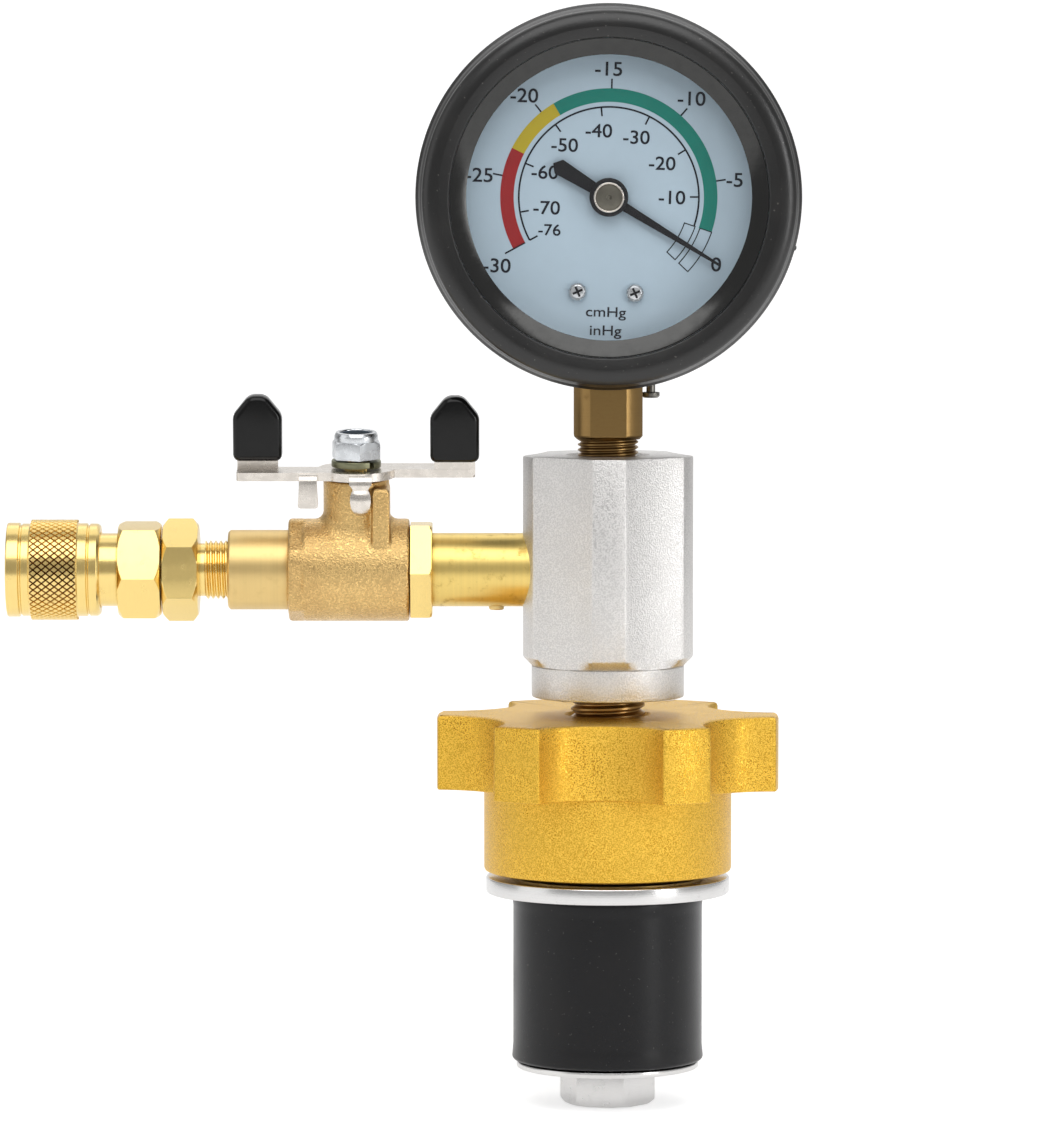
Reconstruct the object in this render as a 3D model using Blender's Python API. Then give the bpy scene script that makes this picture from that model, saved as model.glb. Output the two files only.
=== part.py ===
"""Coolant vacuum filler: a gauge over a ported manifold, a neck clamp tightened by hand and a valved arm.

Metres, +Z up. The main axis is X = Y = 0, the dial faces -Y and the arm points to -X. The origin is the
centre of the clamp flange's underside, which rests on the rim of the radiator's filler neck.
"""

from math import acos, asin, atan2, cos, pi, radians, sin, sqrt, tau

import bmesh
import bpy
from mathutils import Matrix, Vector

# Fits shared by all pieces
SEAT_GAP = 0.0003  # between faces that touch on the real object
RUNNING_GAP = 0.0002  # round the small shafts of the gauge movement
OVERRUN = 0.001  # how far a cut passes the face it opens
MERGE_DISTANCE = 0.000001  # points this close are one

# Steps of a full turn
COARSE_STEPS = 32
FINE_STEPS = 20
SMALL_STEPS = 12
TINY_STEPS = 8
ROUNDING_STEPS = 6  # of half a turn, where an edge or a bar's end is round

SHARP_ANGLE = radians(35)  # edges steeper than this aren't shaded smooth
SIDES = ((-1, "left"), (1, "right"))

# Threaded centre tube, bottom nut and washer
TUBE_DIAMETER = 0.0133
TUBE_BORE_DIAMETER = 0.0076
TUBE_END_DIAMETER = 0.0110  # the turned-down ends, in the bottom nut and in the manifold
TUBE_RELIEF_DIAMETER = 0.0104
TUBE_RELIEF_LENGTH = 0.0007
TUBE_CHAMFER = 0.0008
TUBE_SPIGOT_LENGTH = 0.0147  # inside the manifold
EXPOSED_THREAD_LENGTH = 0.0032  # between the knob and the collar
NUT_ACROSS_FLATS = 0.0150
NUT_HEIGHT = 0.0062
NUT_CHAMFER = 0.0008
NUT_TURN = radians(-10.4)
WASHER_DIAMETER = 0.0328
WASHER_THICKNESS = 0.0011

# Rubber stopper, flange and thrust washer
STOPPER_DIAMETER = 0.0344
STOPPER_LENGTH = 0.0300
STOPPER_EDGE_RADIUS = 0.0008
FLANGE_DIAMETER = 0.0438
FLANGE_THICKNESS = 0.0029
FLANGE_CHAMFER = 0.0003
THRUST_DIAMETER = 0.0340
THRUST_THICKNESS = 0.0015

# Star knob
KNOB_DIAMETER = 0.0614
KNOB_SKIRT_DIAMETER = 0.0445
KNOB_SKIRT_HEIGHT = 0.0148
KNOB_STAR_HEIGHT = 0.0134
KNOB_LIFT = 0.0010  # of the skirt's rim above the flange
KNOB_BEVEL = 0.0006
KNOB_THREAD_CHAMFER = 0.0010
SCALLOP_COUNT = 6
SCALLOP_DEPTH = 0.0082
SCALLOP_RADIUS = 0.0130
FIRST_SCALLOP_ANGLE = radians(-3)  # from the front, toward +X

# Manifold body
COLLAR_DIAMETER = 0.0274
COLLAR_HEIGHT = 0.0057
BODY_DIAMETER = 0.0308
BODY_HEIGHT = 0.0378
BODY_EDGE_CHAMFER = 0.0003
CHAMBER_DIAMETER = 0.0080
FLUTE_COUNT = 5
FLUTE_DEPTH = 0.0019
FLUTE_RADIUS = 0.0500
FLUTE_STEPS = 6
FLUTE_HALF_SWEEP = radians(9)  # of the arc that cuts a flute, seen from its own centre
FLUTE_OPEN_ANGLE = radians(30)  # half the angle over which the cutter runs clear of the body
STEM_PORT_DEPTH = 0.0108
STEM_COUNTERSINK = 0.0018
PIPE_PORT_DEPTH = 0.0072
ARM_HEIGHT_IN_BODY = 0.0228  # of the arm's axis above the collar's underside

# Gauge socket: thread, square shank and the block inside the case
SOCKET_THREAD_DIAMETER = 0.0109
SOCKET_THREAD_EXPOSED = 0.0029
SOCKET_THREAD_CHAMFER = 0.0006
SOCKET_BORE_DIAMETER = 0.0040
SHANK_ACROSS_FLATS = 0.0123
SHANK_DIAMETER = 0.0139
SHANK_CHAMFER = 0.0005
BLOCK_WIDTH = 0.0180
BLOCK_TOP_DROP = 0.01425  # of its top below the dial's centre

# Gauge case, bezel, lens and dial
CASE_DIAMETER = 0.0600
CASE_LIFT = 0.0163  # of the case's lowest point above the manifold's top
CASE_WALL = 0.0010
CASE_BACK = 0.0110  # behind the main axis
CASE_FRONT = 0.0106  # in front of the main axis
CASE_EDGE = 0.0012
GASKET_WIDTH = 0.0026
GASKET_THICKNESS = 0.0006
LENS_THICKNESS = 0.0015
BEZEL_WALL = 0.0008
BEZEL_LIP_THICKNESS = 0.0010
BEZEL_LIP_WIDTH = 0.0047  # from the case's outside to the bezel's opening
BEZEL_SKIRT_LENGTH = 0.0056
DIAL_SETBACK = 0.0034  # from the case's outside to the dial's edge
DIAL_THICKNESS = 0.0006
DIAL_HOLE_DIAMETER = 0.0040
DIAL_TURN = radians(-1.5)  # the dial sits slightly clockwise in the case
DIAL_SCREW_SPREAD = 0.0102
DIAL_SCREW_DROP = 0.0169
SCREW_HEAD_DIAMETER = 0.0032
SCREW_HEAD_HEIGHT = 0.0010
SCREW_SHANK_DIAMETER = 0.0016
SCREW_LENGTH = 0.0042
CASE_SCREW_OFFSET = 0.0077
CASE_SCREW_SETBACK = 0.0025
CASE_SCREW_DROP = 0.0062  # from the case's lowest point to the screw's head
CASE_SCREW_SHANK = 0.0085
MOVEMENT_SCREW_SPREAD = 0.0080

# Rubber boot
BOOT_WALL = 0.0044  # outside the case
BOOT_RING_WALL = 0.0032  # the same, round the front ring
BOOT_MOUTH_SETBACK = 0.0028  # from the bezel's opening to the boot's mouth
BOOT_BEAD_WIDTH = 0.0016
BOOT_GROOVE_WIDTH = 0.0006
BOOT_BEAD_PROUD = 0.0021  # in front of the bezel
BOOT_GROOVE_PROUD = 0.0012
BOOT_ROLL_PROUD = 0.0027
BOOT_RING_LENGTH = 0.0080
BOOT_BACK_WALL = 0.0012
BOOT_BACK_LIP = 0.0040  # how far the boot's back reaches in from the case's outside
BOOT_BACK_ROUND = 0.0015

# Gauge movement
TOOTH_MODULE = 0.0004
PINION_TEETH = 8
SECTOR_RATIO = 6
SECTOR_TEETH_SHOWN = 9
TOOTH_WIDTH_SHARE = 0.30  # of the pitch, at the pitch line
TOOTH_TIP_SHARE = 0.14
TOOTH_CLEARANCE_SHARE = 0.25  # of a tooth's height, left free at its tip
GEAR_THICKNESS = 0.0010
PINION_LENGTH = 0.0020
SECTOR_PIVOT_ANGLE = radians(-20)
SECTOR_TAIL_ANGLE = radians(-70)
SECTOR_TAIL_LENGTH = 0.0060
SECTOR_RIM = 0.0016
SECTOR_HUB_DIAMETER = 0.0034
EYE_DIAMETER = 0.0024
LINK_THICKNESS = 0.0008
LINK_WIDTH = 0.0012
LINK_PIN_DIAMETER = 0.0008
ARBOR_DIAMETER = 0.0016
FRAME_PLATE = 0.0010
FRAME_BACK = 0.0040  # behind the main axis
FRAME_FRONT = 0.0042  # in front of it
FRAME_LEFT = 0.0050
FRAME_RIGHT = 0.0135
FRAME_TOP = 0.0030  # above the dial's centre
BOURDON_RADIUS = 0.0200
BOURDON_WIDTH = 0.0025
BOURDON_DEPTH = 0.0080
BOURDON_END_ANGLE = radians(-25)
TIP_LUG_ANGLE = radians(-36)
TIP_PIN_ANGLE = radians(-32)
TIP_PIN_RADIUS = 0.0194
TIP_LUG_WIDTH = 0.0022
HAIRSPRING_TURNS = 3
HAIRSPRING_INNER_RADIUS = 0.0016
HAIRSPRING_OUTER_RADIUS = 0.0046
HAIRSPRING_THICKNESS = 0.0003
HAIRSPRING_WIDTH = 0.0006
HAIRSPRING_FRONT = 0.0017  # in front of the main axis

# Pointer
POINTER_REACH = 0.0233
POINTER_TAIL = 0.0116
POINTER_ROOT_WIDTH = 0.0016
POINTER_TIP_WIDTH = 0.0005
POINTER_TAIL_WIDTH = 0.0030
POINTER_NECK_WIDTH = 0.0023
POINTER_TAIL_POINT = 0.0012
POINTER_THICKNESS = 0.0005
POINTER_BOSS_DIAMETER = 0.0069
POINTER_BOSS_LENGTH = 0.0014
POINTER_ZERO_ANGLE = radians(-30)  # on the dial's print
POINTER_LIFT = 0.0018  # of the boss above the dial
CAP_DIAMETER = 0.0054
CAP_HEIGHT = 0.0010

# Side pipe and its pin
PIPE_DIAMETER = 0.0132
PIPE_BORE_DIAMETER = 0.0070
PIPE_PIN_DIAMETER = 0.0027
PIPE_PIN_PROUD = 0.0006
PIPE_PIN_OFFSET = 0.0200  # from the main axis
PIPE_PIN_LENGTH = 0.0028

# Ball valve
VALVE_NECK_OFFSET = 0.0451  # of the stem's axis from the main axis
VALVE_LEAN = radians(6)
VALVE_BODY_DIAMETER = 0.0184
VALVE_BODY_RIGHT = 0.0095  # from the stem's axis to the body's right face
VALVE_WRENCH_LEFT = 0.0122
VALVE_WRENCH_RIGHT = 0.0089
VALVE_WRENCH_FLATS = 0.0176
VALVE_WRENCH_DIAMETER = 0.0187
VALVE_END_LEFT = 0.0230
VALVE_END_DIAMETER = 0.0143
VALVE_EDGE = 0.0005
NECK_DIAMETER = 0.0118
NECK_HEIGHT = 0.0167  # above the arm's axis
RIB_WIDTH = 0.0032
RIB_TOP_DROP = 0.0008
RIB_HEIGHT = 0.0120
OPEN_RIB_REACH = 0.0076
CLOSED_RIB_REACH = 0.0096
BALL_DIAMETER = 0.0110
BALL_BORE_DIAMETER = 0.0060
BALL_SLOT_WIDTH = 0.0024
BALL_SLOT_FLOOR = 0.0042
SEAT_OUTER_DIAMETER = 0.0130
SEAT_LENGTH = 0.0030
SEAT_CONE_ANGLE = radians(55)
SEAT_LAND_SHARE = 0.8  # of the seat's length that is straight bore
STEM_DIAMETER = 0.0060
STEM_FLATS = 0.0044
STEM_THREAD_DIAMETER = 0.0048
STEM_TOP = 0.0243
PACKING_DIAMETER = 0.0092
PACKING_HEIGHT = 0.0040
PACKING_LIFT = 0.0095

# Valve end nut, with the hexagon on its right
END_NUT_FLATS = 0.0160
END_NUT_LENGTH = 0.0037
END_NUT_CHAMFER = 0.0007
END_NUT_TURN = radians(6.6)
END_NUT_BACK_WALL = 0.0004

# Valve handle
PLATE_THICKNESS = 0.0015
PLATE_DISC_DIAMETER = 0.0140
PLATE_REACH = 0.0213
PLATE_WIDE_SIDE = 0.0054
PLATE_NARROW_SIDE = 0.0015
WING_WIDTH = 0.0073
WING_HEIGHT = 0.0122
TAB_WIDTH = 0.0034
TAB_LENGTH = 0.0078
TAB_STANDOFF = 0.0066  # of the front tab's inner face from the stem's axis
TAB_OFFSET = 0.0026  # from the stem's axis to the front tab's outer edge
SIDE_TAB_START = 0.0068
SIDE_TAB_LENGTH = 0.0062
SLEEVE_WIDTH = 0.0088
SLEEVE_DEPTH = 0.0042
SLEEVE_HEIGHT = 0.0119
SLEEVE_SHOULDER = 0.0036  # from the top down to where the sleeve is full width
SLEEVE_TOP_WIDTH = 0.0030
SLEEVE_SLOPE_SHARE = 1 / 3  # of the sloped top's rise and run, where its slope changes
SLEEVE_LIFT = 0.0013  # above the plate
SPRING_WASHER_DIAMETER = 0.0089
SPRING_WASHER_THICKNESS = 0.0012
SPRING_WASHER_SPLIT = 0.0009
SPRING_WASHER_SPLIT_ANGLE = radians(-50)
LOCK_NUT_FLATS = 0.0080
LOCK_NUT_HEIGHT = 0.0049
LOCK_NUT_CROWN = 0.0016
LOCK_NUT_CROWN_DIAMETER = 0.0077
LOCK_NUT_TURN = radians(40)
LOCK_NUT_STEPS = 24  # four to a flat, with each corner of the hexagon midway between two steps
LOCK_NUT_RIM_SHARE = 0.62  # of the crown's wall, the metal and the gap left outside the insert
INSERT_HEIGHT = 0.0012

# Nipple adapter
ADAPTER_FLATS = 0.0160
ADAPTER_HEX_LENGTH = 0.0064
ADAPTER_CHAMFER = 0.0007
ADAPTER_THREAD_DIAMETER = 0.0105
ADAPTER_BORE_DIAMETER = 0.0060
ADAPTER_EXPOSED = 0.0053
ADAPTER_ENGAGED = 0.0078
ADAPTER_LEFT_SPIGOT = 0.0060

# Hose coupler
COUPLER_HEX_FLATS = 0.0160
COUPLER_HEX_LENGTH = 0.0077
COUPLER_HEX_CHAMFER = 0.0010
COUPLER_HEX_TURN = radians(6.6)
COUPLER_NECK_DIAMETER = 0.0131
COUPLER_NECK_EXPOSED = 0.0032
COUPLER_NECK_INSIDE = 0.0060
COUPLER_BORE_DIAMETER = 0.0060
COUPLER_SOCKET_WALL = 0.0010
RING_DIAMETER = 0.0152
RING_WIDTH = 0.0010
RING_SEAT_DIAMETER = 0.0117
RING_SETBACK = 0.0018  # from the sleeve's right face
SLEEVE_LENGTH = 0.0167
SLEEVE_END_DIAMETER = 0.0169
SLEEVE_STEP_DIAMETER = 0.0164
SLEEVE_STEP_LENGTH = 0.0024
SLEEVE_RING_LENGTH = 0.0019
KNURL_DIAMETER = 0.0180
KNURL_LENGTH = 0.0083
KNURL_CHAMFER = 0.0003
SLEEVE_RIGHT_DIAMETER = 0.0166
SLEEVE_THREAD_DIAMETER = 0.0146
COUPLER_SEAL_DIAMETER = 0.0126
COUPLER_SEAL_THICKNESS = 0.0014

# Heights along the main axis
KNOB_BOTTOM = FLANGE_THICKNESS + KNOB_LIFT
KNOB_LEDGE = KNOB_BOTTOM + KNOB_SKIRT_HEIGHT
KNOB_TOP = KNOB_LEDGE + KNOB_STAR_HEIGHT
COLLAR_BOTTOM = KNOB_TOP + EXPOSED_THREAD_LENGTH
COLLAR_TOP = COLLAR_BOTTOM + COLLAR_HEIGHT
BODY_BOTTOM = COLLAR_TOP
BODY_TOP = BODY_BOTTOM + BODY_HEIGHT
ARM_HEIGHT = COLLAR_BOTTOM + ARM_HEIGHT_IN_BODY
SHANK_BOTTOM = BODY_TOP + SOCKET_THREAD_EXPOSED
GAUGE_CENTRE = BODY_TOP + CASE_LIFT + CASE_DIAMETER / 2
STOPPER_TOP = -SEAT_GAP
STOPPER_BOTTOM = STOPPER_TOP - STOPPER_LENGTH
WASHER_TOP = STOPPER_BOTTOM - SEAT_GAP
WASHER_BOTTOM = WASHER_TOP - WASHER_THICKNESS
NUT_TOP = WASHER_BOTTOM - SEAT_GAP
NUT_BOTTOM = NUT_TOP - NUT_HEIGHT

# Depths of the gauge in front of the main axis
BLOCK_FRONT = SHANK_ACROSS_FLATS / 2
DIAL_BACK = BLOCK_FRONT + SEAT_GAP
DIAL_FRONT = DIAL_BACK + DIAL_THICKNESS
GASKET_BACK = CASE_FRONT + SEAT_GAP
LENS_BACK = GASKET_BACK + GASKET_THICKNESS + SEAT_GAP
BEZEL_LIP_BACK = LENS_BACK + LENS_THICKNESS + SEAT_GAP
BEZEL_FRONT = BEZEL_LIP_BACK + BEZEL_LIP_THICKNESS
POINTER_BOSS_BACK = DIAL_FRONT + POINTER_LIFT
CASE_INNER_RADIUS = CASE_DIAMETER / 2 - CASE_WALL
BEZEL_OPENING_RADIUS = CASE_DIAMETER / 2 - BEZEL_LIP_WIDTH
DIAL_RADIUS = CASE_DIAMETER / 2 - DIAL_SETBACK
BLOCK_CORNER_DEPTH = sqrt((CASE_INNER_RADIUS - SEAT_GAP) ** 2 - (BLOCK_WIDTH / 2) ** 2)
BLOCK_BOTTOM = GAUGE_CENTRE - BLOCK_CORNER_DEPTH
BLOCK_TOP = GAUGE_CENTRE - BLOCK_TOP_DROP

# Places along the arm, as world X
VALVE_CENTRE_X = -VALVE_NECK_OFFSET
VALVE_RIGHT_X = VALVE_CENTRE_X + VALVE_BODY_RIGHT
VALVE_LEFT_X = VALVE_CENTRE_X - VALVE_END_LEFT
END_NUT_LEFT_X = VALVE_RIGHT_X + SEAT_GAP
END_NUT_RIGHT_X = END_NUT_LEFT_X + END_NUT_LENGTH
PIPE_LEFT_X = END_NUT_LEFT_X + END_NUT_BACK_WALL + SEAT_GAP
PIPE_RIGHT_X = PIPE_PORT_DEPTH - SEAT_GAP - BODY_DIAMETER / 2
ADAPTER_HEX_RIGHT_X = VALVE_LEFT_X - ADAPTER_EXPOSED
ADAPTER_HEX_LEFT_X = ADAPTER_HEX_RIGHT_X - ADAPTER_HEX_LENGTH
COUPLER_HEX_RIGHT_X = ADAPTER_HEX_LEFT_X - SEAT_GAP
COUPLER_HEX_LEFT_X = COUPLER_HEX_RIGHT_X - COUPLER_HEX_LENGTH
SLEEVE_RIGHT_X = COUPLER_HEX_LEFT_X - COUPLER_NECK_EXPOSED
SLEEVE_LEFT_X = SLEEVE_RIGHT_X - SLEEVE_LENGTH
COUPLER_NOSE_X = SLEEVE_RIGHT_X - COUPLER_NECK_INSIDE

# Heights of the handle along the stem's leaned axis
PLATE_BOTTOM = NECK_HEIGHT + SEAT_GAP
PLATE_TOP = PLATE_BOTTOM + PLATE_THICKNESS
SPRING_WASHER_BOTTOM = PLATE_TOP + SEAT_GAP
LOCK_NUT_BOTTOM = SPRING_WASHER_BOTTOM + SPRING_WASHER_THICKNESS + SEAT_GAP

# Gear sizes
PINION_RADIUS = PINION_TEETH * TOOTH_MODULE / 2
SECTOR_RADIUS = PINION_RADIUS * SECTOR_RATIO
SECTOR_PIVOT = (
    (PINION_RADIUS + SECTOR_RADIUS) * cos(SECTOR_PIVOT_ANGLE),
    (PINION_RADIUS + SECTOR_RADIUS) * sin(SECTOR_PIVOT_ANGLE),
)
SECTOR_TAIL = (
    SECTOR_PIVOT[0] + SECTOR_TAIL_LENGTH * cos(SECTOR_TAIL_ANGLE),
    SECTOR_PIVOT[1] + SECTOR_TAIL_LENGTH * sin(SECTOR_TAIL_ANGLE),
)

# Finishes: linear colour, roughness, metallic
BLASTED_SILVER = ((0.60, 0.60, 0.59), 0.42, 1.0)
GOLD_ANODISED = ((0.78, 0.43, 0.05), 0.38, 1.0)
BRIGHT_ALUMINIUM = ((0.70, 0.70, 0.70), 0.22, 1.0)
YELLOW_BRASS = ((0.72, 0.50, 0.13), 0.20, 1.0)
CAST_BRASS = ((0.60, 0.36, 0.13), 0.45, 1.0)
OLIVE_BRASS = ((0.28, 0.19, 0.06), 0.32, 1.0)
NICKEL_PLATE = ((0.66, 0.62, 0.57), 0.22, 1.0)
ZINC_PLATE = ((0.62, 0.64, 0.66), 0.28, 1.0)
OLIVE_STEEL = ((0.20, 0.20, 0.12), 0.35, 1.0)
GREY_STEEL = ((0.35, 0.36, 0.37), 0.40, 1.0)
SPRING_BRONZE = ((0.50, 0.26, 0.10), 0.30, 1.0)
BLACK_RUBBER = ((0.012, 0.012, 0.012), 0.55, 0.0)
BLACK_VINYL = ((0.010, 0.010, 0.012), 0.22, 0.0)
WHITE_PLASTIC = ((0.80, 0.80, 0.76), 0.40, 0.0)
BLUE_NYLON = ((0.25, 0.35, 0.50), 0.45, 0.0)
DIAL_PAINT = ((0.42, 0.55, 0.64), 0.50, 0.0)
BLACK_PAINT = ((0.010, 0.010, 0.012), 0.35, 0.0)
CLEAR_LENS = ((0.90, 0.93, 0.95), 0.04, 0.0)


def clear_scene():
    for stale in list(bpy.data.objects):
        bpy.data.objects.remove(stale, do_unlink=True)


def material_for(name, finish):
    colour, roughness, metallic = finish
    material = bpy.data.materials.new(name)
    material.use_nodes = True
    shader = material.node_tree.nodes["Principled BSDF"]
    shader.inputs["Base Color"].default_value = (*colour, 1.0)
    shader.inputs["Roughness"].default_value = roughness
    shader.inputs["Metallic"].default_value = metallic
    return material


def axis_empty(name, location, rotation=(0, 0, 0)):
    """An empty on a joint's or a sub-assembly's axis; its pieces are placed in its frame."""
    empty = bpy.data.objects.new(name, None)
    empty.location = location
    empty.rotation_euler = rotation
    empty.empty_display_size = SHANK_DIAMETER
    bpy.context.scene.collection.objects.link(empty)
    return empty


def add_object(name, mesh_builder, parent=None, finish=None):
    """Link a bmesh as an object: a piece when it has a finish, otherwise a hidden cutter."""
    bmesh.ops.recalc_face_normals(mesh_builder, faces=mesh_builder.faces)
    mesh = bpy.data.meshes.new(name)
    mesh_builder.to_mesh(mesh)
    mesh_builder.free()
    piece = bpy.data.objects.new(name, mesh)
    bpy.context.scene.collection.objects.link(piece)
    piece.parent = parent
    if finish is None:
        piece.hide_render = True
        piece.display_type = "WIRE"
        return piece
    mesh.materials.append(material_for(name, finish))
    mesh.shade_smooth()
    mesh.set_sharp_from_angle(angle=SHARP_ANGLE)
    return piece


def combine(piece, other, operation):
    modifier = piece.modifiers.new(f"{operation.lower()} {other.name}", "BOOLEAN")
    modifier.operation = operation
    modifier.object = other
    modifier.solver = "EXACT"


def cut(piece, *cutters):
    for cutter in cutters:
        combine(piece, cutter, "DIFFERENCE")


def join(piece, *additions):
    for addition in additions:
        combine(piece, addition, "UNION")


def turned(profile, steps, phase=0.0):
    """Spin a closed (radius, height) profile a full turn about the local Z axis."""
    shape = bmesh.new()
    direction = Matrix.Rotation(phase, 3, "Z")
    points = [shape.verts.new(direction @ Vector((radius, 0, height))) for radius, height in profile]
    edges = [shape.edges.new((points[index - 1], points[index])) for index in range(len(points))]
    bmesh.ops.spin(shape, geom=points + edges, cent=(0, 0, 0), axis=(0, 0, 1), angle=tau, steps=steps)
    bmesh.ops.remove_doubles(shape, verts=shape.verts, dist=MERGE_DISTANCE)
    return shape


def prism(outline, bottom, top, into=None):
    """Extrude a flat (x, y) outline between two heights."""
    shape = into or bmesh.new()
    base = shape.faces.new([shape.verts.new((x, y, bottom)) for x, y in outline])
    grown = bmesh.ops.extrude_face_region(shape, geom=[base])
    moved = [item for item in grown["geom"] if isinstance(item, bmesh.types.BMVert)]
    bmesh.ops.translate(shape, verts=moved, vec=(0, 0, top - bottom))
    return shape


def block(low, high, into=None):
    outline = [(low[0], low[1]), (high[0], low[1]), (high[0], high[1]), (low[0], high[1])]
    return prism(outline, low[2], high[2], into)


def circle(centre, radius, steps, start=0.0, sweep=tau):
    """Points of an arc; a full turn leaves out the repeated last point."""
    count = steps if sweep == tau else steps + 1
    angles = [start + sweep * index / steps for index in range(count)]
    return [(centre[0] + radius * cos(angle), centre[1] + radius * sin(angle)) for angle in angles]


def ring_profile(inner, outer, bottom, top, chamfer=0.0):
    """A washer's section; the chamfer is on both outer edges."""
    if not chamfer:
        return [(inner, bottom), (outer, bottom), (outer, top), (inner, top)]
    return [
        (inner, bottom),
        (outer - chamfer, bottom),
        (outer, bottom + chamfer),
        (outer, top - chamfer),
        (outer - chamfer, top),
        (inner, top),
    ]


def hexagon_profile(inner, flats, bottom, top, chamfer):
    """The section of a hexagon's chamfered blank, before its flats are cut."""
    corner = flats / 2 / cos(pi / 6)
    rise = chamfer / 2
    return [
        (inner, bottom),
        (corner - chamfer, bottom),
        (corner, bottom + rise),
        (corner, top - rise),
        (corner - chamfer, top),
        (inner, top),
    ]


def flats_cutter(name, across_flats, sides, bottom, top, reach, turn=0.0, parent=None):
    """A frame with a regular hole, which leaves that many flats where it is cut away."""
    corner = across_flats / 2 / cos(pi / sides)
    profile = [(corner, bottom), (reach, bottom), (reach, top), (corner, top)]
    return add_object(name, turned(profile, sides, turn), parent)


def drill(name, radius, bottom, top, steps, centre=(0, 0), parent=None):
    return add_object(name, prism(circle(centre, radius, steps), bottom, top), parent)


def build_centre_tube():
    end_radius = TUBE_END_DIAMETER / 2
    radius = TUBE_DIAMETER / 2
    shoulder = COLLAR_BOTTOM - SEAT_GAP
    profile = [
        (TUBE_BORE_DIAMETER / 2, NUT_BOTTOM + SEAT_GAP),
        (end_radius, NUT_BOTTOM + SEAT_GAP),
        (end_radius, STOPPER_BOTTOM),
        (radius, STOPPER_BOTTOM),
        (radius, shoulder - TUBE_RELIEF_LENGTH - TUBE_CHAMFER),
        (radius - TUBE_CHAMFER, shoulder - TUBE_RELIEF_LENGTH),
        (TUBE_RELIEF_DIAMETER / 2, shoulder - TUBE_RELIEF_LENGTH),
        (TUBE_RELIEF_DIAMETER / 2, shoulder),
        (end_radius, shoulder),
        (end_radius, COLLAR_BOTTOM + TUBE_SPIGOT_LENGTH),
        (TUBE_BORE_DIAMETER / 2, COLLAR_BOTTOM + TUBE_SPIGOT_LENGTH),
    ]
    add_object("centre_tube", turned(profile, FINE_STEPS), finish=BRIGHT_ALUMINIUM)


def build_bottom_nut_and_washer():
    bore = TUBE_END_DIAMETER / 2 + SEAT_GAP
    blank = hexagon_profile(bore, NUT_ACROSS_FLATS, NUT_BOTTOM, NUT_TOP, NUT_CHAMFER)
    nut = add_object("bottom_nut", turned(blank, FINE_STEPS), finish=BRIGHT_ALUMINIUM)
    low = NUT_BOTTOM - OVERRUN
    high = NUT_TOP + OVERRUN
    cut(nut, flats_cutter("bottom nut flats", NUT_ACROSS_FLATS, 6, low, high, NUT_ACROSS_FLATS, NUT_TURN))
    washer = ring_profile(bore, WASHER_DIAMETER / 2, WASHER_BOTTOM, WASHER_TOP, FLANGE_CHAMFER)
    add_object("bottom_washer", turned(washer, COARSE_STEPS), finish=BRIGHT_ALUMINIUM)


def build_stopper():
    profile = ring_profile(
        TUBE_DIAMETER / 2 + SEAT_GAP, STOPPER_DIAMETER / 2, STOPPER_BOTTOM, STOPPER_TOP, STOPPER_EDGE_RADIUS
    )
    add_object("rubber_stopper", turned(profile, COARSE_STEPS), finish=BLACK_RUBBER)


def build_clamp_plate():
    bore = TUBE_DIAMETER / 2 + SEAT_GAP
    flange = ring_profile(bore, FLANGE_DIAMETER / 2, 0, FLANGE_THICKNESS, FLANGE_CHAMFER)
    add_object("clamp_flange", turned(flange, COARSE_STEPS), finish=BRIGHT_ALUMINIUM)
    bottom = FLANGE_THICKNESS + SEAT_GAP
    thrust = ring_profile(bore, THRUST_DIAMETER / 2, bottom, bottom + THRUST_THICKNESS)
    add_object("thrust_washer", turned(thrust, COARSE_STEPS), finish=CAST_BRASS)


def build_star_knob():
    bore = TUBE_DIAMETER / 2 + SEAT_GAP
    recess_radius = THRUST_DIAMETER / 2 + SEAT_GAP
    recess_top = FLANGE_THICKNESS + SEAT_GAP + THRUST_THICKNESS + SEAT_GAP
    skirt = KNOB_SKIRT_DIAMETER / 2
    outer = KNOB_DIAMETER / 2
    profile = [
        (bore, recess_top),
        (recess_radius, recess_top),
        (recess_radius, KNOB_BOTTOM),
        (skirt - KNOB_BEVEL, KNOB_BOTTOM),
        (skirt, KNOB_BOTTOM + KNOB_BEVEL),
        (skirt, KNOB_LEDGE),
        (outer, KNOB_LEDGE),
        (outer, KNOB_TOP - KNOB_BEVEL),
        (outer - KNOB_BEVEL, KNOB_TOP),
        (bore + KNOB_THREAD_CHAMFER, KNOB_TOP),
        (bore, KNOB_TOP - KNOB_THREAD_CHAMFER),
    ]
    knob = add_object("star_knob", turned(profile, COARSE_STEPS), finish=GOLD_ANODISED)
    centre_distance = outer - SCALLOP_DEPTH + SCALLOP_RADIUS
    scallops = bmesh.new()
    for index in range(SCALLOP_COUNT):
        angle = FIRST_SCALLOP_ANGLE - pi / 2 + tau * index / SCALLOP_COUNT
        centre = (centre_distance * cos(angle), centre_distance * sin(angle))
        rim = circle(centre, SCALLOP_RADIUS, COARSE_STEPS, start=angle)
        prism(rim, KNOB_LEDGE, KNOB_TOP + OVERRUN, into=scallops)
    cut(knob, add_object("knob scallops", scallops))


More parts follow.
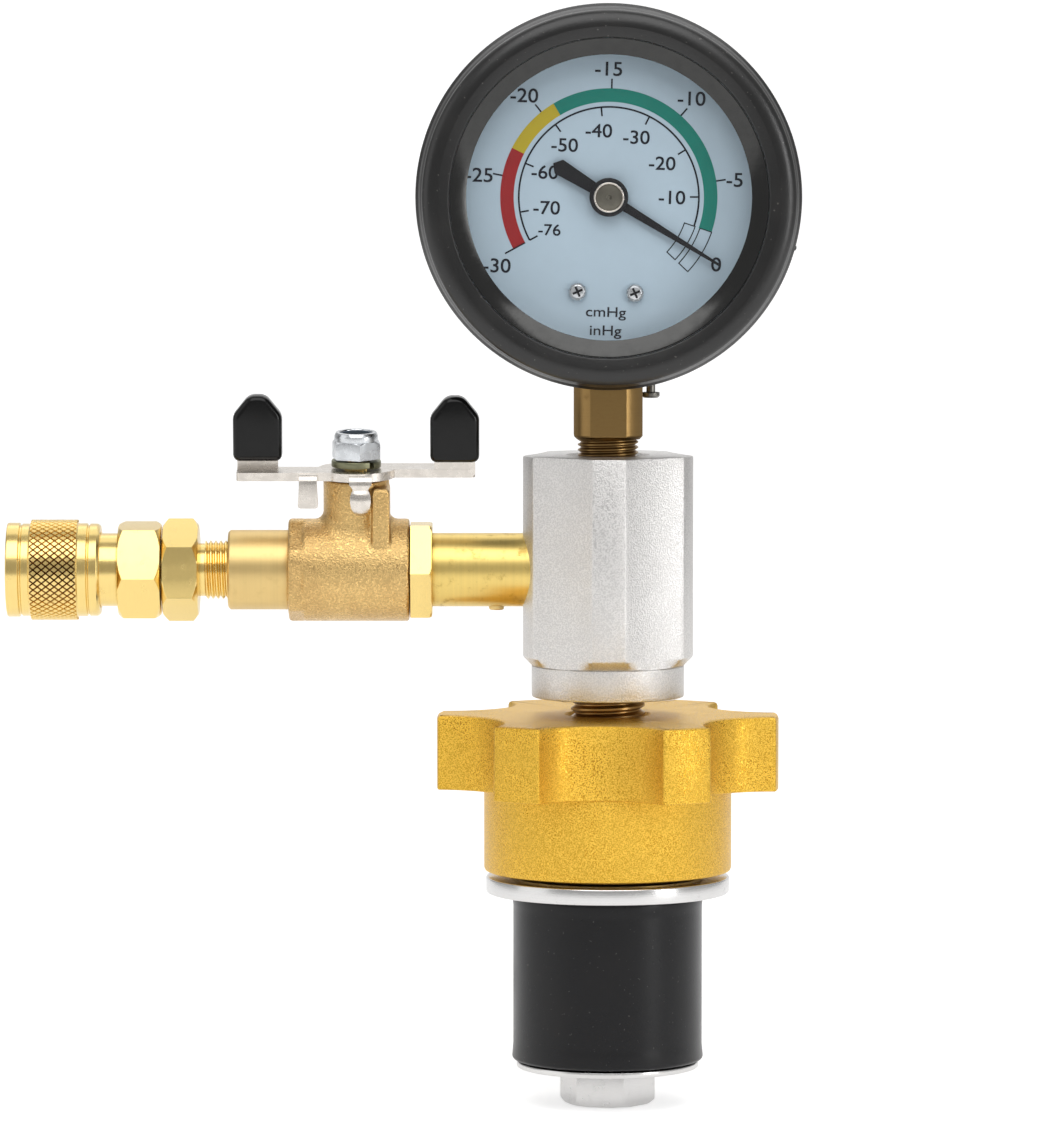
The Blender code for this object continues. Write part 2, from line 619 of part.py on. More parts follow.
def build_manifold_body(arm):
    tube_bore = TUBE_END_DIAMETER / 2 + SEAT_GAP
    stem_bore = SOCKET_THREAD_DIAMETER / 2 + SEAT_GAP
    radius = BODY_DIAMETER / 2
    collar = COLLAR_DIAMETER / 2
    chamber = CHAMBER_DIAMETER / 2
    chamber_bottom = COLLAR_BOTTOM + TUBE_SPIGOT_LENGTH + SEAT_GAP
    chamber_top = BODY_TOP - STEM_PORT_DEPTH
    profile = [
        (tube_bore, COLLAR_BOTTOM),
        (collar - BODY_EDGE_CHAMFER, COLLAR_BOTTOM),
        (collar, COLLAR_BOTTOM + BODY_EDGE_CHAMFER),
        (collar, COLLAR_TOP),
        (radius, COLLAR_TOP + (radius - collar)),
        (radius, BODY_TOP - BODY_EDGE_CHAMFER),
        (radius - BODY_EDGE_CHAMFER, BODY_TOP),
        (stem_bore + STEM_COUNTERSINK, BODY_TOP),
        (stem_bore, BODY_TOP - STEM_COUNTERSINK),
        (stem_bore, chamber_top),
        (chamber, chamber_top),
        (chamber, chamber_bottom),
        (tube_bore, chamber_bottom),
    ]
    body = add_object("manifold_body", turned(profile, COARSE_STEPS), finish=BLASTED_SILVER)
    flutes = bmesh.new()
    distance = radius - FLUTE_DEPTH + FLUTE_RADIUS
    for index in range(FLUTE_COUNT):
        angle = pi / 2 + tau * index / FLUTE_COUNT
        centre = (distance * cos(angle), distance * sin(angle))
        arc_start = angle + pi - FLUTE_HALF_SWEEP
        near_arc = circle(centre, FLUTE_RADIUS, FLUTE_STEPS, arc_start, 2 * FLUTE_HALF_SWEEP)
        far_edge = circle((0, 0), 2 * radius, 1, angle - FLUTE_OPEN_ANGLE, 2 * FLUTE_OPEN_ANGLE)
        prism(near_arc + far_edge, COLLAR_BOTTOM - OVERRUN, BODY_TOP + OVERRUN, into=flutes)
    cut(body, add_object("body flutes", flutes))
    port_wall = -radius + PIPE_PORT_DEPTH
    port = [
        (0, -radius - OVERRUN),
        (PIPE_DIAMETER / 2 + SEAT_GAP, -radius - OVERRUN),
        (PIPE_DIAMETER / 2 + SEAT_GAP, port_wall),
        (PIPE_BORE_DIAMETER / 2, port_wall),
        (PIPE_BORE_DIAMETER / 2, 0),
        (0, 0),
    ]
    cut(body, add_object("side port", turned(port, FINE_STEPS), arm))


def build_gauge_socket():
    thread = SOCKET_THREAD_DIAMETER / 2
    shank = SHANK_DIAMETER / 2
    bore = SOCKET_BORE_DIAMETER / 2
    bottom = BODY_TOP - STEM_PORT_DEPTH + SEAT_GAP
    bore_top = (BLOCK_BOTTOM + BLOCK_TOP) / 2
    profile = [
        (bore, bottom),
        (thread - SOCKET_THREAD_CHAMFER, bottom),
        (thread, bottom + SOCKET_THREAD_CHAMFER),
        (thread, SHANK_BOTTOM),
        (shank - SHANK_CHAMFER, SHANK_BOTTOM),
        (shank, SHANK_BOTTOM + SHANK_CHAMFER),
        (shank, BLOCK_BOTTOM + OVERRUN),
        (0, BLOCK_BOTTOM + OVERRUN),
        (0, BLOCK_BOTTOM),
        (bore, BLOCK_BOTTOM),
    ]
    socket = add_object("gauge_socket", turned(profile, FINE_STEPS), finish=OLIVE_BRASS)
    low = SHANK_BOTTOM
    high = BLOCK_BOTTOM + OVERRUN
    cut(socket, flats_cutter("shank flats", SHANK_ACROSS_FLATS, 4, low, high, SHANK_DIAMETER, pi / 4))
    half_width = BLOCK_WIDTH / 2
    inside = block((-half_width, -BLOCK_FRONT, BLOCK_BOTTOM), (half_width, BLOCK_FRONT, BLOCK_TOP))
    join(socket, add_object("socket block", inside))
    cut(socket, drill("socket bore", bore, BLOCK_BOTTOM - OVERRUN, bore_top, SMALL_STEPS))
    return socket


def screw_profile(head_bottom, shank_length, head_height=SCREW_HEAD_HEIGHT):
    """A pan-head screw whose head stands on head_bottom and whose shank hangs below it."""
    head = SCREW_HEAD_DIAMETER / 2
    shank = SCREW_SHANK_DIAMETER / 2
    return [
        (0, head_bottom - shank_length),
        (shank, head_bottom - shank_length),
        (shank, head_bottom),
        (head, head_bottom),
        (head, head_bottom + head_height / 2),
        (head / 2, head_bottom + head_height),
        (0, head_bottom + head_height),
    ]


def build_screws(socket, case, boot, dial, frame, gauge):
    """The dial's two screws, the movement's two and the case's one, with the holes that they pass."""
    hole = SCREW_SHANK_DIAMETER / 2 + RUNNING_GAP
    dial_holes = bmesh.new()
    turn = Matrix.Rotation(DIAL_TURN, 2)
    for side, side_name in SIDES:
        place = turn @ Vector((side * DIAL_SCREW_SPREAD / 2, -DIAL_SCREW_DROP))
        screw = turned(screw_profile(DIAL_FRONT + SEAT_GAP, SCREW_LENGTH), TINY_STEPS)
        bmesh.ops.translate(screw, verts=screw.verts, vec=(*place, 0))
        add_object(f"dial_screw_{side_name}", screw, gauge, finish=ZINC_PLATE)
        floor = DIAL_FRONT - SCREW_LENGTH
        prism(circle(place, hole, TINY_STEPS), floor, DIAL_FRONT + OVERRUN, into=dial_holes)
    dial_cutter = add_object("dial screw holes", dial_holes, gauge)
    cut(dial, dial_cutter)
    cut(socket, dial_cutter)

    web_top = BLOCK_TOP + SEAT_GAP + FRAME_PLATE
    frame_holes = bmesh.new()
    for side, side_name in SIDES:
        place = (side * MOVEMENT_SCREW_SPREAD / 2, 0)
        screw = turned(screw_profile(web_top + SEAT_GAP, SCREW_LENGTH), TINY_STEPS)
        bmesh.ops.translate(screw, verts=screw.verts, vec=(*place, 0))
        add_object(f"movement_screw_{side_name}", screw, finish=ZINC_PLATE)
        floor = web_top - SCREW_LENGTH
        prism(circle(place, hole, TINY_STEPS), floor, web_top + OVERRUN, into=frame_holes)
    frame_cutter = add_object("movement screw holes", frame_holes)
    cut(frame, frame_cutter)
    cut(socket, frame_cutter)

    head_top = GAUGE_CENTRE - CASE_DIAMETER / 2 - CASE_SCREW_DROP + SCREW_HEAD_HEIGHT
    screw = turned(screw_profile(0, CASE_SCREW_SHANK), TINY_STEPS)
    bmesh.ops.rotate(screw, verts=screw.verts, cent=(0, 0, 0), matrix=Matrix.Rotation(pi, 3, "X"))
    place = (CASE_SCREW_OFFSET, CASE_SCREW_SETBACK)
    bmesh.ops.translate(screw, verts=screw.verts, vec=(*place, head_top))
    add_object("case_screw", screw, finish=ZINC_PLATE)
    low = head_top - OVERRUN
    high = head_top + CASE_SCREW_SHANK + SEAT_GAP
    cutter = drill("case screw hole", hole, low, high, TINY_STEPS, place)
    cut(case, cutter)
    cut(socket, cutter)
    wide = SCREW_HEAD_DIAMETER / 2 + SEAT_GAP
    cut(boot, drill("boot screw notch", wide, low - OVERRUN, high, SMALL_STEPS, place))


def add_moved(target, source, offset):
    """Add a bmesh to another, moved by an offset, and free it."""
    bmesh.ops.translate(source, verts=source.verts, vec=offset)
    mesh = bpy.data.meshes.new("joining")
    source.to_mesh(mesh)
    source.free()
    target.from_mesh(mesh)
    bpy.data.meshes.remove(mesh)


def build_gauge_shells(gauge):
    """Case, gasket, lens, bezel and dial, turned about the dial's axis; heights are depths to the front."""
    outer = CASE_DIAMETER / 2
    case_profile = [
        (0, -CASE_BACK),
        (outer - CASE_EDGE, -CASE_BACK),
        (outer, -CASE_BACK + CASE_EDGE),
        (outer, CASE_FRONT),
        (CASE_INNER_RADIUS, CASE_FRONT),
        (CASE_INNER_RADIUS, -CASE_BACK + CASE_WALL),
        (0, -CASE_BACK + CASE_WALL),
    ]
    case = add_object("gauge_case", turned(case_profile, COARSE_STEPS), gauge, finish=BLACK_PAINT)
    half = SHANK_DIAMETER / 2 + SEAT_GAP
    opening = block((-half, -outer - OVERRUN, -half), (half, -GAUGE_CENTRE + BLOCK_BOTTOM, half))
    cut(case, add_object("case stem opening", opening, gauge))

    gasket = ring_profile(
        outer - GASKET_WIDTH, outer - SEAT_GAP, GASKET_BACK, GASKET_BACK + GASKET_THICKNESS
    )
    add_object("lens_gasket", turned(gasket, COARSE_STEPS), gauge, finish=BLACK_RUBBER)
    lens = [
        (0, LENS_BACK),
        (outer, LENS_BACK),
        (outer, LENS_BACK + LENS_THICKNESS),
        (0, LENS_BACK + LENS_THICKNESS),
    ]
    add_object("gauge_lens", turned(lens, COARSE_STEPS), gauge, finish=CLEAR_LENS)

    skirt_inner = outer + SEAT_GAP
    skirt_outer = skirt_inner + BEZEL_WALL
    skirt_back = BEZEL_LIP_BACK - BEZEL_SKIRT_LENGTH
    bezel = [
        (skirt_inner, skirt_back),
        (skirt_outer, skirt_back),
        (skirt_outer, BEZEL_FRONT - BEZEL_WALL),
        (skirt_outer - BEZEL_WALL, BEZEL_FRONT),
        (BEZEL_OPENING_RADIUS + BEZEL_WALL, BEZEL_FRONT),
        (BEZEL_OPENING_RADIUS, BEZEL_LIP_BACK),
        (skirt_inner, BEZEL_LIP_BACK),
    ]
    add_object("gauge_bezel", turned(bezel, COARSE_STEPS), gauge, finish=GREY_STEEL)

    dial = [
        (DIAL_HOLE_DIAMETER / 2, DIAL_BACK),
        (DIAL_RADIUS, DIAL_BACK),
        (DIAL_RADIUS, DIAL_FRONT),
        (DIAL_HOLE_DIAMETER / 2, DIAL_FRONT),
    ]
    return case, add_object("gauge_dial", turned(dial, COARSE_STEPS), gauge, finish=DIAL_PAINT)


def build_boot(gauge):
    """The rubber boot: a mouth bead, a fine groove, the big front roll and the wider back part."""
    over_case = CASE_DIAMETER / 2 + SEAT_GAP
    over_bezel = over_case + BEZEL_WALL + SEAT_GAP
    mouth = BEZEL_OPENING_RADIUS + BOOT_MOUTH_SETBACK
    bead_outer = mouth + BOOT_BEAD_WIDTH
    roll_inner = bead_outer + BOOT_GROOVE_WIDTH
    ring = CASE_DIAMETER / 2 + BOOT_RING_WALL
    outer = CASE_DIAMETER / 2 + BOOT_WALL
    back_opening = CASE_DIAMETER / 2 - BOOT_BACK_LIP
    front = BEZEL_FRONT
    roll_round = (ring - roll_inner) / 2
    roll_front = front + BOOT_ROLL_PROUD
    ring_back = roll_front - BOOT_RING_LENGTH
    back_inside = -CASE_BACK - SEAT_GAP
    back = back_inside - BOOT_BACK_WALL
    bezel_step = BEZEL_LIP_BACK - BEZEL_SKIRT_LENGTH - SEAT_GAP
    roll_centre = (roll_inner + roll_round, roll_front - roll_round)
    roll = circle(roll_centre, roll_round, ROUNDING_STEPS, pi, -pi)
    profile = [
        (mouth, front + SEAT_GAP),
        (mouth, front + BOOT_GROOVE_PROUD),
        (mouth + BOOT_BEAD_WIDTH / 2, front + BOOT_BEAD_PROUD),
        (bead_outer, front + BOOT_GROOVE_PROUD),
        *roll,
        (ring, ring_back),
        (outer, ring_back - (outer - ring)),
        (outer, back + BOOT_BACK_ROUND),
        (outer - BOOT_BACK_ROUND, back),
        (back_opening, back),
        (back_opening, back_inside),
        (over_case, back_inside),
        (over_case, bezel_step),
        (over_bezel, bezel_step),
        (over_bezel, front + SEAT_GAP),
    ]
    boot = add_object("gauge_boot", turned(profile, COARSE_STEPS), gauge, finish=BLACK_RUBBER)
    half = SHANK_DIAMETER / 2 + SEAT_GAP
    cutout = block((-half, -outer - OVERRUN, -half), (half, -over_case + BOOT_BACK_WALL, half))
    cut(boot, add_object("boot stem cutout", cutout, gauge))
    return boot


def build_bourdon_tube(gauge):
    """The flattened spring tube, from the socket's block round to its tip, with a flat lug for the link."""
    inner = BOURDON_RADIUS - BOURDON_WIDTH / 2
    start = pi + acos((BLOCK_WIDTH / 2 + SEAT_GAP) / inner)
    section = ring_profile(inner, inner + BOURDON_WIDTH, -BOURDON_DEPTH / 2, BOURDON_DEPTH / 2)
    tube = swept_section(section, start, BOURDON_END_ANGLE, COARSE_STEPS - TINY_STEPS)
    piece = add_object("bourdon_tube", tube, gauge, finish=SPRING_BRONZE)
    lug_inner = BOURDON_RADIUS - TIP_LUG_WIDTH / 2
    lug_section = ring_profile(lug_inner, lug_inner + TIP_LUG_WIDTH, -GEAR_THICKNESS / 2, GEAR_THICKNESS / 2)
    lug_root = BOURDON_END_ANGLE - (TIP_LUG_ANGLE - BOURDON_END_ANGLE) / 2
    lug = swept_section(lug_section, TIP_LUG_ANGLE, lug_root, TINY_STEPS)
    join(piece, add_object("tip lug", lug, gauge))
    pin_hole = (TIP_PIN_RADIUS * cos(TIP_PIN_ANGLE), TIP_PIN_RADIUS * sin(TIP_PIN_ANGLE))
    radius = LINK_PIN_DIAMETER / 2
    cut(piece, drill("tip hole", radius, -OVERRUN, OVERRUN, TINY_STEPS, pin_hole, gauge))


def swept_section(section, start, end, steps):
    """Spin a closed section part of a turn, with its end faces kept."""
    shape = bmesh.new()
    direction = Matrix.Rotation(start, 3, "Z")
    corners = [shape.verts.new(direction @ Vector((radius, 0, height))) for radius, height in section]
    face = shape.faces.new(corners)
    bmesh.ops.spin(
        shape,
        geom=[face, *face.edges, *face.verts],
        cent=(0, 0, 0),
        axis=(0, 0, 1),
        angle=end - start,
        steps=steps,
    )
    return shape


def tooth_outline(pitch_radius, tooth_count, centre_angle, outward=1):
    """The four corners of one tooth, from root to tip and back, round a gear's own centre."""
    root = pitch_radius - outward * TOOTH_MODULE
    tip = pitch_radius + outward * TOOTH_MODULE * (1 - TOOTH_CLEARANCE_SHARE)
    half_root = TOOTH_WIDTH_SHARE * tau / tooth_count
    half_tip = TOOTH_TIP_SHARE * tau / tooth_count
    corners = ((root, -half_root), (tip, -half_tip), (tip, half_tip), (root, half_root))
    places = [(radius, centre_angle + turn) for radius, turn in corners]
    return [(radius * cos(angle), radius * sin(angle)) for radius, angle in places]


def build_movement_frame(gauge):
    """A U bracket on the socket's block, with bearing holes in both plates."""
    web_bottom = BLOCK_TOP + SEAT_GAP - GAUGE_CENTRE
    web_top = web_bottom + FRAME_PLATE
    outline = [
        (FRAME_FRONT, FRAME_TOP),
        (FRAME_FRONT, web_bottom),
        (-FRAME_BACK, web_bottom),
        (-FRAME_BACK, FRAME_TOP),
        (-FRAME_BACK + FRAME_PLATE, FRAME_TOP),
        (-FRAME_BACK + FRAME_PLATE, web_top),
        (FRAME_FRONT - FRAME_PLATE, web_top),
        (FRAME_FRONT - FRAME_PLATE, FRAME_TOP),
    ]
    shape = prism([(depth, rise) for depth, rise in outline], -FRAME_LEFT, FRAME_RIGHT)
    turn = Matrix(((0, 0, 1), (0, 1, 0), (1, 0, 0)))
    bmesh.ops.transform(shape, verts=shape.verts, matrix=turn.to_4x4())
    frame = add_object("movement_frame", shape, gauge, finish=YELLOW_BRASS)
    bearing = ARBOR_DIAMETER / 2 + RUNNING_GAP
    for name, centre in (("arbor bearing", (0, 0)), ("sector bearing", SECTOR_PIVOT)):
        low = -FRAME_BACK - OVERRUN
        high = FRAME_FRONT + OVERRUN
        cut(frame, drill(name, bearing, low, high, SMALL_STEPS, centre, gauge))
    return frame


def build_pinion_arbor(gauge):
    """The arbor: a shaft through both plates and the dial, with the pinion on it."""
    radius = ARBOR_DIAMETER / 2
    back = -FRAME_BACK - SEAT_GAP
    front = POINTER_BOSS_BACK + POINTER_BOSS_LENGTH - SEAT_GAP
    shaft = prism(circle((0, 0), radius, SMALL_STEPS), back, front)
    arbor = add_object("pinion_arbor", shaft, gauge, finish=YELLOW_BRASS)
    outline = []
    for index in range(PINION_TEETH):
        angle = SECTOR_PIVOT_ANGLE + tau * (index + 0.5) / PINION_TEETH
        outline += tooth_outline(PINION_RADIUS, PINION_TEETH, angle)
    pinion = prism(outline, -PINION_LENGTH / 2, PINION_LENGTH / 2)
    join(arbor, add_object("pinion", pinion, gauge))


def build_sector_gear(gauge):
    """The toothed sector with its own shaft and the tail that the link pulls."""
    axis = axis_empty("sector_axis", (*SECTOR_PIVOT, 0))
    axis.parent = gauge
    tooth_count = PINION_TEETH * SECTOR_RATIO
    pitch = tau / tooth_count
    toward_pinion = SECTOR_PIVOT_ANGLE + pi
    outline = []
    for index in range(SECTOR_TEETH_SHOWN):
        outline += tooth_outline(SECTOR_RADIUS, tooth_count, toward_pinion + (index - 1) * pitch)
    rim_inner = SECTOR_RADIUS - TOOTH_MODULE - SECTOR_RIM
    last = toward_pinion + (SECTOR_TEETH_SHOWN - 2) * pitch
    outline += circle((0, 0), rim_inner, TINY_STEPS, last, toward_pinion - pitch - last)
    half = GEAR_THICKNESS / 2
    gear = add_object("sector_gear", prism(outline, -half, half), axis, finish=YELLOW_BRASS)

    hub = SECTOR_HUB_DIAMETER / 2
    middle = (last + toward_pinion - pitch) / 2
    spoke = strip((0, 0), middle, rim_inner + SECTOR_RIM / 2 - hub, hub)
    tail = strip((0, 0), SECTOR_TAIL_ANGLE, SECTOR_TAIL_LENGTH, EYE_DIAMETER / 2)
    low = -FRAME_BACK - SEAT_GAP
    high = FRAME_FRONT + SEAT_GAP
    join(
        gear,
        add_object("sector spoke", prism(spoke, -half, half), axis),
        add_object("sector tail", prism(tail, -half, half), axis),
        drill("sector hub", hub, -PINION_LENGTH / 2, PINION_LENGTH / 2, SMALL_STEPS, parent=axis),
        drill("sector shaft", ARBOR_DIAMETER / 2, low, high, SMALL_STEPS, parent=axis),
    )
    eye = (SECTOR_TAIL_LENGTH * cos(SECTOR_TAIL_ANGLE), SECTOR_TAIL_LENGTH * sin(SECTOR_TAIL_ANGLE))
    hole = LINK_PIN_DIAMETER / 2 + RUNNING_GAP
    cut(gear, drill("tail hole", hole, -OVERRUN, OVERRUN, TINY_STEPS, eye, axis))


def strip(start, angle, length, half_width):
    """The outline of a bar with a round far end."""
    end = (start[0] + length * cos(angle), start[1] + length * sin(angle))
    root = []
    for across in (angle + pi / 2, angle - pi / 2):
        root.append((start[0] + half_width * cos(across), start[1] + half_width * sin(across)))
    return root + circle(end, half_width, ROUNDING_STEPS, angle - pi / 2, pi)


def build_movement_link(gauge):
    """The link in front of the sector's tail, with a pin into it; its other eye lies over the tube's lug."""
    axis = axis_empty("link_axis", (*SECTOR_TAIL, 0))
    axis.parent = gauge
    tip = (
        TIP_PIN_RADIUS * cos(TIP_PIN_ANGLE) - SECTOR_TAIL[0],
        TIP_PIN_RADIUS * sin(TIP_PIN_ANGLE) - SECTOR_TAIL[1],
    )
    back = GEAR_THICKNESS / 2 + SEAT_GAP
    front = back + LINK_THICKNESS
    angle = atan2(tip[1], tip[0])
    length = sqrt(tip[0] ** 2 + tip[1] ** 2)
    bar = strip((0, 0), angle, length, LINK_WIDTH / 2)
    link = add_object("movement_link", prism(bar, back, front), axis, finish=YELLOW_BRASS)
    near_eye = drill("link near eye", EYE_DIAMETER / 2, back, front, SMALL_STEPS, parent=axis)
    far_eye = drill("link far eye", EYE_DIAMETER / 2, back, front, SMALL_STEPS, tip, axis)
    pin = drill("link pin", LINK_PIN_DIAMETER / 2, -back, back + LINK_THICKNESS / 2, TINY_STEPS, parent=axis)
    join(link, near_eye, far_eye, pin)
    hole = LINK_PIN_DIAMETER / 2
    cut(link, drill("link far hole", hole, back - OVERRUN, front + OVERRUN, TINY_STEPS, tip, axis))


def build_hairspring(gauge):
    """A flat spiral round the arbor, with the stud that anchors its outer end by the front plate."""
    count = HAIRSPRING_TURNS * SMALL_STEPS
    growth = HAIRSPRING_OUTER_RADIUS - HAIRSPRING_INNER_RADIUS
    sides = []
    for side in (-1, 1):
        half = side * HAIRSPRING_THICKNESS / 2
        radii = [HAIRSPRING_INNER_RADIUS + growth * index / count + half for index in range(count + 1)]
        turns = [tau * index / SMALL_STEPS for index in range(count + 1)]
        sides.append([(radius * cos(turn), radius * sin(turn)) for radius, turn in zip(radii, turns)])
    outline = sides[0] + sides[1][::-1]
    shape = prism(outline, HAIRSPRING_FRONT, HAIRSPRING_FRONT + HAIRSPRING_WIDTH)
    spring = add_object("hairspring", shape, gauge, finish=SPRING_BRONZE)
    stud_radius = HAIRSPRING_THICKNESS
    top = FRAME_FRONT - FRAME_PLATE - SEAT_GAP
    place = (HAIRSPRING_OUTER_RADIUS, 0)
    join(spring, drill("hairspring stud", stud_radius, HAIRSPRING_FRONT, top, TINY_STEPS, place, gauge))


def build_pointer(gauge):
    """The blade and its boss, at the zero of the scale, and the bright cap on the boss."""
    axis = axis_empty("pointer_axis", (0, 0, 0), (0, 0, POINTER_ZERO_ANGLE + DIAL_TURN))
    axis.parent = gauge
    boss = POINTER_BOSS_DIAMETER / 2
    tip = POINTER_TIP_WIDTH / 2
    blade = [
        (-POINTER_TAIL, 0),
        (-POINTER_TAIL + POINTER_TAIL_POINT, -POINTER_TAIL_WIDTH / 2),
        (-boss, -POINTER_NECK_WIDTH / 2),
        (boss, -POINTER_ROOT_WIDTH / 2),
        (POINTER_REACH, -tip),
        (POINTER_REACH, tip),
        (boss, POINTER_ROOT_WIDTH / 2),
        (-boss, POINTER_NECK_WIDTH / 2),
        (-POINTER_TAIL + POINTER_TAIL_POINT, POINTER_TAIL_WIDTH / 2),
    ]
    back = POINTER_BOSS_BACK
    front = back + POINTER_BOSS_LENGTH
    blade_back = back + POINTER_THICKNESS / 2
    shape = prism(blade, blade_back, blade_back + POINTER_THICKNESS)
    pointer = add_object("pointer", shape, axis, finish=BLACK_PAINT)
    hole = ARBOR_DIAMETER / 2 + RUNNING_GAP
    join(pointer, drill("pointer boss", boss, back, front, FINE_STEPS, parent=axis))
    cut(pointer, drill("pointer hole", hole, back - OVERRUN, front + OVERRUN, SMALL_STEPS, parent=axis))
    cap_back = front + SEAT_GAP
    cap = CAP_DIAMETER / 2
    profile = [
        (0, cap_back),
        (cap, cap_back),
        (cap, cap_back + CAP_HEIGHT / 2),
        (cap - CAP_HEIGHT / 2, cap_back + CAP_HEIGHT),
        (0, cap_back + CAP_HEIGHT),
    ]
    add_object("pointer_cap", turned(profile, FINE_STEPS), axis, finish=NICKEL_PLATE)


def build_side_pipe(arm):
    """The brass pipe between the valve and the manifold, and the pin on its underside."""
    profile = ring_profile(PIPE_BORE_DIAMETER / 2, PIPE_DIAMETER / 2, PIPE_LEFT_X, PIPE_RIGHT_X)
    pipe = add_object("side_pipe", turned(profile, FINE_STEPS), arm, finish=YELLOW_BRASS)
    pin_axis = axis_empty("pipe_pin_axis", (0, 0, -PIPE_PIN_OFFSET), (0, pi / 2, 0))
    pin_axis.parent = arm
    top = PIPE_DIAMETER / 2 + PIPE_PIN_PROUD
    bottom = top - PIPE_PIN_LENGTH
    pin = prism(circle((0, 0), PIPE_PIN_DIAMETER / 2, SMALL_STEPS), bottom, top)
    add_object("pipe_pin", pin, pin_axis, YELLOW_BRASS)
    hole = PIPE_PIN_DIAMETER / 2 + SEAT_GAP
    cut(pipe, drill("pin hole", hole, bottom - SEAT_GAP, top + OVERRUN, SMALL_STEPS, parent=pin_axis))


def build_valve_body(arm, stem):
    left = VALVE_LEFT_X
    right = VALVE_RIGHT_X
    wrench_left = VALVE_CENTRE_X - VALVE_WRENCH_LEFT
    wrench_right = VALVE_CENTRE_X - VALVE_WRENCH_RIGHT
    end = VALVE_END_DIAMETER / 2
    wrench = VALVE_WRENCH_DIAMETER / 2
    radius = VALVE_BODY_DIAMETER / 2
    profile = [
        (0, left),
        (end - VALVE_EDGE, left),
        (end, left + VALVE_EDGE),
        (end, wrench_left),
        (wrench - VALVE_EDGE, wrench_left),
        (wrench, wrench_left + VALVE_EDGE),
        (wrench, wrench_right),
        (radius, wrench_right + VALVE_EDGE),
        (radius, right - VALVE_EDGE),
        (radius - VALVE_EDGE, right),
        (0, right),
    ]
    body = add_object("valve_body", turned(profile, FINE_STEPS), arm, finish=CAST_BRASS)
    low = wrench_left - OVERRUN
    flats = VALVE_WRENCH_FLATS
    cut(body, flats_cutter("wrench flats", flats, 6, low, wrench_right, flats, parent=arm))

    neck_radius = NECK_DIAMETER / 2
    neck_profile = [
        (0, 0),
        (neck_radius, 0),
        (neck_radius, NECK_HEIGHT - VALVE_EDGE),
        (neck_radius - VALVE_EDGE, NECK_HEIGHT),
        (0, NECK_HEIGHT),
    ]
    rib_top = NECK_HEIGHT - RIB_TOP_DROP
    rib_bottom = rib_top - RIB_HEIGHT
    open_rib_left = TAB_OFFSET + SEAT_GAP
    open_rib = block((open_rib_left, -OPEN_RIB_REACH, rib_bottom), (open_rib_left + RIB_WIDTH, 0, rib_top))
    closed_rib_left = SEAT_GAP - PLATE_WIDE_SIDE
    closed_rib_right = closed_rib_left + RIB_WIDTH
    closed_rib = block((closed_rib_left, 0, rib_bottom), (closed_rib_right, CLOSED_RIB_REACH, rib_top))
    join(
        body,
        add_object("neck", turned(neck_profile, FINE_STEPS), stem),
        add_object("open rib", open_rib, stem),
        add_object("closed rib", closed_rib, stem),
    )

    ball_gap_radius = BALL_DIAMETER / 2 + SEAT_GAP
    cavity_left = VALVE_CENTRE_X - seat_outer_face(ball_gap_radius) - SEAT_GAP
    pocket = SEAT_OUTER_DIAMETER / 2 + SEAT_GAP
    thread = ADAPTER_THREAD_DIAMETER / 2 + SEAT_GAP
    thread_end = left + ADAPTER_ENGAGED + SEAT_GAP
    port = PIPE_BORE_DIAMETER / 2
    cavity = [
        (0, left - OVERRUN),
        (thread, left - OVERRUN),
        (thread, thread_end),
        (port, thread_end),
        (port, cavity_left),
        (pocket, cavity_left),
        (pocket, right + OVERRUN),
        (0, right + OVERRUN),
    ]
    stem_hole = STEM_DIAMETER / 2 + SEAT_GAP
    packing = PACKING_DIAMETER / 2 + SEAT_GAP
    packing_top = PACKING_LIFT + PACKING_HEIGHT + SEAT_GAP
    stem_bore = [
        (0, 0),
        (stem_hole, 0),
        (stem_hole, PACKING_LIFT - SEAT_GAP),
        (packing, PACKING_LIFT - SEAT_GAP),
        (packing, packing_top),
        (stem_hole, packing_top),
        (stem_hole, NECK_HEIGHT + OVERRUN),
        (0, NECK_HEIGHT + OVERRUN),
    ]
    cut(
        body,
        add_object("valve cavity", turned(cavity, FINE_STEPS), arm),
        add_object("stem bore", turned(stem_bore, SMALL_STEPS), stem),
    )


def seat_outer_face(gap_radius):
    """How far a seat's flat outer face lies from the ball's centre."""
    bore = BALL_BORE_DIAMETER / 2 + SEAT_GAP
    return gap_radius * cos(asin(bore / gap_radius)) + SEAT_LENGTH * SEAT_LAND_SHARE


def build_ball_seats(arm):
    """The two rings that hold the ball; each cone stands clear of the ball."""
    gap_radius = BALL_DIAMETER / 2 + SEAT_GAP
    bore = BALL_BORE_DIAMETER / 2 + SEAT_GAP
    outer = SEAT_OUTER_DIAMETER / 2
    face = seat_outer_face(gap_radius)
    for side, side_name in SIDES:
        profile = [
            (bore, VALVE_CENTRE_X + side * face),
            (outer, VALVE_CENTRE_X + side * face),
            (outer, VALVE_CENTRE_X + side * gap_radius * cos(SEAT_CONE_ANGLE)),
            (gap_radius * sin(SEAT_CONE_ANGLE), VALVE_CENTRE_X + side * gap_radius * cos(SEAT_CONE_ANGLE)),
            (bore, VALVE_CENTRE_X + side * gap_radius * cos(asin(bore / gap_radius))),
        ]
        add_object(f"ball_seat_{side_name}", turned(profile, FINE_STEPS), arm, finish=WHITE_PLASTIC)


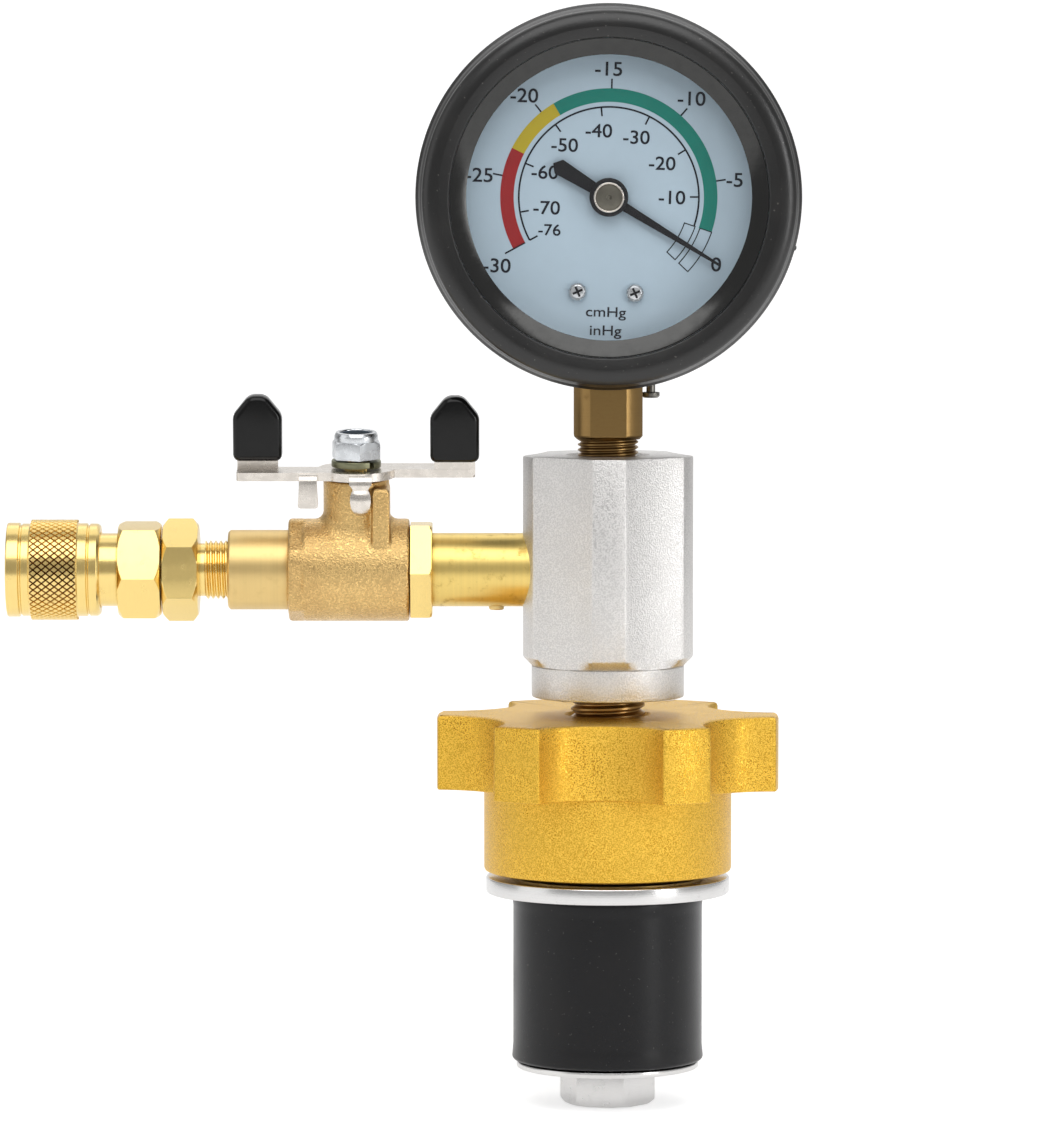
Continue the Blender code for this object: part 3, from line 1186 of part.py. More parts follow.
def build_valve_ball_and_stem(stem):
    radius = BALL_DIAMETER / 2
    bore = BALL_BORE_DIAMETER / 2
    half_arc = acos(bore / radius)
    arc = circle((0, 0), radius, TINY_STEPS, -half_arc, 2 * half_arc)
    shape = turned(arc, FINE_STEPS)
    bmesh.ops.rotate(shape, verts=shape.verts, cent=(0, 0, 0), matrix=Matrix.Rotation(pi / 2, 3, "Y"))
    ball = add_object("valve_ball", shape, stem, finish=BRIGHT_ALUMINIUM)
    half = BALL_SLOT_WIDTH / 2
    slot = block((-radius - OVERRUN, -half, BALL_SLOT_FLOOR), (radius + OVERRUN, half, radius + OVERRUN))
    cut(ball, add_object("ball slot", slot, stem))

    shaft = STEM_DIAMETER / 2
    tang_half = half - SEAT_GAP
    shoulder = radius + SEAT_GAP
    profile = [
        (0, BALL_SLOT_FLOOR + SEAT_GAP),
        (shaft, BALL_SLOT_FLOOR + SEAT_GAP),
        (shaft, PLATE_TOP),
        (STEM_THREAD_DIAMETER / 2, PLATE_TOP),
        (STEM_THREAD_DIAMETER / 2, STEM_TOP),
        (0, STEM_TOP),
    ]
    spindle = add_object("valve_stem", turned(profile, SMALL_STEPS), stem, finish=YELLOW_BRASS)
    cheeks = bmesh.new()
    for side in (-1, 1):
        near = side * tang_half
        far = side * STEM_DIAMETER
        low = BALL_SLOT_FLOOR - OVERRUN
        block((-STEM_DIAMETER, min(near, far), low), (STEM_DIAMETER, max(near, far), shoulder), into=cheeks)
    cut(spindle, add_object("tang cheeks", cheeks, stem))
    cut(spindle, add_object("stem flats", stem_flats(STEM_FLATS / 2, STEM_DIAMETER), stem))

    inner = shaft + SEAT_GAP
    packing = ring_profile(inner, PACKING_DIAMETER / 2, PACKING_LIFT, PACKING_LIFT + PACKING_HEIGHT)
    add_object("stem_packing", turned(packing, SMALL_STEPS), stem, finish=WHITE_PLASTIC)


def stem_flats(half_width, reach):
    """Two blocks that leave the stem's two flats where it passes the handle."""
    shape = bmesh.new()
    low = NECK_HEIGHT
    high = PLATE_TOP + OVERRUN
    block((-reach, half_width, low), (reach, reach, high), into=shape)
    block((-reach, -reach, low), (reach, -half_width, high), into=shape)
    return shape


def double_d(radius, half_width, steps):
    """The outline of the hole that fits the stem's flats."""
    corner = asin(half_width / radius)
    right = circle((0, 0), radius, steps, -corner, 2 * corner)
    left = circle((0, 0), radius, steps, pi - corner, 2 * corner)
    return right + left


def handle_outline():
    """The plate: a disc with two arms, each wide to one side, the same after half a turn."""
    disc = PLATE_DISC_DIAMETER / 2
    wide = asin(PLATE_WIDE_SIDE / disc)
    narrow = asin(PLATE_NARROW_SIDE / disc)
    half = [(PLATE_REACH, -PLATE_NARROW_SIDE), (PLATE_REACH, PLATE_WIDE_SIDE)]
    half += circle((0, 0), disc, TINY_STEPS, wide, pi - narrow - wide)
    return half + [(-x, -y) for x, y in half]


def build_handle(stem):
    """The pressed handle: plate, two upturned wings and two stop tabs, with a sleeve on each wing."""
    sheet = prism(handle_outline(), PLATE_BOTTOM, PLATE_TOP)
    plate = add_object("valve_handle", sheet, stem, finish=NICKEL_PLATE)
    wings = bmesh.new()
    wing_left = PLATE_REACH - WING_WIDTH
    wing_top = PLATE_TOP + WING_HEIGHT
    middle = PLATE_REACH - WING_WIDTH / 2
    sleeve_bottom = PLATE_TOP + SLEEVE_LIFT
    sleeve_top = sleeve_bottom + SLEEVE_HEIGHT
    shoulder = sleeve_top - SLEEVE_SHOULDER
    half_sleeve = SLEEVE_WIDTH / 2
    half_top = SLEEVE_TOP_WIDTH / 2
    half_pocket = WING_WIDTH / 2 + SEAT_GAP
    wing_shoulder = shoulder - SEAT_GAP
    wing_inset = WING_WIDTH / 2 - half_top
    wing_outline = [
        (wing_left, PLATE_BOTTOM + PLATE_THICKNESS / 2),
        (PLATE_REACH, PLATE_BOTTOM + PLATE_THICKNESS / 2),
        (PLATE_REACH, wing_shoulder),
        (PLATE_REACH - wing_inset, wing_top - SEAT_GAP),
        (wing_left + wing_inset, wing_top - SEAT_GAP),
        (wing_left, wing_shoulder),
    ]
    rise = (sleeve_top - shoulder) * SLEEVE_SLOPE_SHARE
    slope_run = (half_sleeve - half_top) * SLEEVE_SLOPE_SHARE
    sleeve_outline = [
        (middle - half_sleeve, sleeve_bottom),
        (middle + half_sleeve, sleeve_bottom),
        (middle + half_sleeve, shoulder),
        (middle + half_top + slope_run, sleeve_top - rise),
        (middle + half_top, sleeve_top),
        (middle - half_top, sleeve_top),
        (middle - half_top - slope_run, sleeve_top - rise),
        (middle - half_sleeve, shoulder),
    ]
    pocket_outline = [
        (middle - half_pocket, sleeve_bottom - OVERRUN),
        (middle + half_pocket, sleeve_bottom - OVERRUN),
        (middle + half_pocket, wing_shoulder + SEAT_GAP),
        (PLATE_REACH - wing_inset, wing_top),
        (wing_left + wing_inset, wing_top),
        (middle - half_pocket, wing_shoulder + SEAT_GAP),
    ]
    wing_centre = PLATE_NARROW_SIDE - PLATE_THICKNESS / 2
    half_wing = PLATE_THICKNESS / 2
    half_depth = SLEEVE_DEPTH / 2
    for side, side_name in SIDES:
        turn = 0 if side > 0 else pi
        add_moved(wings, upright(wing_outline, wing_centre, half_wing, turn), (0, 0, 0))
        sleeve = upright(sleeve_outline, wing_centre, half_depth, turn)
        grip = add_object(f"wing_sleeve_{side_name}", sleeve, stem, finish=BLACK_VINYL)
        pocket = upright(pocket_outline, wing_centre, half_wing + SEAT_GAP, turn)
        cut(grip, add_object(f"{side_name} sleeve pocket", pocket, stem))
    tab_bottom = PLATE_TOP - TAB_LENGTH
    side_bottom = PLATE_TOP - SIDE_TAB_LENGTH
    tab_left = TAB_OFFSET - TAB_WIDTH
    tab_front = -TAB_STANDOFF - PLATE_THICKNESS
    front_tab = block((tab_left, tab_front, tab_bottom), (TAB_OFFSET, -TAB_STANDOFF, PLATE_TOP))
    bridge = block((tab_left, tab_front, PLATE_BOTTOM), (TAB_OFFSET, 0, PLATE_TOP))
    side_left = -SIDE_TAB_START - TAB_WIDTH
    side_front = -PLATE_WIDE_SIDE - PLATE_THICKNESS
    side_tab = block((side_left, side_front, side_bottom), (-SIDE_TAB_START, -PLATE_WIDE_SIDE, PLATE_TOP))
    side_bridge = block((side_left, side_front, PLATE_BOTTOM), (-SIDE_TAB_START, 0, PLATE_TOP))
    join(
        plate,
        add_object("wings", wings, stem),
        add_object("front tab", front_tab, stem),
        add_object("front tab bridge", bridge, stem),
        add_object("side tab", side_tab, stem),
        add_object("side tab bridge", side_bridge, stem),
    )
    hole = double_d(STEM_DIAMETER / 2 + RUNNING_GAP, STEM_FLATS / 2 + RUNNING_GAP, TINY_STEPS)
    cut(plate, add_object("handle hole", prism(hole, PLATE_BOTTOM - OVERRUN, PLATE_TOP + OVERRUN), stem))


def upright(outline, centre, half_depth, turn):
    """A plate that stands in the XZ plane round y = -centre, then turned about the stem's axis."""
    shape = prism(outline, centre - half_depth, centre + half_depth)
    stand = Matrix(((1, 0, 0), (0, 0, -1), (0, 1, 0)))
    spin = Matrix.Rotation(turn, 3, "Z")
    bmesh.ops.transform(shape, verts=shape.verts, matrix=(spin @ stand).to_4x4())
    return shape


def build_handle_fastening(stem):
    """Split spring washer, lock nut and its plastic insert."""
    bore = STEM_THREAD_DIAMETER / 2 + SEAT_GAP
    bottom = SPRING_WASHER_BOTTOM
    top = bottom + SPRING_WASHER_THICKNESS
    ring = ring_profile(bore, SPRING_WASHER_DIAMETER / 2, bottom, top)
    washer = add_object("spring_washer", turned(ring, FINE_STEPS), stem, finish=OLIVE_STEEL)
    half = SPRING_WASHER_SPLIT / 2
    slot = block((0, -half, bottom - OVERRUN), (SPRING_WASHER_DIAMETER, half, top + OVERRUN))
    bmesh.ops.rotate(
        slot, verts=slot.verts, cent=(0, 0, 0), matrix=Matrix.Rotation(SPRING_WASHER_SPLIT_ANGLE, 3, "Z")
    )
    cut(washer, add_object("washer split", slot, stem))

    low = LOCK_NUT_BOTTOM
    crown_bottom = low + LOCK_NUT_HEIGHT - LOCK_NUT_CROWN
    high = low + LOCK_NUT_HEIGHT
    corner = LOCK_NUT_FLATS / 2 / cos(pi / 6)
    crown = LOCK_NUT_CROWN_DIAMETER / 2
    insert_radius = crown - (crown - bore) * LOCK_NUT_RIM_SHARE
    insert_bottom = high - INSERT_HEIGHT - SEAT_GAP
    profile = [
        (bore, low),
        (corner, low),
        (corner, crown_bottom - SEAT_GAP),
        (crown, crown_bottom),
        (crown, high - SEAT_GAP),
        (crown - SEAT_GAP, high),
        (insert_radius + SEAT_GAP, high),
        (insert_radius + SEAT_GAP, insert_bottom - SEAT_GAP),
        (bore, insert_bottom - SEAT_GAP),
    ]
    blank = turned(profile, LOCK_NUT_STEPS, LOCK_NUT_TURN + pi / LOCK_NUT_STEPS)
    nut = add_object("lock_nut", blank, stem, finish=ZINC_PLATE)
    flats = LOCK_NUT_FLATS
    under = low - OVERRUN
    cut(nut, flats_cutter("lock nut flats", flats, 6, under, high + OVERRUN, flats, LOCK_NUT_TURN, stem))
    insert = ring_profile(bore, insert_radius, insert_bottom, insert_bottom + INSERT_HEIGHT)
    add_object("nut_insert", turned(insert, SMALL_STEPS), stem, finish=BLUE_NYLON)


def build_valve_end_nut(arm):
    """The hexagon and the spigot that close the valve, with the socket for the pipe."""
    gap_radius = BALL_DIAMETER / 2 + SEAT_GAP
    spigot_left = VALVE_CENTRE_X + seat_outer_face(gap_radius) + SEAT_GAP
    bore = PIPE_BORE_DIAMETER / 2
    spigot = SEAT_OUTER_DIAMETER / 2
    socket = PIPE_DIAMETER / 2 + SEAT_GAP
    wall = END_NUT_LEFT_X + END_NUT_BACK_WALL
    corner = END_NUT_FLATS / 2 / cos(pi / 6)
    rise = END_NUT_CHAMFER / 2
    profile = [
        (bore, spigot_left),
        (spigot, spigot_left),
        (spigot, END_NUT_LEFT_X),
        (corner - END_NUT_CHAMFER, END_NUT_LEFT_X),
        (corner, END_NUT_LEFT_X + rise),
        (corner, END_NUT_RIGHT_X - rise),
        (corner - END_NUT_CHAMFER, END_NUT_RIGHT_X),
        (socket, END_NUT_RIGHT_X),
        (socket, wall),
        (bore, wall),
    ]
    nut = add_object("valve_end_nut", turned(profile, FINE_STEPS), arm, finish=YELLOW_BRASS)
    low = END_NUT_LEFT_X - SEAT_GAP
    high = END_NUT_RIGHT_X + OVERRUN
    turn = pi / 2 + END_NUT_TURN
    cut(nut, flats_cutter("end nut flats", END_NUT_FLATS, 6, low, high, END_NUT_FLATS, turn, arm))


def build_nipple_adapter(arm):
    """The double male adapter between the valve and the coupler."""
    bore = ADAPTER_BORE_DIAMETER / 2
    thread = ADAPTER_THREAD_DIAMETER / 2
    corner = ADAPTER_FLATS / 2 / cos(pi / 6)
    rise = ADAPTER_CHAMFER / 2
    left = ADAPTER_HEX_LEFT_X
    right = ADAPTER_HEX_RIGHT_X
    profile = [
        (bore, left - ADAPTER_LEFT_SPIGOT),
        (thread, left - ADAPTER_LEFT_SPIGOT),
        (thread, left),
        (corner - ADAPTER_CHAMFER, left),
        (corner, left + rise),
        (corner, right - rise),
        (corner - ADAPTER_CHAMFER, right),
        (thread, right),
        (thread, VALVE_LEFT_X + ADAPTER_ENGAGED),
        (bore, VALVE_LEFT_X + ADAPTER_ENGAGED),
    ]
    adapter = add_object("nipple_adapter", turned(profile, FINE_STEPS), arm, finish=YELLOW_BRASS)
    low = left - OVERRUN
    high = right + OVERRUN
    cut(adapter, flats_cutter("adapter flats", ADAPTER_FLATS, 6, low, high, ADAPTER_FLATS, 0, arm))


def build_coupler(arm):
    """Coupler body, its seal, the knurled swivel sleeve and the wire ring that holds the sleeve on."""
    bore = COUPLER_BORE_DIAMETER / 2
    neck = COUPLER_NECK_DIAMETER / 2
    groove = RING_SEAT_DIAMETER / 2
    groove_right = SLEEVE_RIGHT_X - RING_SETBACK + SEAT_GAP
    groove_left = groove_right - RING_WIDTH - 2 * SEAT_GAP
    corner = COUPLER_HEX_FLATS / 2 / cos(pi / 6)
    rise = COUPLER_HEX_CHAMFER / 2
    left = COUPLER_HEX_LEFT_X
    right = COUPLER_HEX_RIGHT_X
    socket = ADAPTER_THREAD_DIAMETER / 2 + SEAT_GAP
    socket_floor = right - ADAPTER_LEFT_SPIGOT
    seal = COUPLER_SEAL_DIAMETER / 2
    seal_floor = COUPLER_NOSE_X + COUPLER_SEAL_THICKNESS
    profile = [
        (bore, seal_floor),
        (seal - COUPLER_SOCKET_WALL, seal_floor),
        (seal - COUPLER_SOCKET_WALL, COUPLER_NOSE_X),
        (neck, COUPLER_NOSE_X),
        (neck, groove_left),
        (groove, groove_left),
        (groove, groove_right),
        (neck, groove_right),
        (neck, left),
        (corner - COUPLER_HEX_CHAMFER, left),
        (corner, left + rise),
        (corner, right - rise),
        (corner - COUPLER_HEX_CHAMFER, right),
        (socket, right),
        (socket, socket_floor),
        (bore, socket_floor),
    ]
    body = add_object("coupler_body", turned(profile, FINE_STEPS), arm, finish=YELLOW_BRASS)
    low = left - OVERRUN
    high = right + OVERRUN
    turn = pi / 2 + COUPLER_HEX_TURN
    cut(body, flats_cutter("coupler flats", COUPLER_HEX_FLATS, 6, low, high, COUPLER_HEX_FLATS, turn, arm))

    seal_outer = seal - COUPLER_SOCKET_WALL - SEAT_GAP
    seal_top = seal_floor - SEAT_GAP
    seal_ring = ring_profile(bore, seal_outer, seal_top - COUPLER_SEAL_THICKNESS, seal_top)
    add_object("coupler_seal", turned(seal_ring, FINE_STEPS), arm, finish=BLACK_RUBBER)

    ring_left = groove_left + SEAT_GAP
    wire = ring_profile(groove + SEAT_GAP, RING_DIAMETER / 2, ring_left, ring_left + RING_WIDTH)
    add_object("sleeve_retaining_ring", turned(wire, FINE_STEPS), arm, finish=ZINC_PLATE)

    sleeve_bore = neck + SEAT_GAP
    thread = SLEEVE_THREAD_DIAMETER / 2
    ring_room = RING_DIAMETER / 2 + SEAT_GAP
    ring_room_left = ring_left - SEAT_GAP
    ring_room_right = ring_left + RING_WIDTH + SEAT_GAP
    step_x = SLEEVE_LEFT_X + SLEEVE_STEP_LENGTH
    knurl_left = step_x + SLEEVE_RING_LENGTH
    knurl_right = knurl_left + KNURL_LENGTH
    thread_end = COUPLER_NOSE_X + SEAT_GAP
    sleeve = [
        (thread, SLEEVE_LEFT_X),
        (SLEEVE_END_DIAMETER / 2, SLEEVE_LEFT_X),
        (SLEEVE_END_DIAMETER / 2, step_x),
        (SLEEVE_STEP_DIAMETER / 2, step_x),
        (SLEEVE_STEP_DIAMETER / 2, knurl_left),
        (KNURL_DIAMETER / 2 - KNURL_CHAMFER, knurl_left),
        (KNURL_DIAMETER / 2, knurl_left + KNURL_CHAMFER),
        (KNURL_DIAMETER / 2, knurl_right - KNURL_CHAMFER),
        (KNURL_DIAMETER / 2 - KNURL_CHAMFER, knurl_right),
        (SLEEVE_RIGHT_DIAMETER / 2, knurl_right),
        (SLEEVE_RIGHT_DIAMETER / 2, SLEEVE_RIGHT_X),
        (sleeve_bore, SLEEVE_RIGHT_X),
        (sleeve_bore, ring_room_right),
        (ring_room, ring_room_right),
        (ring_room, ring_room_left),
        (sleeve_bore, ring_room_left),
        (sleeve_bore, thread_end),
        (thread, thread_end),
    ]
    add_object("coupler_sleeve", turned(sleeve, FINE_STEPS), arm, finish=YELLOW_BRASS)


def main():
    clear_scene()
    arm = axis_empty("arm_axis", (0, 0, ARM_HEIGHT), (0, pi / 2, 0))
    stem = axis_empty("valve_stem_axis", (VALVE_CENTRE_X, 0, ARM_HEIGHT), (VALVE_LEAN, 0, 0))
    gauge = axis_empty("gauge_axis", (0, 0, GAUGE_CENTRE), (pi / 2, 0, 0))

    build_centre_tube()
    build_bottom_nut_and_washer()
    build_stopper()
    build_clamp_plate()
    build_star_knob()
    build_manifold_body(arm)

    socket = build_gauge_socket()
    case, dial = build_gauge_shells(gauge)
    boot = build_boot(gauge)
    frame = build_movement_frame(gauge)
    build_screws(socket, case, boot, dial, frame, gauge)
    build_bourdon_tube(gauge)
    build_pinion_arbor(gauge)
    build_sector_gear(gauge)
    build_movement_link(gauge)
    build_hairspring(gauge)
    build_pointer(gauge)

    build_side_pipe(arm)
    build_valve_body(arm, stem)
    build_ball_seats(arm)
    build_valve_ball_and_stem(stem)
    build_handle(stem)
    build_handle_fastening(stem)
    build_valve_end_nut(arm)
    build_nipple_adapter(arm)
    build_coupler(arm)


main()
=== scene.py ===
"""The looks of a coolant vacuum filler: its fine visible pieces, their finishes and a small studio.

Sizes are in millimetres until a mesh is made. Every piece is built in one of four frames: the main axis, the
hose arm, the valve's stem and the gauge. A frame's Z axis is the axis that its round pieces turn about.
"""

import logging
from collections.abc import Iterable, Mapping, Sequence
from dataclasses import dataclass
from enum import Enum
from math import acos, asin, atan2, ceil, cos, degrees, floor, hypot, pi, radians, sin, sqrt, tan

import bmesh
import bpy
from mathutils import Matrix, Vector


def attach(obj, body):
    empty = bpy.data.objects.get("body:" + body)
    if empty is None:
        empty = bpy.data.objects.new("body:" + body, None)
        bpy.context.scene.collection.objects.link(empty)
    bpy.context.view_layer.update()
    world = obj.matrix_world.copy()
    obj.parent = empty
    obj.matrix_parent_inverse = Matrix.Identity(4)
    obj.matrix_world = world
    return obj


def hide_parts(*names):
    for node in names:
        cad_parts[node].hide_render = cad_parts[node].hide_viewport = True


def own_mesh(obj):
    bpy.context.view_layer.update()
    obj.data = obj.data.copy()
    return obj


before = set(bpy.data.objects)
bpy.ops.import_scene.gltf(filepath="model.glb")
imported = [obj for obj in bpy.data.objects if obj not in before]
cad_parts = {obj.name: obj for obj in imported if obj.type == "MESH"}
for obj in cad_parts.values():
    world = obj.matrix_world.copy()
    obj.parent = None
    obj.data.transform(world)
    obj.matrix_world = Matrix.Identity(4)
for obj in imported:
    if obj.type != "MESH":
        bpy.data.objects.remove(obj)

LOG = logging.getLogger("coolant_vacuum_filler")

MM = 0.001
SHARP_ANGLE = 32.0
MERGE_DISTANCE = 0.0000005
CHAMFER_SLOPE = 0.8
HEXAGON_EDGE = 0.18
SHORTEST_SIDE = 1e-6
SHARPEST_CORNER = 4.0
FLATTEST_CORNER = 172.0
LONGEST_CUT = 0.45
STRONGEST_INSET = 2.0
BEVEL_ANGLE = 28.0
BEVEL_STEPS = 3

Pair = tuple[float, float]
Triple = tuple[float, float, float]
Outline = list[Pair]


class Body(str, Enum):
    """The moving bodies of the simulation frame that a piece can ride on."""

    ROOT = "root"
    CLAMP = "clamp_plate"
    KNOB = "star_knob"
    HANDLE = "handle"
    POINTER = "pointer"
    SLEEVE = "coupler_sleeve"


class Steps(int, Enum):
    """How many steps a full turn is drawn with."""

    LARGE = 192
    ROUND = 120
    SMALL = 60
    TINY = 30


@dataclass(frozen=True)
class Layout:
    """Where the four frames lie, in millimetres and degrees."""

    arm_height: float = 58.1
    stem_x: float = -45.1
    stem_lean: float = 6.0
    gauge_height: float = 125.1

    def main(self) -> Matrix:
        """The frame of the main axis."""
        return Matrix.Identity(4)

    def arm(self) -> Matrix:
        """The arm's frame: Z along world +X, X down and Y away from the viewer."""
        return Matrix.Translation((0, 0, self.arm_height * MM)) @ Matrix.Rotation(pi / 2, 4, "Y")

    def stem(self) -> Matrix:
        """The valve stem's frame, leaned toward the viewer."""
        place = Matrix.Translation((self.stem_x * MM, 0, self.arm_height * MM))
        return place @ Matrix.Rotation(radians(self.stem_lean), 4, "X")

    def gauge(self) -> Matrix:
        """The gauge's frame: X right and Y up on the dial, Z toward the viewer."""
        return Matrix.Translation((0, 0, self.gauge_height * MM)) @ Matrix.Rotation(pi / 2, 4, "X")


LAYOUT = Layout()
MAIN = LAYOUT.main()
ARM = LAYOUT.arm()
STEM = LAYOUT.stem()
GAUGE = LAYOUT.gauge()


def polar(radius: float, angle: float) -> Pair:
    """A point from its distance and its angle in degrees."""
    return radius * cos(radians(angle)), radius * sin(radians(angle))


def arc(centre: Pair, radius: float, start: float, end: float, steps: int) -> Outline:
    """Points along an arc.

    Args:
        centre: The arc's centre.
        radius: Its radius.
        start: Its first angle in degrees.
        end: Its last angle in degrees.
        steps: How many chords it is drawn with.

    Returns:
        The points, both ends included.
    """
    points = []
    for index in range(steps + 1):
        x, y = polar(radius, start + (end - start) * index / steps)
        points.append((centre[0] + x, centre[1] + y))
    return points


def ellipse(centre: Pair, wide: float, high: float, steps: int = 14) -> Outline:
    """The quarter of an ellipse from its top to its right end.

    Args:
        centre: The ellipse's centre.
        wide: Its half width.
        high: Its half height.
        steps: How many chords the quarter is drawn with.

    Returns:
        The points, without the top itself.
    """
    turns = [pi / 2 * step / steps for step in range(1, steps + 1)]
    return [(centre[0] + wide * sin(turn), centre[1] + high * cos(turn)) for turn in turns]


def box(left: float, right: float, low: float, high: float) -> Outline:
    """The corners of a rectangle, counter-clockwise from its lower left."""
    return [(left, low), (right, low), (right, high), (left, high)]


def rounded(points: Sequence[Pair], radius: float, steps: int = 3, keep: Iterable[int] = ()) -> Outline:
    """Round the corners of a closed outline.

    Args:
        points: The outline's corners.
        radius: The rounding's radius, made smaller where two corners are close.
        steps: Chords in each rounding.
        keep: Indices of the corners that stay sharp.

    Returns:
        The outline with an arc at each rounded corner.
    """
    kept = set(keep)
    result: Outline = []
    count = len(points)
    for index, point in enumerate(points):
        corner = Vector(point)
        before = Vector(points[index - 1]) - corner
        after = Vector(points[(index + 1) % count]) - corner
        if index in kept or min(before.length, after.length) < SHORTEST_SIDE:
            result.append(point)
            continue
        opening = before.angle(after)
        if not radians(SHARPEST_CORNER) <= opening <= radians(FLATTEST_CORNER):
            result.append(point)
            continue
        longest = LONGEST_CUT * min(before.length, after.length)
        reach = min(radius / tan(opening / 2), longest)
        actual = reach * tan(opening / 2)
        bisector = (before.normalized() + after.normalized()).normalized()
        centre = corner + bisector * (actual / sin(opening / 2))
        first = corner + before.normalized() * reach - centre
        turn = first.angle_signed(corner + after.normalized() * reach - centre)
        for step in range(steps + 1):
            spoke = Matrix.Rotation(-turn * step / steps, 2) @ first
            result.append(tuple(centre + spoke))
    return result


def inset(outline: Sequence[Pair], distance: float) -> Outline:
    """Move each point of a closed outline inward, square to its own edges.

    Args:
        outline: The points, counter-clockwise.
        distance: How far its edges move.

    Returns:
        The smaller outline, with as many points.
    """
    result: Outline = []
    count = len(outline)
    for index, point in enumerate(outline):
        before = (Vector(point) - Vector(outline[index - 1])).normalized()
        after = (Vector(outline[(index + 1) % count]) - Vector(point)).normalized()
        normal = Vector((-before.y - after.y, before.x + after.x)).normalized()
        along = Vector((-after.y, after.x))
        reach = distance / max(normal.dot(along), 1 / STRONGEST_INSET)
        result.append((point[0] + normal.x * reach, point[1] + normal.y * reach))
    return result


def held_in(outline: Sequence[Pair], limit: float) -> Outline:
    """An outline whose farther points are drawn in to a circle."""
    return [polar(min(hypot(x, y), limit), degrees(atan2(y, x))) for x, y in outline]


class Form:
    """One closed or open skin in millimetres, gathered before it becomes part of a mesh."""

    def __init__(self) -> None:
        """Start without points and faces."""
        self.points: list[Triple] = []
        self.faces: list[tuple[int, ...]] = []

    def grid(
        self, rows: Sequence[Sequence[Triple]], wrap_rows: bool = False, wrap_columns: bool = True
    ) -> "Form":
        """Add quads over rows of points.

        Args:
            rows: Rows with equally many points each.
            wrap_rows: Whether the last row joins the first.
            wrap_columns: Whether each row's last point joins its first.

        Returns:
            The form itself.
        """
        start = len(self.points)
        width = len(rows[0])
        for row in rows:
            self.points.extend(row)
        row_pairs = range(len(rows) if wrap_rows else len(rows) - 1)
        column_pairs = range(width if wrap_columns else width - 1)
        for row in row_pairs:
            near = start + row * width
            far = start + ((row + 1) % len(rows)) * width
            for column in column_pairs:
                following = (column + 1) % width
                self.faces.append((near + column, near + following, far + following, far + column))
        return self

    def turned(self, profile: Sequence[Pair], steps: int = Steps.ROUND) -> "Form":
        """Spin a profile about the frame's axis.

        Args:
            profile: Its (radius, height) points; it is closed unless both ends lie on the axis.
            steps: Steps of the full turn.

        Returns:
            The form itself.
        """
        rows = []
        for radius, height in profile:
            rows.append([(*polar(radius, 360 * index / steps), height) for index in range(steps)])
        solid = profile[0][0] == 0 and profile[-1][0] == 0
        return self.grid(rows, wrap_rows=not solid)

    def capped(self, rows: Sequence[Sequence[Triple]]) -> "Form":
        """Add quads over closed rows of points, and a cap on the first and on the last row.

        Args:
            rows: Rows with equally many points each.

        Returns:
            The form itself.
        """
        first = len(self.points)
        self.grid(rows)
        width = len(rows[0])
        last = len(self.points) - width
        self.faces.append(tuple(range(first, first + width)))
        self.faces.append(tuple(range(last, last + width)))
        return self

    def stacked(self, layers: Sequence[tuple[Sequence[Pair], float]], ring_shaped: bool = False) -> "Form":
        """Join outlines at their heights.

        Args:
            layers: Outlines of equally many points, each with its height.
            ring_shaped: Whether the last layer joins the first, instead of a cap on each.

        Returns:
            The form itself.
        """
        rows = [[(x, y, height) for x, y in outline] for outline, height in layers]
        return self.grid(rows, wrap_rows=True) if ring_shaped else self.capped(rows)

    def prism(self, outline: Sequence[Pair], low: float, high: float, bevel: float = 0.0) -> "Form":
        """Extrude an outline.

        Args:
            outline: Its points, counter-clockwise.
            low: Height of its lower end.
            high: Height of its upper end.
            bevel: Width of the bevel round both ends.

        Returns:
            The form itself.
        """
        if not bevel:
            return self.stacked([(outline, low), (outline, high)])
        small = inset(outline, bevel)
        return self.stacked([(small, low), (outline, low + bevel), (outline, high - bevel), (small, high)])

    def moved(self, matrix: Matrix) -> "Form":
        """Transform every point gathered so far, in millimetres."""
        self.points = [tuple(matrix @ Vector(point)) for point in self.points]
        return self

    def cut_at(self, height: float, keep_above: bool) -> "Form":
        """Slice the form with a level plane.

        Args:
            height: The plane's height.
            keep_above: Whether the upper side is kept, or else the lower.

        Returns:
            The form itself.
        """
        shape = self.to_bmesh()
        bmesh.ops.bisect_plane(
            shape,
            geom=[*shape.verts, *shape.edges, *shape.faces],
            plane_co=(0, 0, height * MM),
            plane_no=(0, 0, 1),
            clear_inner=keep_above,
            clear_outer=not keep_above,
        )
        shape.verts.index_update()
        self.points = [tuple(vertex.co / MM) for vertex in shape.verts]
        self.faces = [tuple(vertex.index for vertex in face.verts) for face in shape.faces]
        shape.free()
        return self

    def to_bmesh(self) -> bmesh.types.BMesh:
        """The form in metres, with doubled points merged and its faces turned outward.

        Returns:
            The mesh, which the caller frees.
        """
        mesh = bpy.data.meshes.new("form")
        mesh.from_pydata([(x * MM, y * MM, z * MM) for x, y, z in self.points], [], self.faces)
        shape = bmesh.new()
        shape.from_mesh(mesh)
        bpy.data.meshes.remove(mesh)
        bmesh.ops.remove_doubles(shape, verts=shape.verts, dist=MERGE_DISTANCE)
        loose = [edge for edge in shape.edges if not edge.link_faces]
        bmesh.ops.delete(shape, geom=loose, context="EDGES")
        bmesh.ops.recalc_face_normals(shape, faces=shape.faces)
        return shape


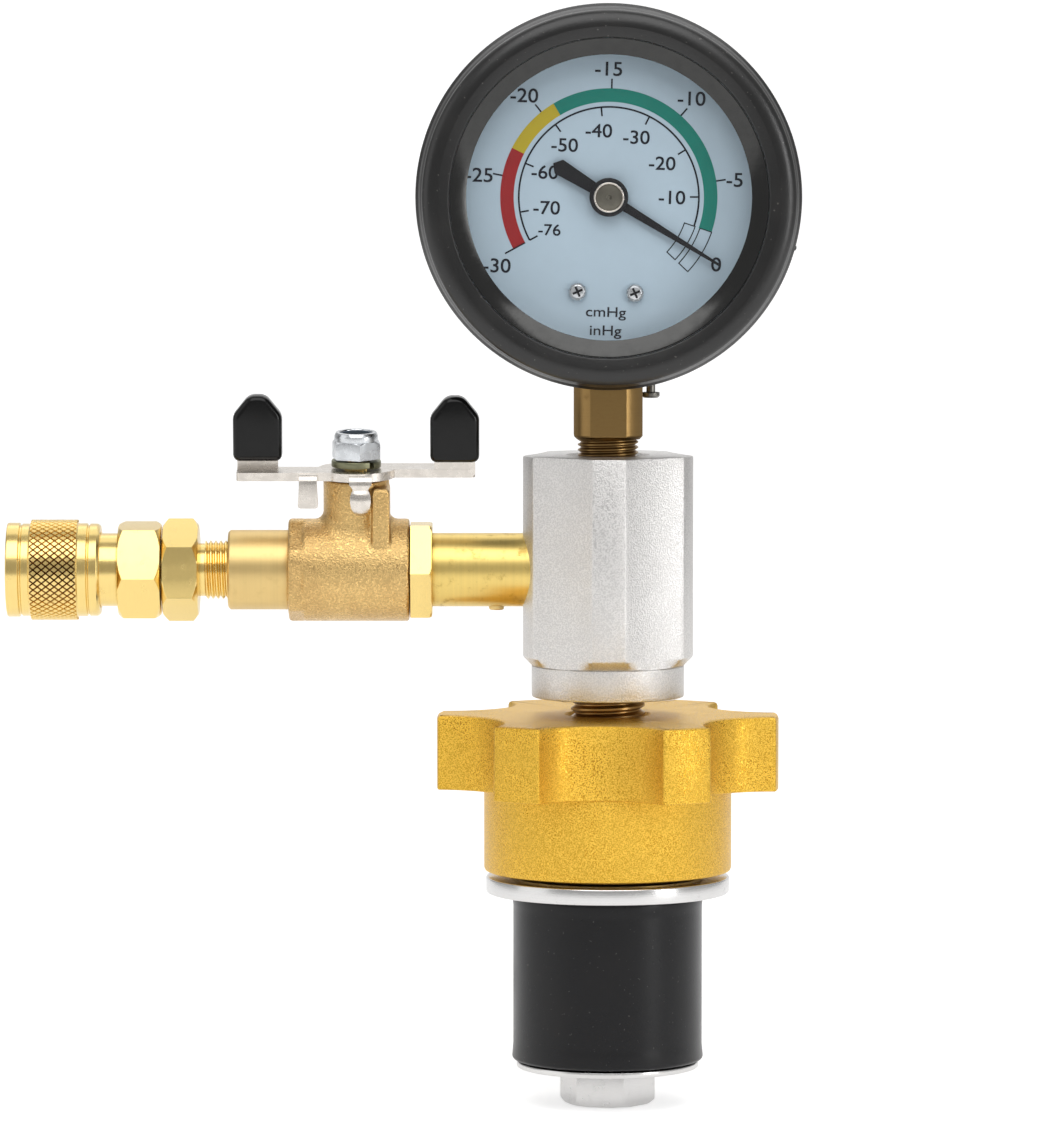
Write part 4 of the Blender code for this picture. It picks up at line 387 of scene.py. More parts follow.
def turned(profile: Sequence[Pair], steps: int = Steps.ROUND, soft: float = 0.12) -> Form:
    """A turned form whose profile has its corners eased.

    Args:
        profile: The (radius, height) corners, round a closed section.
        steps: Steps of the full turn.
        soft: Radius of the eased corners; corners on the axis stay sharp.

    Returns:
        The form.
    """
    on_axis = [index for index, (radius, _) in enumerate(profile) if radius == 0]
    eased = rounded(profile, soft, keep=on_axis) if soft else list(profile)
    if on_axis and len(on_axis) == 2:
        first = eased.index(profile[on_axis[-1]])
        eased = eased[first:] + eased[:first]
        if eased[1][0] == 0:
            eased = eased[1:] + eased[:1]
    return Form().turned(eased, steps)


def ring(
    inner: float, outer: float, low: float, high: float, steps: int = Steps.ROUND, soft: float = 0.12
) -> Form:
    """A turned ring, or a disc where its inner radius is 0.

    Args:
        inner: Radius of its bore.
        outer: Radius of its wall.
        low: Height of its lower face.
        high: Height of its upper face.
        steps: Steps of the full turn.
        soft: Radius of the eased corners.

    Returns:
        The form.
    """
    return turned(box(inner, outer, low, high), steps, soft)


def hexagon(
    flats: float, low: float, high: float, bore: float, chamfer: float, turn: float, chamfer_low: bool = True
) -> Form:
    """A hexagon with chamfered corners and a round bore.

    Args:
        flats: Width across the flats.
        low: Height of its lower face.
        high: Height of its upper face.
        bore: Radius of the bore.
        chamfer: How far the chamfer takes the corners in.
        turn: Angle of one corner, in degrees.
        chamfer_low: Whether the lower corners are chamfered too.

    Returns:
        The form, a ring round the bore.
    """
    steps = int(Steps.ROUND)
    limit = flats / 2 / cos(pi / 6) - chamfer
    edge = HEXAGON_EDGE
    rows: list[list[Triple]] = [[] for _ in range(10)]
    for index in range(steps):
        angle = 360 * index / steps
        radius = flats / 2 / cos(radians(angle % 60 - 30))
        fall = max(radius - limit, 0.0) * CHAMFER_SLOPE
        top = min(radius, limit)
        fall_low = fall if chamfer_low else 0.0
        bottom = top if chamfer_low else radius
        places = (
            (bore + edge, low),
            (bottom - edge, low),
            (bottom, low + edge * 0.4),
            (radius - edge * 0.2, low + fall_low + edge * 0.5),
            (radius, low + fall_low + edge * 1.5),
            (radius, high - fall - edge * 1.5),
            (radius - edge * 0.2, high - fall - edge * 0.5),
            (top, high - edge * 0.4),
            (top - edge, high),
            (bore + edge, high),
        )
        for row, (out, height) in zip(rows, places):
            row.append((*polar(out, turn + angle), height))
    inner_low = [(*polar(bore, turn + 360 * index / steps), low + edge) for index in range(steps)]
    inner_high = [(*polar(bore, turn + 360 * index / steps), high - edge) for index in range(steps)]
    return Form().grid([inner_low, *rows, inner_high], wrap_rows=True)


@dataclass(frozen=True)
class Thread:
    """A screw thread cut on the outside or the inside of a cylinder."""

    radius: float
    depth: float
    pitch: float
    low: float
    high: float
    flank: tuple[Pair, ...] = ((0.0, 0.0), (0.12, 0.0), (0.44, 1.0), (0.66, 1.0))

    def radius_at(self, phase: float) -> float:
        """The surface's radius along the thread.

        Args:
            phase: Place along the axis, in pitches.

        Returns:
            The radius.
        """
        points = [*self.flank, (1.0, self.flank[0][1])]
        share = phase - floor(phase)
        for (start, low), (end, high) in zip(points, points[1:]):
            if start <= share <= end:
                return self.radius - self.depth * (1 - low - (high - low) * (share - start) / (end - start))
        return self.radius

    def form(self, other_radius: float, steps: int = Steps.ROUND) -> Form:
        """The threaded surface, closed by a plain wall.

        Args:
            other_radius: The plain wall's radius.
            steps: Steps of the full turn.

        Returns:
            The form.
        """
        turns = ceil((self.high - self.low) / self.pitch) + 1
        rows: list[list[Triple]] = [self.plain_row(other_radius, self.low, steps)]
        for whole in range(-1, turns):
            for phase, _ in self.flank:
                rows.append(self.row(whole + phase, steps))
        rows.append(self.plain_row(other_radius, self.high, steps))
        return Form().grid(rows, wrap_rows=True, wrap_columns=False)

    def row(self, turns: float, steps: int) -> list[Triple]:
        """One helical line of points, kept inside the thread's ends.

        Args:
            turns: Where it starts, in pitches from the thread's low end.
            steps: Steps of the full turn.

        Returns:
            The points, the first angle's twice.
        """
        points = []
        for index in range(steps + 1):
            height = self.low + self.pitch * (turns + index / steps)
            kept = min(max(height, self.low), self.high)
            phase = (kept - self.low) / self.pitch - index / steps
            points.append((*polar(self.radius_at(phase), 360 * index / steps), kept))
        return points

    @staticmethod
    def plain_row(radius: float, height: float, steps: int) -> list[Triple]:
        """A level circle with its first point repeated at the end."""
        return [(*polar(radius, 360 * index / steps), height) for index in range(steps + 1)]


@dataclass(frozen=True)
class Knurl:
    """A diamond knurl rolled round a band."""

    radius: float
    depth: float
    low: float
    high: float
    around: int
    along: float
    crown_share: float = 0.46

    def form(self) -> Form:
        """The band of raised diamonds, cut level at both ends.

        Returns:
            The form.
        """
        half = (self.high - self.low) / self.along / 2
        width = 360 / self.around
        form = Form()
        for row in range(-1, int(self.along * 2) + 2):
            for column in range(self.around):
                centre = (column + (row % 2) / 2) * width
                self.add_diamond(form, centre, self.low + row * half, width / 2, half)
        form.cut_at(self.low, keep_above=True)
        return form.cut_at(self.high, keep_above=False)

    def add_diamond(self, form: Form, angle: float, height: float, wide: float, high: float) -> None:
        """Add one diamond: four slopes up to a small flat crown.

        Args:
            form: What it is added to.
            angle: Angle of its middle, in degrees.
            height: Height of its middle.
            wide: Its half width, in degrees.
            high: Its half height.
        """
        start = len(form.points)
        corners = ((-1, 0), (0, -1), (1, 0), (0, 1))
        rows = []
        for share, radius in ((1.0, self.radius - self.depth), (self.crown_share, self.radius)):
            rows.append(
                [
                    (*polar(radius, angle + across * wide * share), height + up * high * share)
                    for across, up in corners
                ]
            )
        form.grid(rows)
        crown = start + len(corners)
        form.faces.append(tuple(range(crown, crown + len(corners))))


class Signal:
    """A socket of a node tree that can be used in ordinary arithmetic."""

    def __init__(self, graph: "Graph", socket: bpy.types.NodeSocket) -> None:
        """Wrap an output socket of a graph."""
        self.graph = graph
        self.socket = socket

    def __add__(self, other: "Feed") -> "Signal":
        """This plus another."""
        return self.graph.maths("ADD", self, other)

    def __radd__(self, other: "Feed") -> "Signal":
        """A number plus this."""
        return self.graph.maths("ADD", other, self)

    def __sub__(self, other: "Feed") -> "Signal":
        """This minus another."""
        return self.graph.maths("SUBTRACT", self, other)

    def __rsub__(self, other: "Feed") -> "Signal":
        """A number minus this."""
        return self.graph.maths("SUBTRACT", other, self)

    def __mul__(self, other: "Feed") -> "Signal":
        """This times another."""
        return self.graph.maths("MULTIPLY", self, other)

    def __rmul__(self, other: "Feed") -> "Signal":
        """A number times this."""
        return self.graph.maths("MULTIPLY", other, self)

    def __pow__(self, other: "Feed") -> "Signal":
        """This to a power."""
        return self.graph.maths("POWER", self, other)

    def __rpow__(self, other: "Feed") -> "Signal":
        """A number to this power."""
        return self.graph.maths("POWER", other, self)

    def ramp(self, low: float, high: float, start: float = 0.0, end: float = 1.0) -> "Signal":
        """Carry one range smoothly onto another, and hold it there outside.

        Args:
            low: Where the first range starts.
            high: Where it ends.
            start: Value at its low end.
            end: Value at its high end.

        Returns:
            The carried signal.
        """
        settings = {"interpolation_type": "SMOOTHSTEP", "clamp": True}
        sockets = {"Value": self, "From Min": low, "From Max": high, "To Min": start, "To Max": end}
        node = self.graph.add("ShaderNodeMapRange", settings, sockets)
        return Signal(self.graph, node.outputs["Result"])


Feed = Signal | float | tuple[float, ...]


class Graph:
    """A material's node tree while it is being built."""

    def __init__(self, name: str) -> None:
        """Make a material that only knows where a point lies in its piece's frame, in millimetres.

        Args:
            name: The material's name.
        """
        self.material = bpy.data.materials.new(name)
        self.material.use_nodes = True
        self.tree = self.material.node_tree
        self.tree.nodes.clear()
        coordinates = self.add("ShaderNodeTexCoord")
        metres = Signal(self, coordinates.outputs["Object"])
        self.place = self.vector("MULTIPLY", metres, (1 / MM, 1 / MM, 1 / MM))

    def add(
        self,
        kind: str,
        settings: Mapping[str, object] | None = None,
        sockets: Mapping[str | int, Feed] | None = None,
    ) -> bpy.types.Node:
        """Add any node.

        Args:
            kind: The node's type.
            settings: Its properties.
            sockets: What feeds its inputs, by name or by index.

        Returns:
            The node.
        """
        node = self.tree.nodes.new(kind)
        for name, value in (settings or {}).items():
            setattr(node, name, value)
        for key, value in (sockets or {}).items():
            self.feed(node.inputs[key], value)
        return node

    def feed(self, socket: bpy.types.NodeSocket, value: Feed) -> None:
        """Link a signal to a socket, or set the socket's own value.

        Args:
            socket: The input socket.
            value: A signal, or a value.
        """
        if isinstance(value, Signal):
            self.tree.links.new(value.socket, socket)
        else:
            socket.default_value = value

    def maths(self, operation: str, first: Feed, second: Feed = 0.0) -> Signal:
        """One Math node."""
        node = self.add("ShaderNodeMath", {"operation": operation}, {0: first, 1: second})
        return Signal(self, node.outputs[0])

    def vector(self, operation: str, first: Feed, second: Feed = (0.0, 0.0, 0.0)) -> Signal:
        """One Vector Math node."""
        node = self.add("ShaderNodeVectorMath", {"operation": operation}, {0: first, 1: second})
        return Signal(self, node.outputs["Vector"])

    def blend(self, share: Feed, first: Feed, second: Feed) -> Signal:
        """Mix two colours."""
        node = self.add("ShaderNodeMix", {"data_type": "RGBA"}, {0: share, 6: first, 7: second})
        return Signal(self, node.outputs[2])

    def cylinder(self) -> tuple[Signal, Signal]:
        """Where a point lies round its piece's axis.

        Returns:
            Its distance from the axis and its height along it, in millimetres.
        """
        split = self.add("ShaderNodeSeparateXYZ", None, {0: self.place})
        across = Signal(self, split.outputs["X"])
        deep = Signal(self, split.outputs["Y"])
        radius = (across * across + deep * deep) ** 0.5
        return radius, Signal(self, split.outputs["Z"])

    def combine(self, x: Feed, y: Feed, z: Feed) -> Signal:
        """A vector from three numbers."""
        node = self.add("ShaderNodeCombineXYZ", None, {0: x, 1: y, 2: z})
        return Signal(self, node.outputs[0])

    def noise(self, place: Signal, per_mm: float, detail: float = 2.0, roughness: float = 0.5) -> Signal:
        """Noise from 0 to 1.

        Args:
            place: Where it is looked up, in millimetres.
            per_mm: Features to a millimetre.
            detail: How many finer layers are added.
            roughness: How strong each finer layer is.

        Returns:
            The noise.
        """
        sockets = {"Vector": place, "Scale": per_mm, "Detail": detail, "Roughness": roughness}
        node = self.add("ShaderNodeTexNoise", None, sockets)
        return Signal(self, node.outputs["Fac"])

    def bump(self, height: Signal, depth: float, strength: float = 1.0) -> Signal:
        """A normal from a relief.

        Args:
            height: The relief, from 0 to 1.
            depth: How many millimetres 1 stands for.
            strength: How much of it is used.

        Returns:
            The normal.
        """
        sockets = {"Height": height, "Distance": depth * MM, "Strength": strength}
        node = self.add("ShaderNodeBump", None, sockets)
        return Signal(self, node.outputs["Normal"])

    def principled(self, sockets: Mapping[str, Feed]) -> Signal:
        """The Principled shader with these inputs."""
        node = self.add("ShaderNodeBsdfPrincipled", None, sockets)
        return Signal(self, node.outputs[0])

    def mixed(self, share: Feed, first: Signal, second: Signal) -> Signal:
        """A share of the second shader over the first."""
        node = self.add("ShaderNodeMixShader", None, {0: share, 1: first, 2: second})
        return Signal(self, node.outputs[0])

    def finish(self, shader: Signal) -> bpy.types.Material:
        """Send a shader to the material's output."""
        self.add("ShaderNodeOutputMaterial", None, {"Surface": shader})
        return self.material


def opaque(colour: Triple) -> tuple[float, float, float, float]:
    """A colour with full alpha."""
    return (*colour, 1.0)


def scaled(colour: Triple, share: float) -> tuple[float, float, float, float]:
    """A colour made darker or lighter, with full alpha."""
    return opaque(tuple(min(channel * share, 1.0) for channel in colour))


@dataclass(frozen=True)
class Finish:
    """What every finish has: a name, the record's material slot and a colour."""

    name: str
    slot: str
    colour: Triple

    def material(self) -> bpy.types.Material:
        """The finish's material, made once.

        Returns:
            The material.
        """
        known = bpy.data.materials.get(self.name)
        if known:
            return known
        graph = Graph(self.name)
        return graph.finish(self.shader(graph))

    def shader(self, graph: Graph) -> Signal:
        """The shader of the whole surface, for most finishes the Principled one."""
        return graph.principled(self.sockets(graph))

    def sockets(self, graph: Graph) -> dict[str, Feed]:
        """What feeds the Principled shader; each kind of finish has its own."""
        raise NotImplementedError


@dataclass(frozen=True)
class BlastedMetal(Finish):
    """Bead-blasted and anodised aluminium: an even grain that sparkles."""

    roughness: float
    grain_per_mm: float
    contrast: float
    depth: float
    hollow: Triple = (1.0, 1.0, 1.0)
    grain_range: Pair = (0.38, 0.62)
    grain_gloss: float = 0.10
    relief: float = 0.55
    cloud_per_mm: float = 0.12
    cloud_range: Pair = (0.35, 0.75)
    cloud_share: float = 0.25
    cloud_tone: float = 0.82
    cloud_gloss: float = 0.05

    def sockets(self, graph: Graph) -> dict[str, Feed]:
        """Grain in the colour, the roughness and the relief, with faint broad clouds.

        Args:
            graph: The node tree that is filled.

        Returns:
            The Principled shader's inputs.
        """
        grain = graph.noise(graph.place, self.grain_per_mm, roughness=0.6).ramp(*self.grain_range)
        cloud = graph.noise(graph.place, self.cloud_per_mm)
        deep = tuple(part * tone * (1 - self.contrast) for part, tone in zip(self.colour, self.hollow))
        shade = graph.blend(grain, opaque(deep), scaled(self.colour, 1 + self.contrast / 2))
        clouded = cloud.ramp(*self.cloud_range, 0.0, self.cloud_share)
        return {
            "Base Color": graph.blend(clouded, shade, scaled(self.colour, self.cloud_tone)),
            "Metallic": 1.0,
            "Roughness": self.roughness + grain * self.grain_gloss + cloud * self.cloud_gloss,
            "Normal": graph.bump(grain, self.depth, self.relief),
        }


@dataclass(frozen=True)
class TurnedMetal(Finish):
    """Metal finished on a lathe: fine rings round the axis, with stains and handling marks."""

    roughness: float
    rings_per_mm: float = 5.0
    depth: float = 0.003
    stain: Triple = (0.30, 0.20, 0.06)
    stain_share: float = 0.25
    ring_range: Pair = (0.3, 0.7)
    ring_tones: Pair = (0.97, 1.03)
    ring_gloss: float = 0.06
    relief: float = 0.8
    blot_per_mm: float = 0.45
    blot_range: Pair = (0.50, 0.74)
    blot_gloss: float = 0.07
    speck_per_mm: float = 2.6
    speck_range: Pair = (0.66, 0.74)
    speck_share: float = 0.5

    def sockets(self, graph: Graph) -> dict[str, Feed]:
        """Rings that follow radius and height, so they go round both faces and walls.

        Args:
            graph: The node tree that is filled.

        Returns:
            The Principled shader's inputs.
        """
        radius, height = graph.cylinder()
        lines = graph.noise(graph.combine(radius, 0.0, height), self.rings_per_mm, 4.0, 0.65)
        blot = graph.noise(graph.place, self.blot_per_mm, 5.0, 0.62).ramp(*self.blot_range)
        speck = graph.noise(graph.place, self.speck_per_mm).ramp(*self.speck_range)
        marks = (blot * self.stain_share + speck * self.stain_share * self.speck_share).ramp(0.0, 1.0)
        dark, light = (scaled(self.colour, tone) for tone in self.ring_tones)
        ringed = graph.blend(lines.ramp(*self.ring_range), dark, light)
        stained = graph.blend(marks, ringed, opaque(self.stain))
        return {
            # painted shade in a knurl's grooves is added by this hook
            "Base Color": self.grooved(graph, stained, radius),
            "Metallic": 1.0,
            "Roughness": self.roughness + lines * self.ring_gloss + blot * self.blot_gloss,
            "Normal": graph.bump(lines, self.depth, self.relief),
        }

    def grooved(self, graph: Graph, colour: Signal, radius: Signal) -> Signal:
        """Plain turned metal keeps its colour at every radius, with no painted shade."""
        return colour


@dataclass(frozen=True)
class KnurledMetal(TurnedMetal):
    """Turned metal with a rolled knurl, its grooves darkened by painted shade."""

    floor_radius: float = 8.6
    crown_radius: float = 8.95
    # painted shade: the colour that the knurl's grooves are darkened toward
    groove: Triple = (0.50, 0.33, 0.12)

    def grooved(self, graph: Graph, colour: Signal, radius: Signal) -> Signal:
        """Painted shade: darken toward the floor of the grooves."""
        return graph.blend(radius.ramp(self.floor_radius, self.crown_radius), opaque(self.groove), colour)


@dataclass(frozen=True)
class CastMetal(Finish):
    """Sand-cast brass: a grainy skin with darker hollows and rubbed high spots."""

    roughness: float
    depth: float
    hollow: Triple = (0.33, 0.17, 0.06)
    hollow_share: float = 0.20
    coarse_per_mm: float = 0.9
    coarse_share: float = 0.25
    fine_per_mm: float = 2.8
    grain_range: Pair = (0.36, 0.64)
    grain_tones: Pair = (0.80, 1.10)
    grain_gloss: float = 0.10
    relief: float = 0.7
    warm_per_mm: float = 0.16
    warm_range: Pair = (0.35, 0.7)

    def sockets(self, graph: Graph) -> dict[str, Feed]:
        """Coarse and fine grain that share one relief.

        Args:
            graph: The node tree that is filled.

        Returns:
            The Principled shader's inputs.
        """
        coarse = graph.noise(graph.place, self.coarse_per_mm, 3.0, 0.6)
        fine = graph.noise(graph.place, self.fine_per_mm, roughness=0.6)
        grain = (coarse * self.coarse_share + fine * (1 - self.coarse_share)).ramp(*self.grain_range)
        warm = graph.noise(graph.place, self.warm_per_mm).ramp(*self.warm_range)
        dark, light = (scaled(self.colour, tone) for tone in self.grain_tones)
        skin = graph.blend(grain, dark, light)
        return {
            "Base Color": graph.blend(warm * self.hollow_share, skin, opaque(self.hollow)),
            "Metallic": 1.0,
            "Roughness": self.roughness + (1.0 - grain) * self.grain_gloss,
            "Normal": graph.bump(grain, self.depth, self.relief),
        }


@dataclass(frozen=True)
class PlatedMetal(Finish):
    """Smooth plated steel with smudges and a few scratches."""

    roughness: float
    smudge: float = 0.18
    smudge_per_mm: float = 0.5
    smudge_range: Pair = (0.35, 0.75)
    stretch: Triple = (0.4, 6.0, 6.0)
    scratch_range: Pair = (0.60, 0.72)
    scratch_gloss: float = 0.08
    worn_tone: float = 0.72
    depth: float = 0.005

    def sockets(self, graph: Graph) -> dict[str, Feed]:
        """Smudges, and scratches that are noise stretched along one direction.

        Args:
            graph: The node tree that is filled.

        Returns:
            The Principled shader's inputs.
        """
        cloud = graph.noise(graph.place, self.smudge_per_mm, 4.0, 0.6).ramp(*self.smudge_range)
        stretched = graph.vector("MULTIPLY", graph.place, self.stretch)
        scratch = graph.noise(stretched, 1.0).ramp(*self.scratch_range)
        worn = cloud * 0.3 + scratch * 0.15
        return {
            "Base Color": graph.blend(worn, opaque(self.colour), scaled(self.colour, self.worn_tone)),
            "Metallic": 1.0,
            "Roughness": self.roughness + cloud * self.smudge + scratch * self.scratch_gloss,
            "Normal": graph.bump(cloud * 0.7 + scratch * 0.3, self.depth, 0.5),
        }


@dataclass(frozen=True)
class Rubber(Finish):
    """Moulded rubber or dipped vinyl: a soft sheen, a fine skin and a little dust."""

    roughness: float
    depth: float
    dust: float
    sheen: float
    worn: Triple
    worn_share: float = 0.4
    skin_per_mm: float = 2.2
    skin_gloss: float = 0.10
    relief: float = 0.6
    cloud_per_mm: float = 0.10
    cloud_range: Pair = (0.40, 0.75)
    cloud_gloss: float = 0.06
    speck_per_mm: float = 1.7
    speck_range: Pair = (0.735, 0.76)
    dust_colour: Triple = (0.32, 0.30, 0.28)

    def sockets(self, graph: Graph) -> dict[str, Feed]:
        """Dust by a sparse threshold of fine noise, over broad paler clouds.

        Args:
            graph: The node tree that is filled.

        Returns:
            The Principled shader's inputs.
        """
        skin = graph.noise(graph.place, self.skin_per_mm, 4.0, 0.6)
        cloud = graph.noise(graph.place, self.cloud_per_mm, 3.0).ramp(*self.cloud_range)
        speck = graph.noise(graph.place, self.speck_per_mm, 1.0).ramp(*self.speck_range) * self.dust
        tint = graph.blend(cloud * self.worn_share, opaque(self.colour), opaque(self.worn))
        return {
            "Base Color": graph.blend(speck, tint, opaque(self.dust_colour)),
            "Metallic": 0.0,
            "Roughness": self.roughness + skin * self.skin_gloss + cloud * self.cloud_gloss,
            "Specular IOR Level": self.sheen,
            "Normal": graph.bump(skin, self.depth, self.relief),
        }


@dataclass(frozen=True)
class Paint(Finish):
    """Printed or painted metal and moulded plastic, nearly flat, with a faint mottle."""

    roughness: float
    mottle: float = 0.05
    mottle_per_mm: float = 0.35
    fine_per_mm: float = 4.0
    fine_gloss: float = 0.08
    sheen: float = 0.25
    depth: float = 0.004
    relief: float = 0.4

    def sockets(self, graph: Graph) -> dict[str, Feed]:
        """A coat a little uneven in colour and gloss.

        Args:
            graph: The node tree that is filled.

        Returns:
            The Principled shader's inputs.
        """
        cloud = graph.noise(graph.place, self.mottle_per_mm, 4.0, 0.6)
        fine = graph.noise(graph.place, self.fine_per_mm)
        return {
            "Base Color": graph.blend(cloud, scaled(self.colour, 1 - self.mottle), opaque(self.colour)),
            "Metallic": 0.0,
            "Roughness": self.roughness + fine * self.fine_gloss,
            "Specular IOR Level": self.sheen,
            "Normal": graph.bump(fine, self.depth, self.relief),
        }


@dataclass(frozen=True)
class Lens(Finish):
    """The clear lens: it lets the dial through and keeps a faint reflection."""

    reflection: float = 0.012
    roughness: float = 0.04
    wipe_per_mm: float = 0.2
    wipe_gloss: float = 0.05
    wipe_share: float = 0.012

    def shader(self, graph: Graph) -> Signal:
        """A mirror of a few per cent over a transparent sheet, with faint wiping marks.

        Args:
            graph: The node tree that is filled.

        Returns:
            The shader.
        """
        wipe = graph.noise(graph.place, self.wipe_per_mm, 3.0)
        gloss = self.roughness + wipe * self.wipe_gloss
        mirror = graph.principled({"Base Color": opaque(self.colour), "Metallic": 1.0, "Roughness": gloss})
        clear = Signal(graph, graph.add("ShaderNodeBsdfTransparent").outputs[0])
        return graph.mixed(self.reflection + wipe * self.wipe_share, clear, mirror)


@dataclass(frozen=True)
class Palette:
    """Every finish of the object."""

    silver: Finish = BlastedMetal(
        "BlastedSilver", "blasted_silver", (0.74, 0.725, 0.71), 0.33, 3.6, 0.16, 0.05
    )
    gold: Finish = BlastedMetal(
        "GoldAnodised", "gold_anodised", (0.82, 0.525, 0.080), 0.25, 4.6, 0.30, 0.090, (1.0, 0.84, 0.5)
    )
    bright: Finish = TurnedMetal(
        "TurnedAluminium", "bright_aluminium", (0.68, 0.672, 0.665), 0.20, 5.0, 0.006, (0.55,) * 3, 0.08
    )
    brass: Finish = TurnedMetal(
        "YellowBrass", "yellow_brass", (0.86, 0.645, 0.245), 0.19, stain=(0.40, 0.28, 0.08), stain_share=0.10
    )
    # painted shade darkens the knurl's grooves
    knurled: Finish = KnurledMetal("KnurledBrass", "yellow_brass", (0.84, 0.62, 0.235), 0.22)
    pipe: Finish = TurnedMetal(
        "StainedBrass", "yellow_brass", (0.78, 0.58, 0.19), 0.32, 1.5, 0.004, (0.40, 0.25, 0.05), 0.60
    )
    # painted shade: the centre tube is darkened because its thread lies in the collar's shade
    tube: Finish = TurnedMetal("ShadedBrass", "cast_brass", (0.40, 0.26, 0.11), 0.26)
    cast: Finish = CastMetal("CastBrass", "cast_brass", (0.71, 0.48, 0.195), 0.26, 0.085)
    machined: Finish = TurnedMetal(
        "MachinedBrass", "cast_brass", (0.72, 0.525, 0.225), 0.38, 2.0, 0.004, (0.42, 0.28, 0.11), 0.25
    )
    olive: Finish = TurnedMetal(
        "OliveBrass", "olive_brass", (0.28, 0.175, 0.065), 0.28, 3.0, 0.008, (0.12, 0.07, 0.02), 0.35
    )
    nickel: Finish = PlatedMetal("NickelPlate", "nickel_plate", (0.73, 0.68, 0.62), 0.24, smudge=0.12)
    zinc: Finish = PlatedMetal("ZincPlate", "zinc_plate", (0.66, 0.68, 0.70), 0.22)
    spring: Finish = PlatedMetal("SpringSteel", "olive_steel", (0.24, 0.24, 0.15), 0.30)
    screw: Finish = PlatedMetal("DarkScrew", "zinc_plate", (0.22, 0.21, 0.19), 0.3)
    cap: Finish = PlatedMetal("CapNickel", "nickel_plate", (0.17, 0.16, 0.13), 0.30)
    bezel: Finish = PlatedMetal("BezelSteel", "grey_steel", (0.058, 0.058, 0.057), 0.13, smudge=0.05)
    liner: Finish = Paint("LinerWhite", "dial_paint", (0.80, 0.80, 0.78), 0.50)
    boot: Finish = Rubber(
        "BootRubber", "black_rubber", (0.002, 0.0018, 0.0018), 0.26, 0.04, 0.20, 0.62, (0.007, 0.006, 0.005)
    )
    stopper: Finish = Rubber(
        "StopperRubber", "black_rubber", (0.001, 0.001, 0.002), 0.24, 0.02, 0.10, 0.32, (0.007, 0.006, 0.006)
    )
    vinyl: Finish = Rubber(
        "DippedVinyl", "black_vinyl", (0.002, 0.002, 0.002), 0.14, 0.006, 0.0, 0.28, (0.004, 0.004, 0.004)
    )
    dial: Finish = Paint("DialFace", "dial_paint", (0.425, 0.535, 0.62), 0.55)
    ink: Finish = Paint("DialInk", "dial_paint", (0.002, 0.003, 0.010), 0.5)
    green: Finish = Paint("DialGreen", "dial_paint", (0.004, 0.19, 0.145), 0.5)
    yellow: Finish = Paint("DialYellow", "dial_paint", (0.46, 0.36, 0.020), 0.5)
    red: Finish = Paint("DialRed", "dial_paint", (0.30, 0.010, 0.012), 0.5)
    black: Finish = Paint("SatinBlack", "black_paint", (0.006, 0.006, 0.008), 0.38, mottle=0.2)
    nylon: Finish = Paint("NutInsert", "blue_nylon", (0.05, 0.07, 0.10), 0.5)
    ptfe: Finish = Paint("SeatPlastic", "ptfe", (0.80, 0.79, 0.76), 0.5, mottle=0.08)
    gasket: Finish = Paint("GasketRubber", "black_rubber", (0.02, 0.02, 0.02), 0.6, mottle=0.2)
    lens: Finish = Lens("ClearLens", "clear_lens", (0.95, 0.97, 1.0))


PALETTE = Palette()


def joined(name: str, forms: Sequence[Form]) -> bpy.types.Mesh:
    """Gather forms in one smooth-shaded mesh.

    Args:
        name: The mesh's name.
        forms: The forms, all in one frame.

    Returns:
        The mesh, in metres.
    """
    mesh = bpy.data.meshes.new(name)
    whole = bmesh.new()
    for form in forms:
        shape = form.to_bmesh()
        part = bpy.data.meshes.new("part")
        shape.to_mesh(part)
        shape.free()
        whole.from_mesh(part)
        bpy.data.meshes.remove(part)
    whole.to_mesh(mesh)
    whole.free()
    mesh.shade_smooth()
    return mesh


def linked(name: str, data: bpy.types.ID) -> bpy.types.Object:
    """Put a mesh, a curve, a camera or a light into the scene.

    Args:
        name: The object's name.
        data: What it shows.

    Returns:
        The object.
    """
    thing = bpy.data.objects.new(name, data)
    bpy.context.scene.collection.objects.link(thing)
    return thing


def make_piece(
    name: str,
    forms: Form | Sequence[Form],
    place: Matrix,
    finish: Finish,
    body: Body = Body.ROOT,
    stands_for: Sequence[str] = (),
    bevel: float = 0.0,
    sharp: float = SHARP_ANGLE,
) -> bpy.types.Object:
    """Turn forms into one visible piece that rides on its body.

    Args:
        name: The piece's name.
        forms: One form or several that make one piece.
        place: Its frame.
        finish: What its surface is.
        body: The body that it moves with.
        stands_for: The CAD nodes that it replaces.
        bevel: Width of a bevel over its sharp edges, in millimetres.
        sharp: The angle from which an edge is shaded as sharp, in degrees.

    Returns:
        The object.
    """
    mesh = joined(name, [forms] if isinstance(forms, Form) else forms)
    mesh.materials.append(finish.material())
    mesh.set_sharp_from_angle(angle=radians(sharp))
    piece = linked(name, mesh)
    piece.matrix_world = place
    if bevel:
        rounding = piece.modifiers.new("Edges", "BEVEL")
        rounding.width = bevel * MM
        rounding.segments = BEVEL_STEPS
        rounding.limit_method = "ANGLE"
        rounding.angle_limit = radians(BEVEL_ANGLE)
        rounding.harden_normals = True
    if stands_for:
        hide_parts(*stands_for)
    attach(piece, body.value)
    LOG.info("made %s, which moves with %s", name, body.value)
    return piece


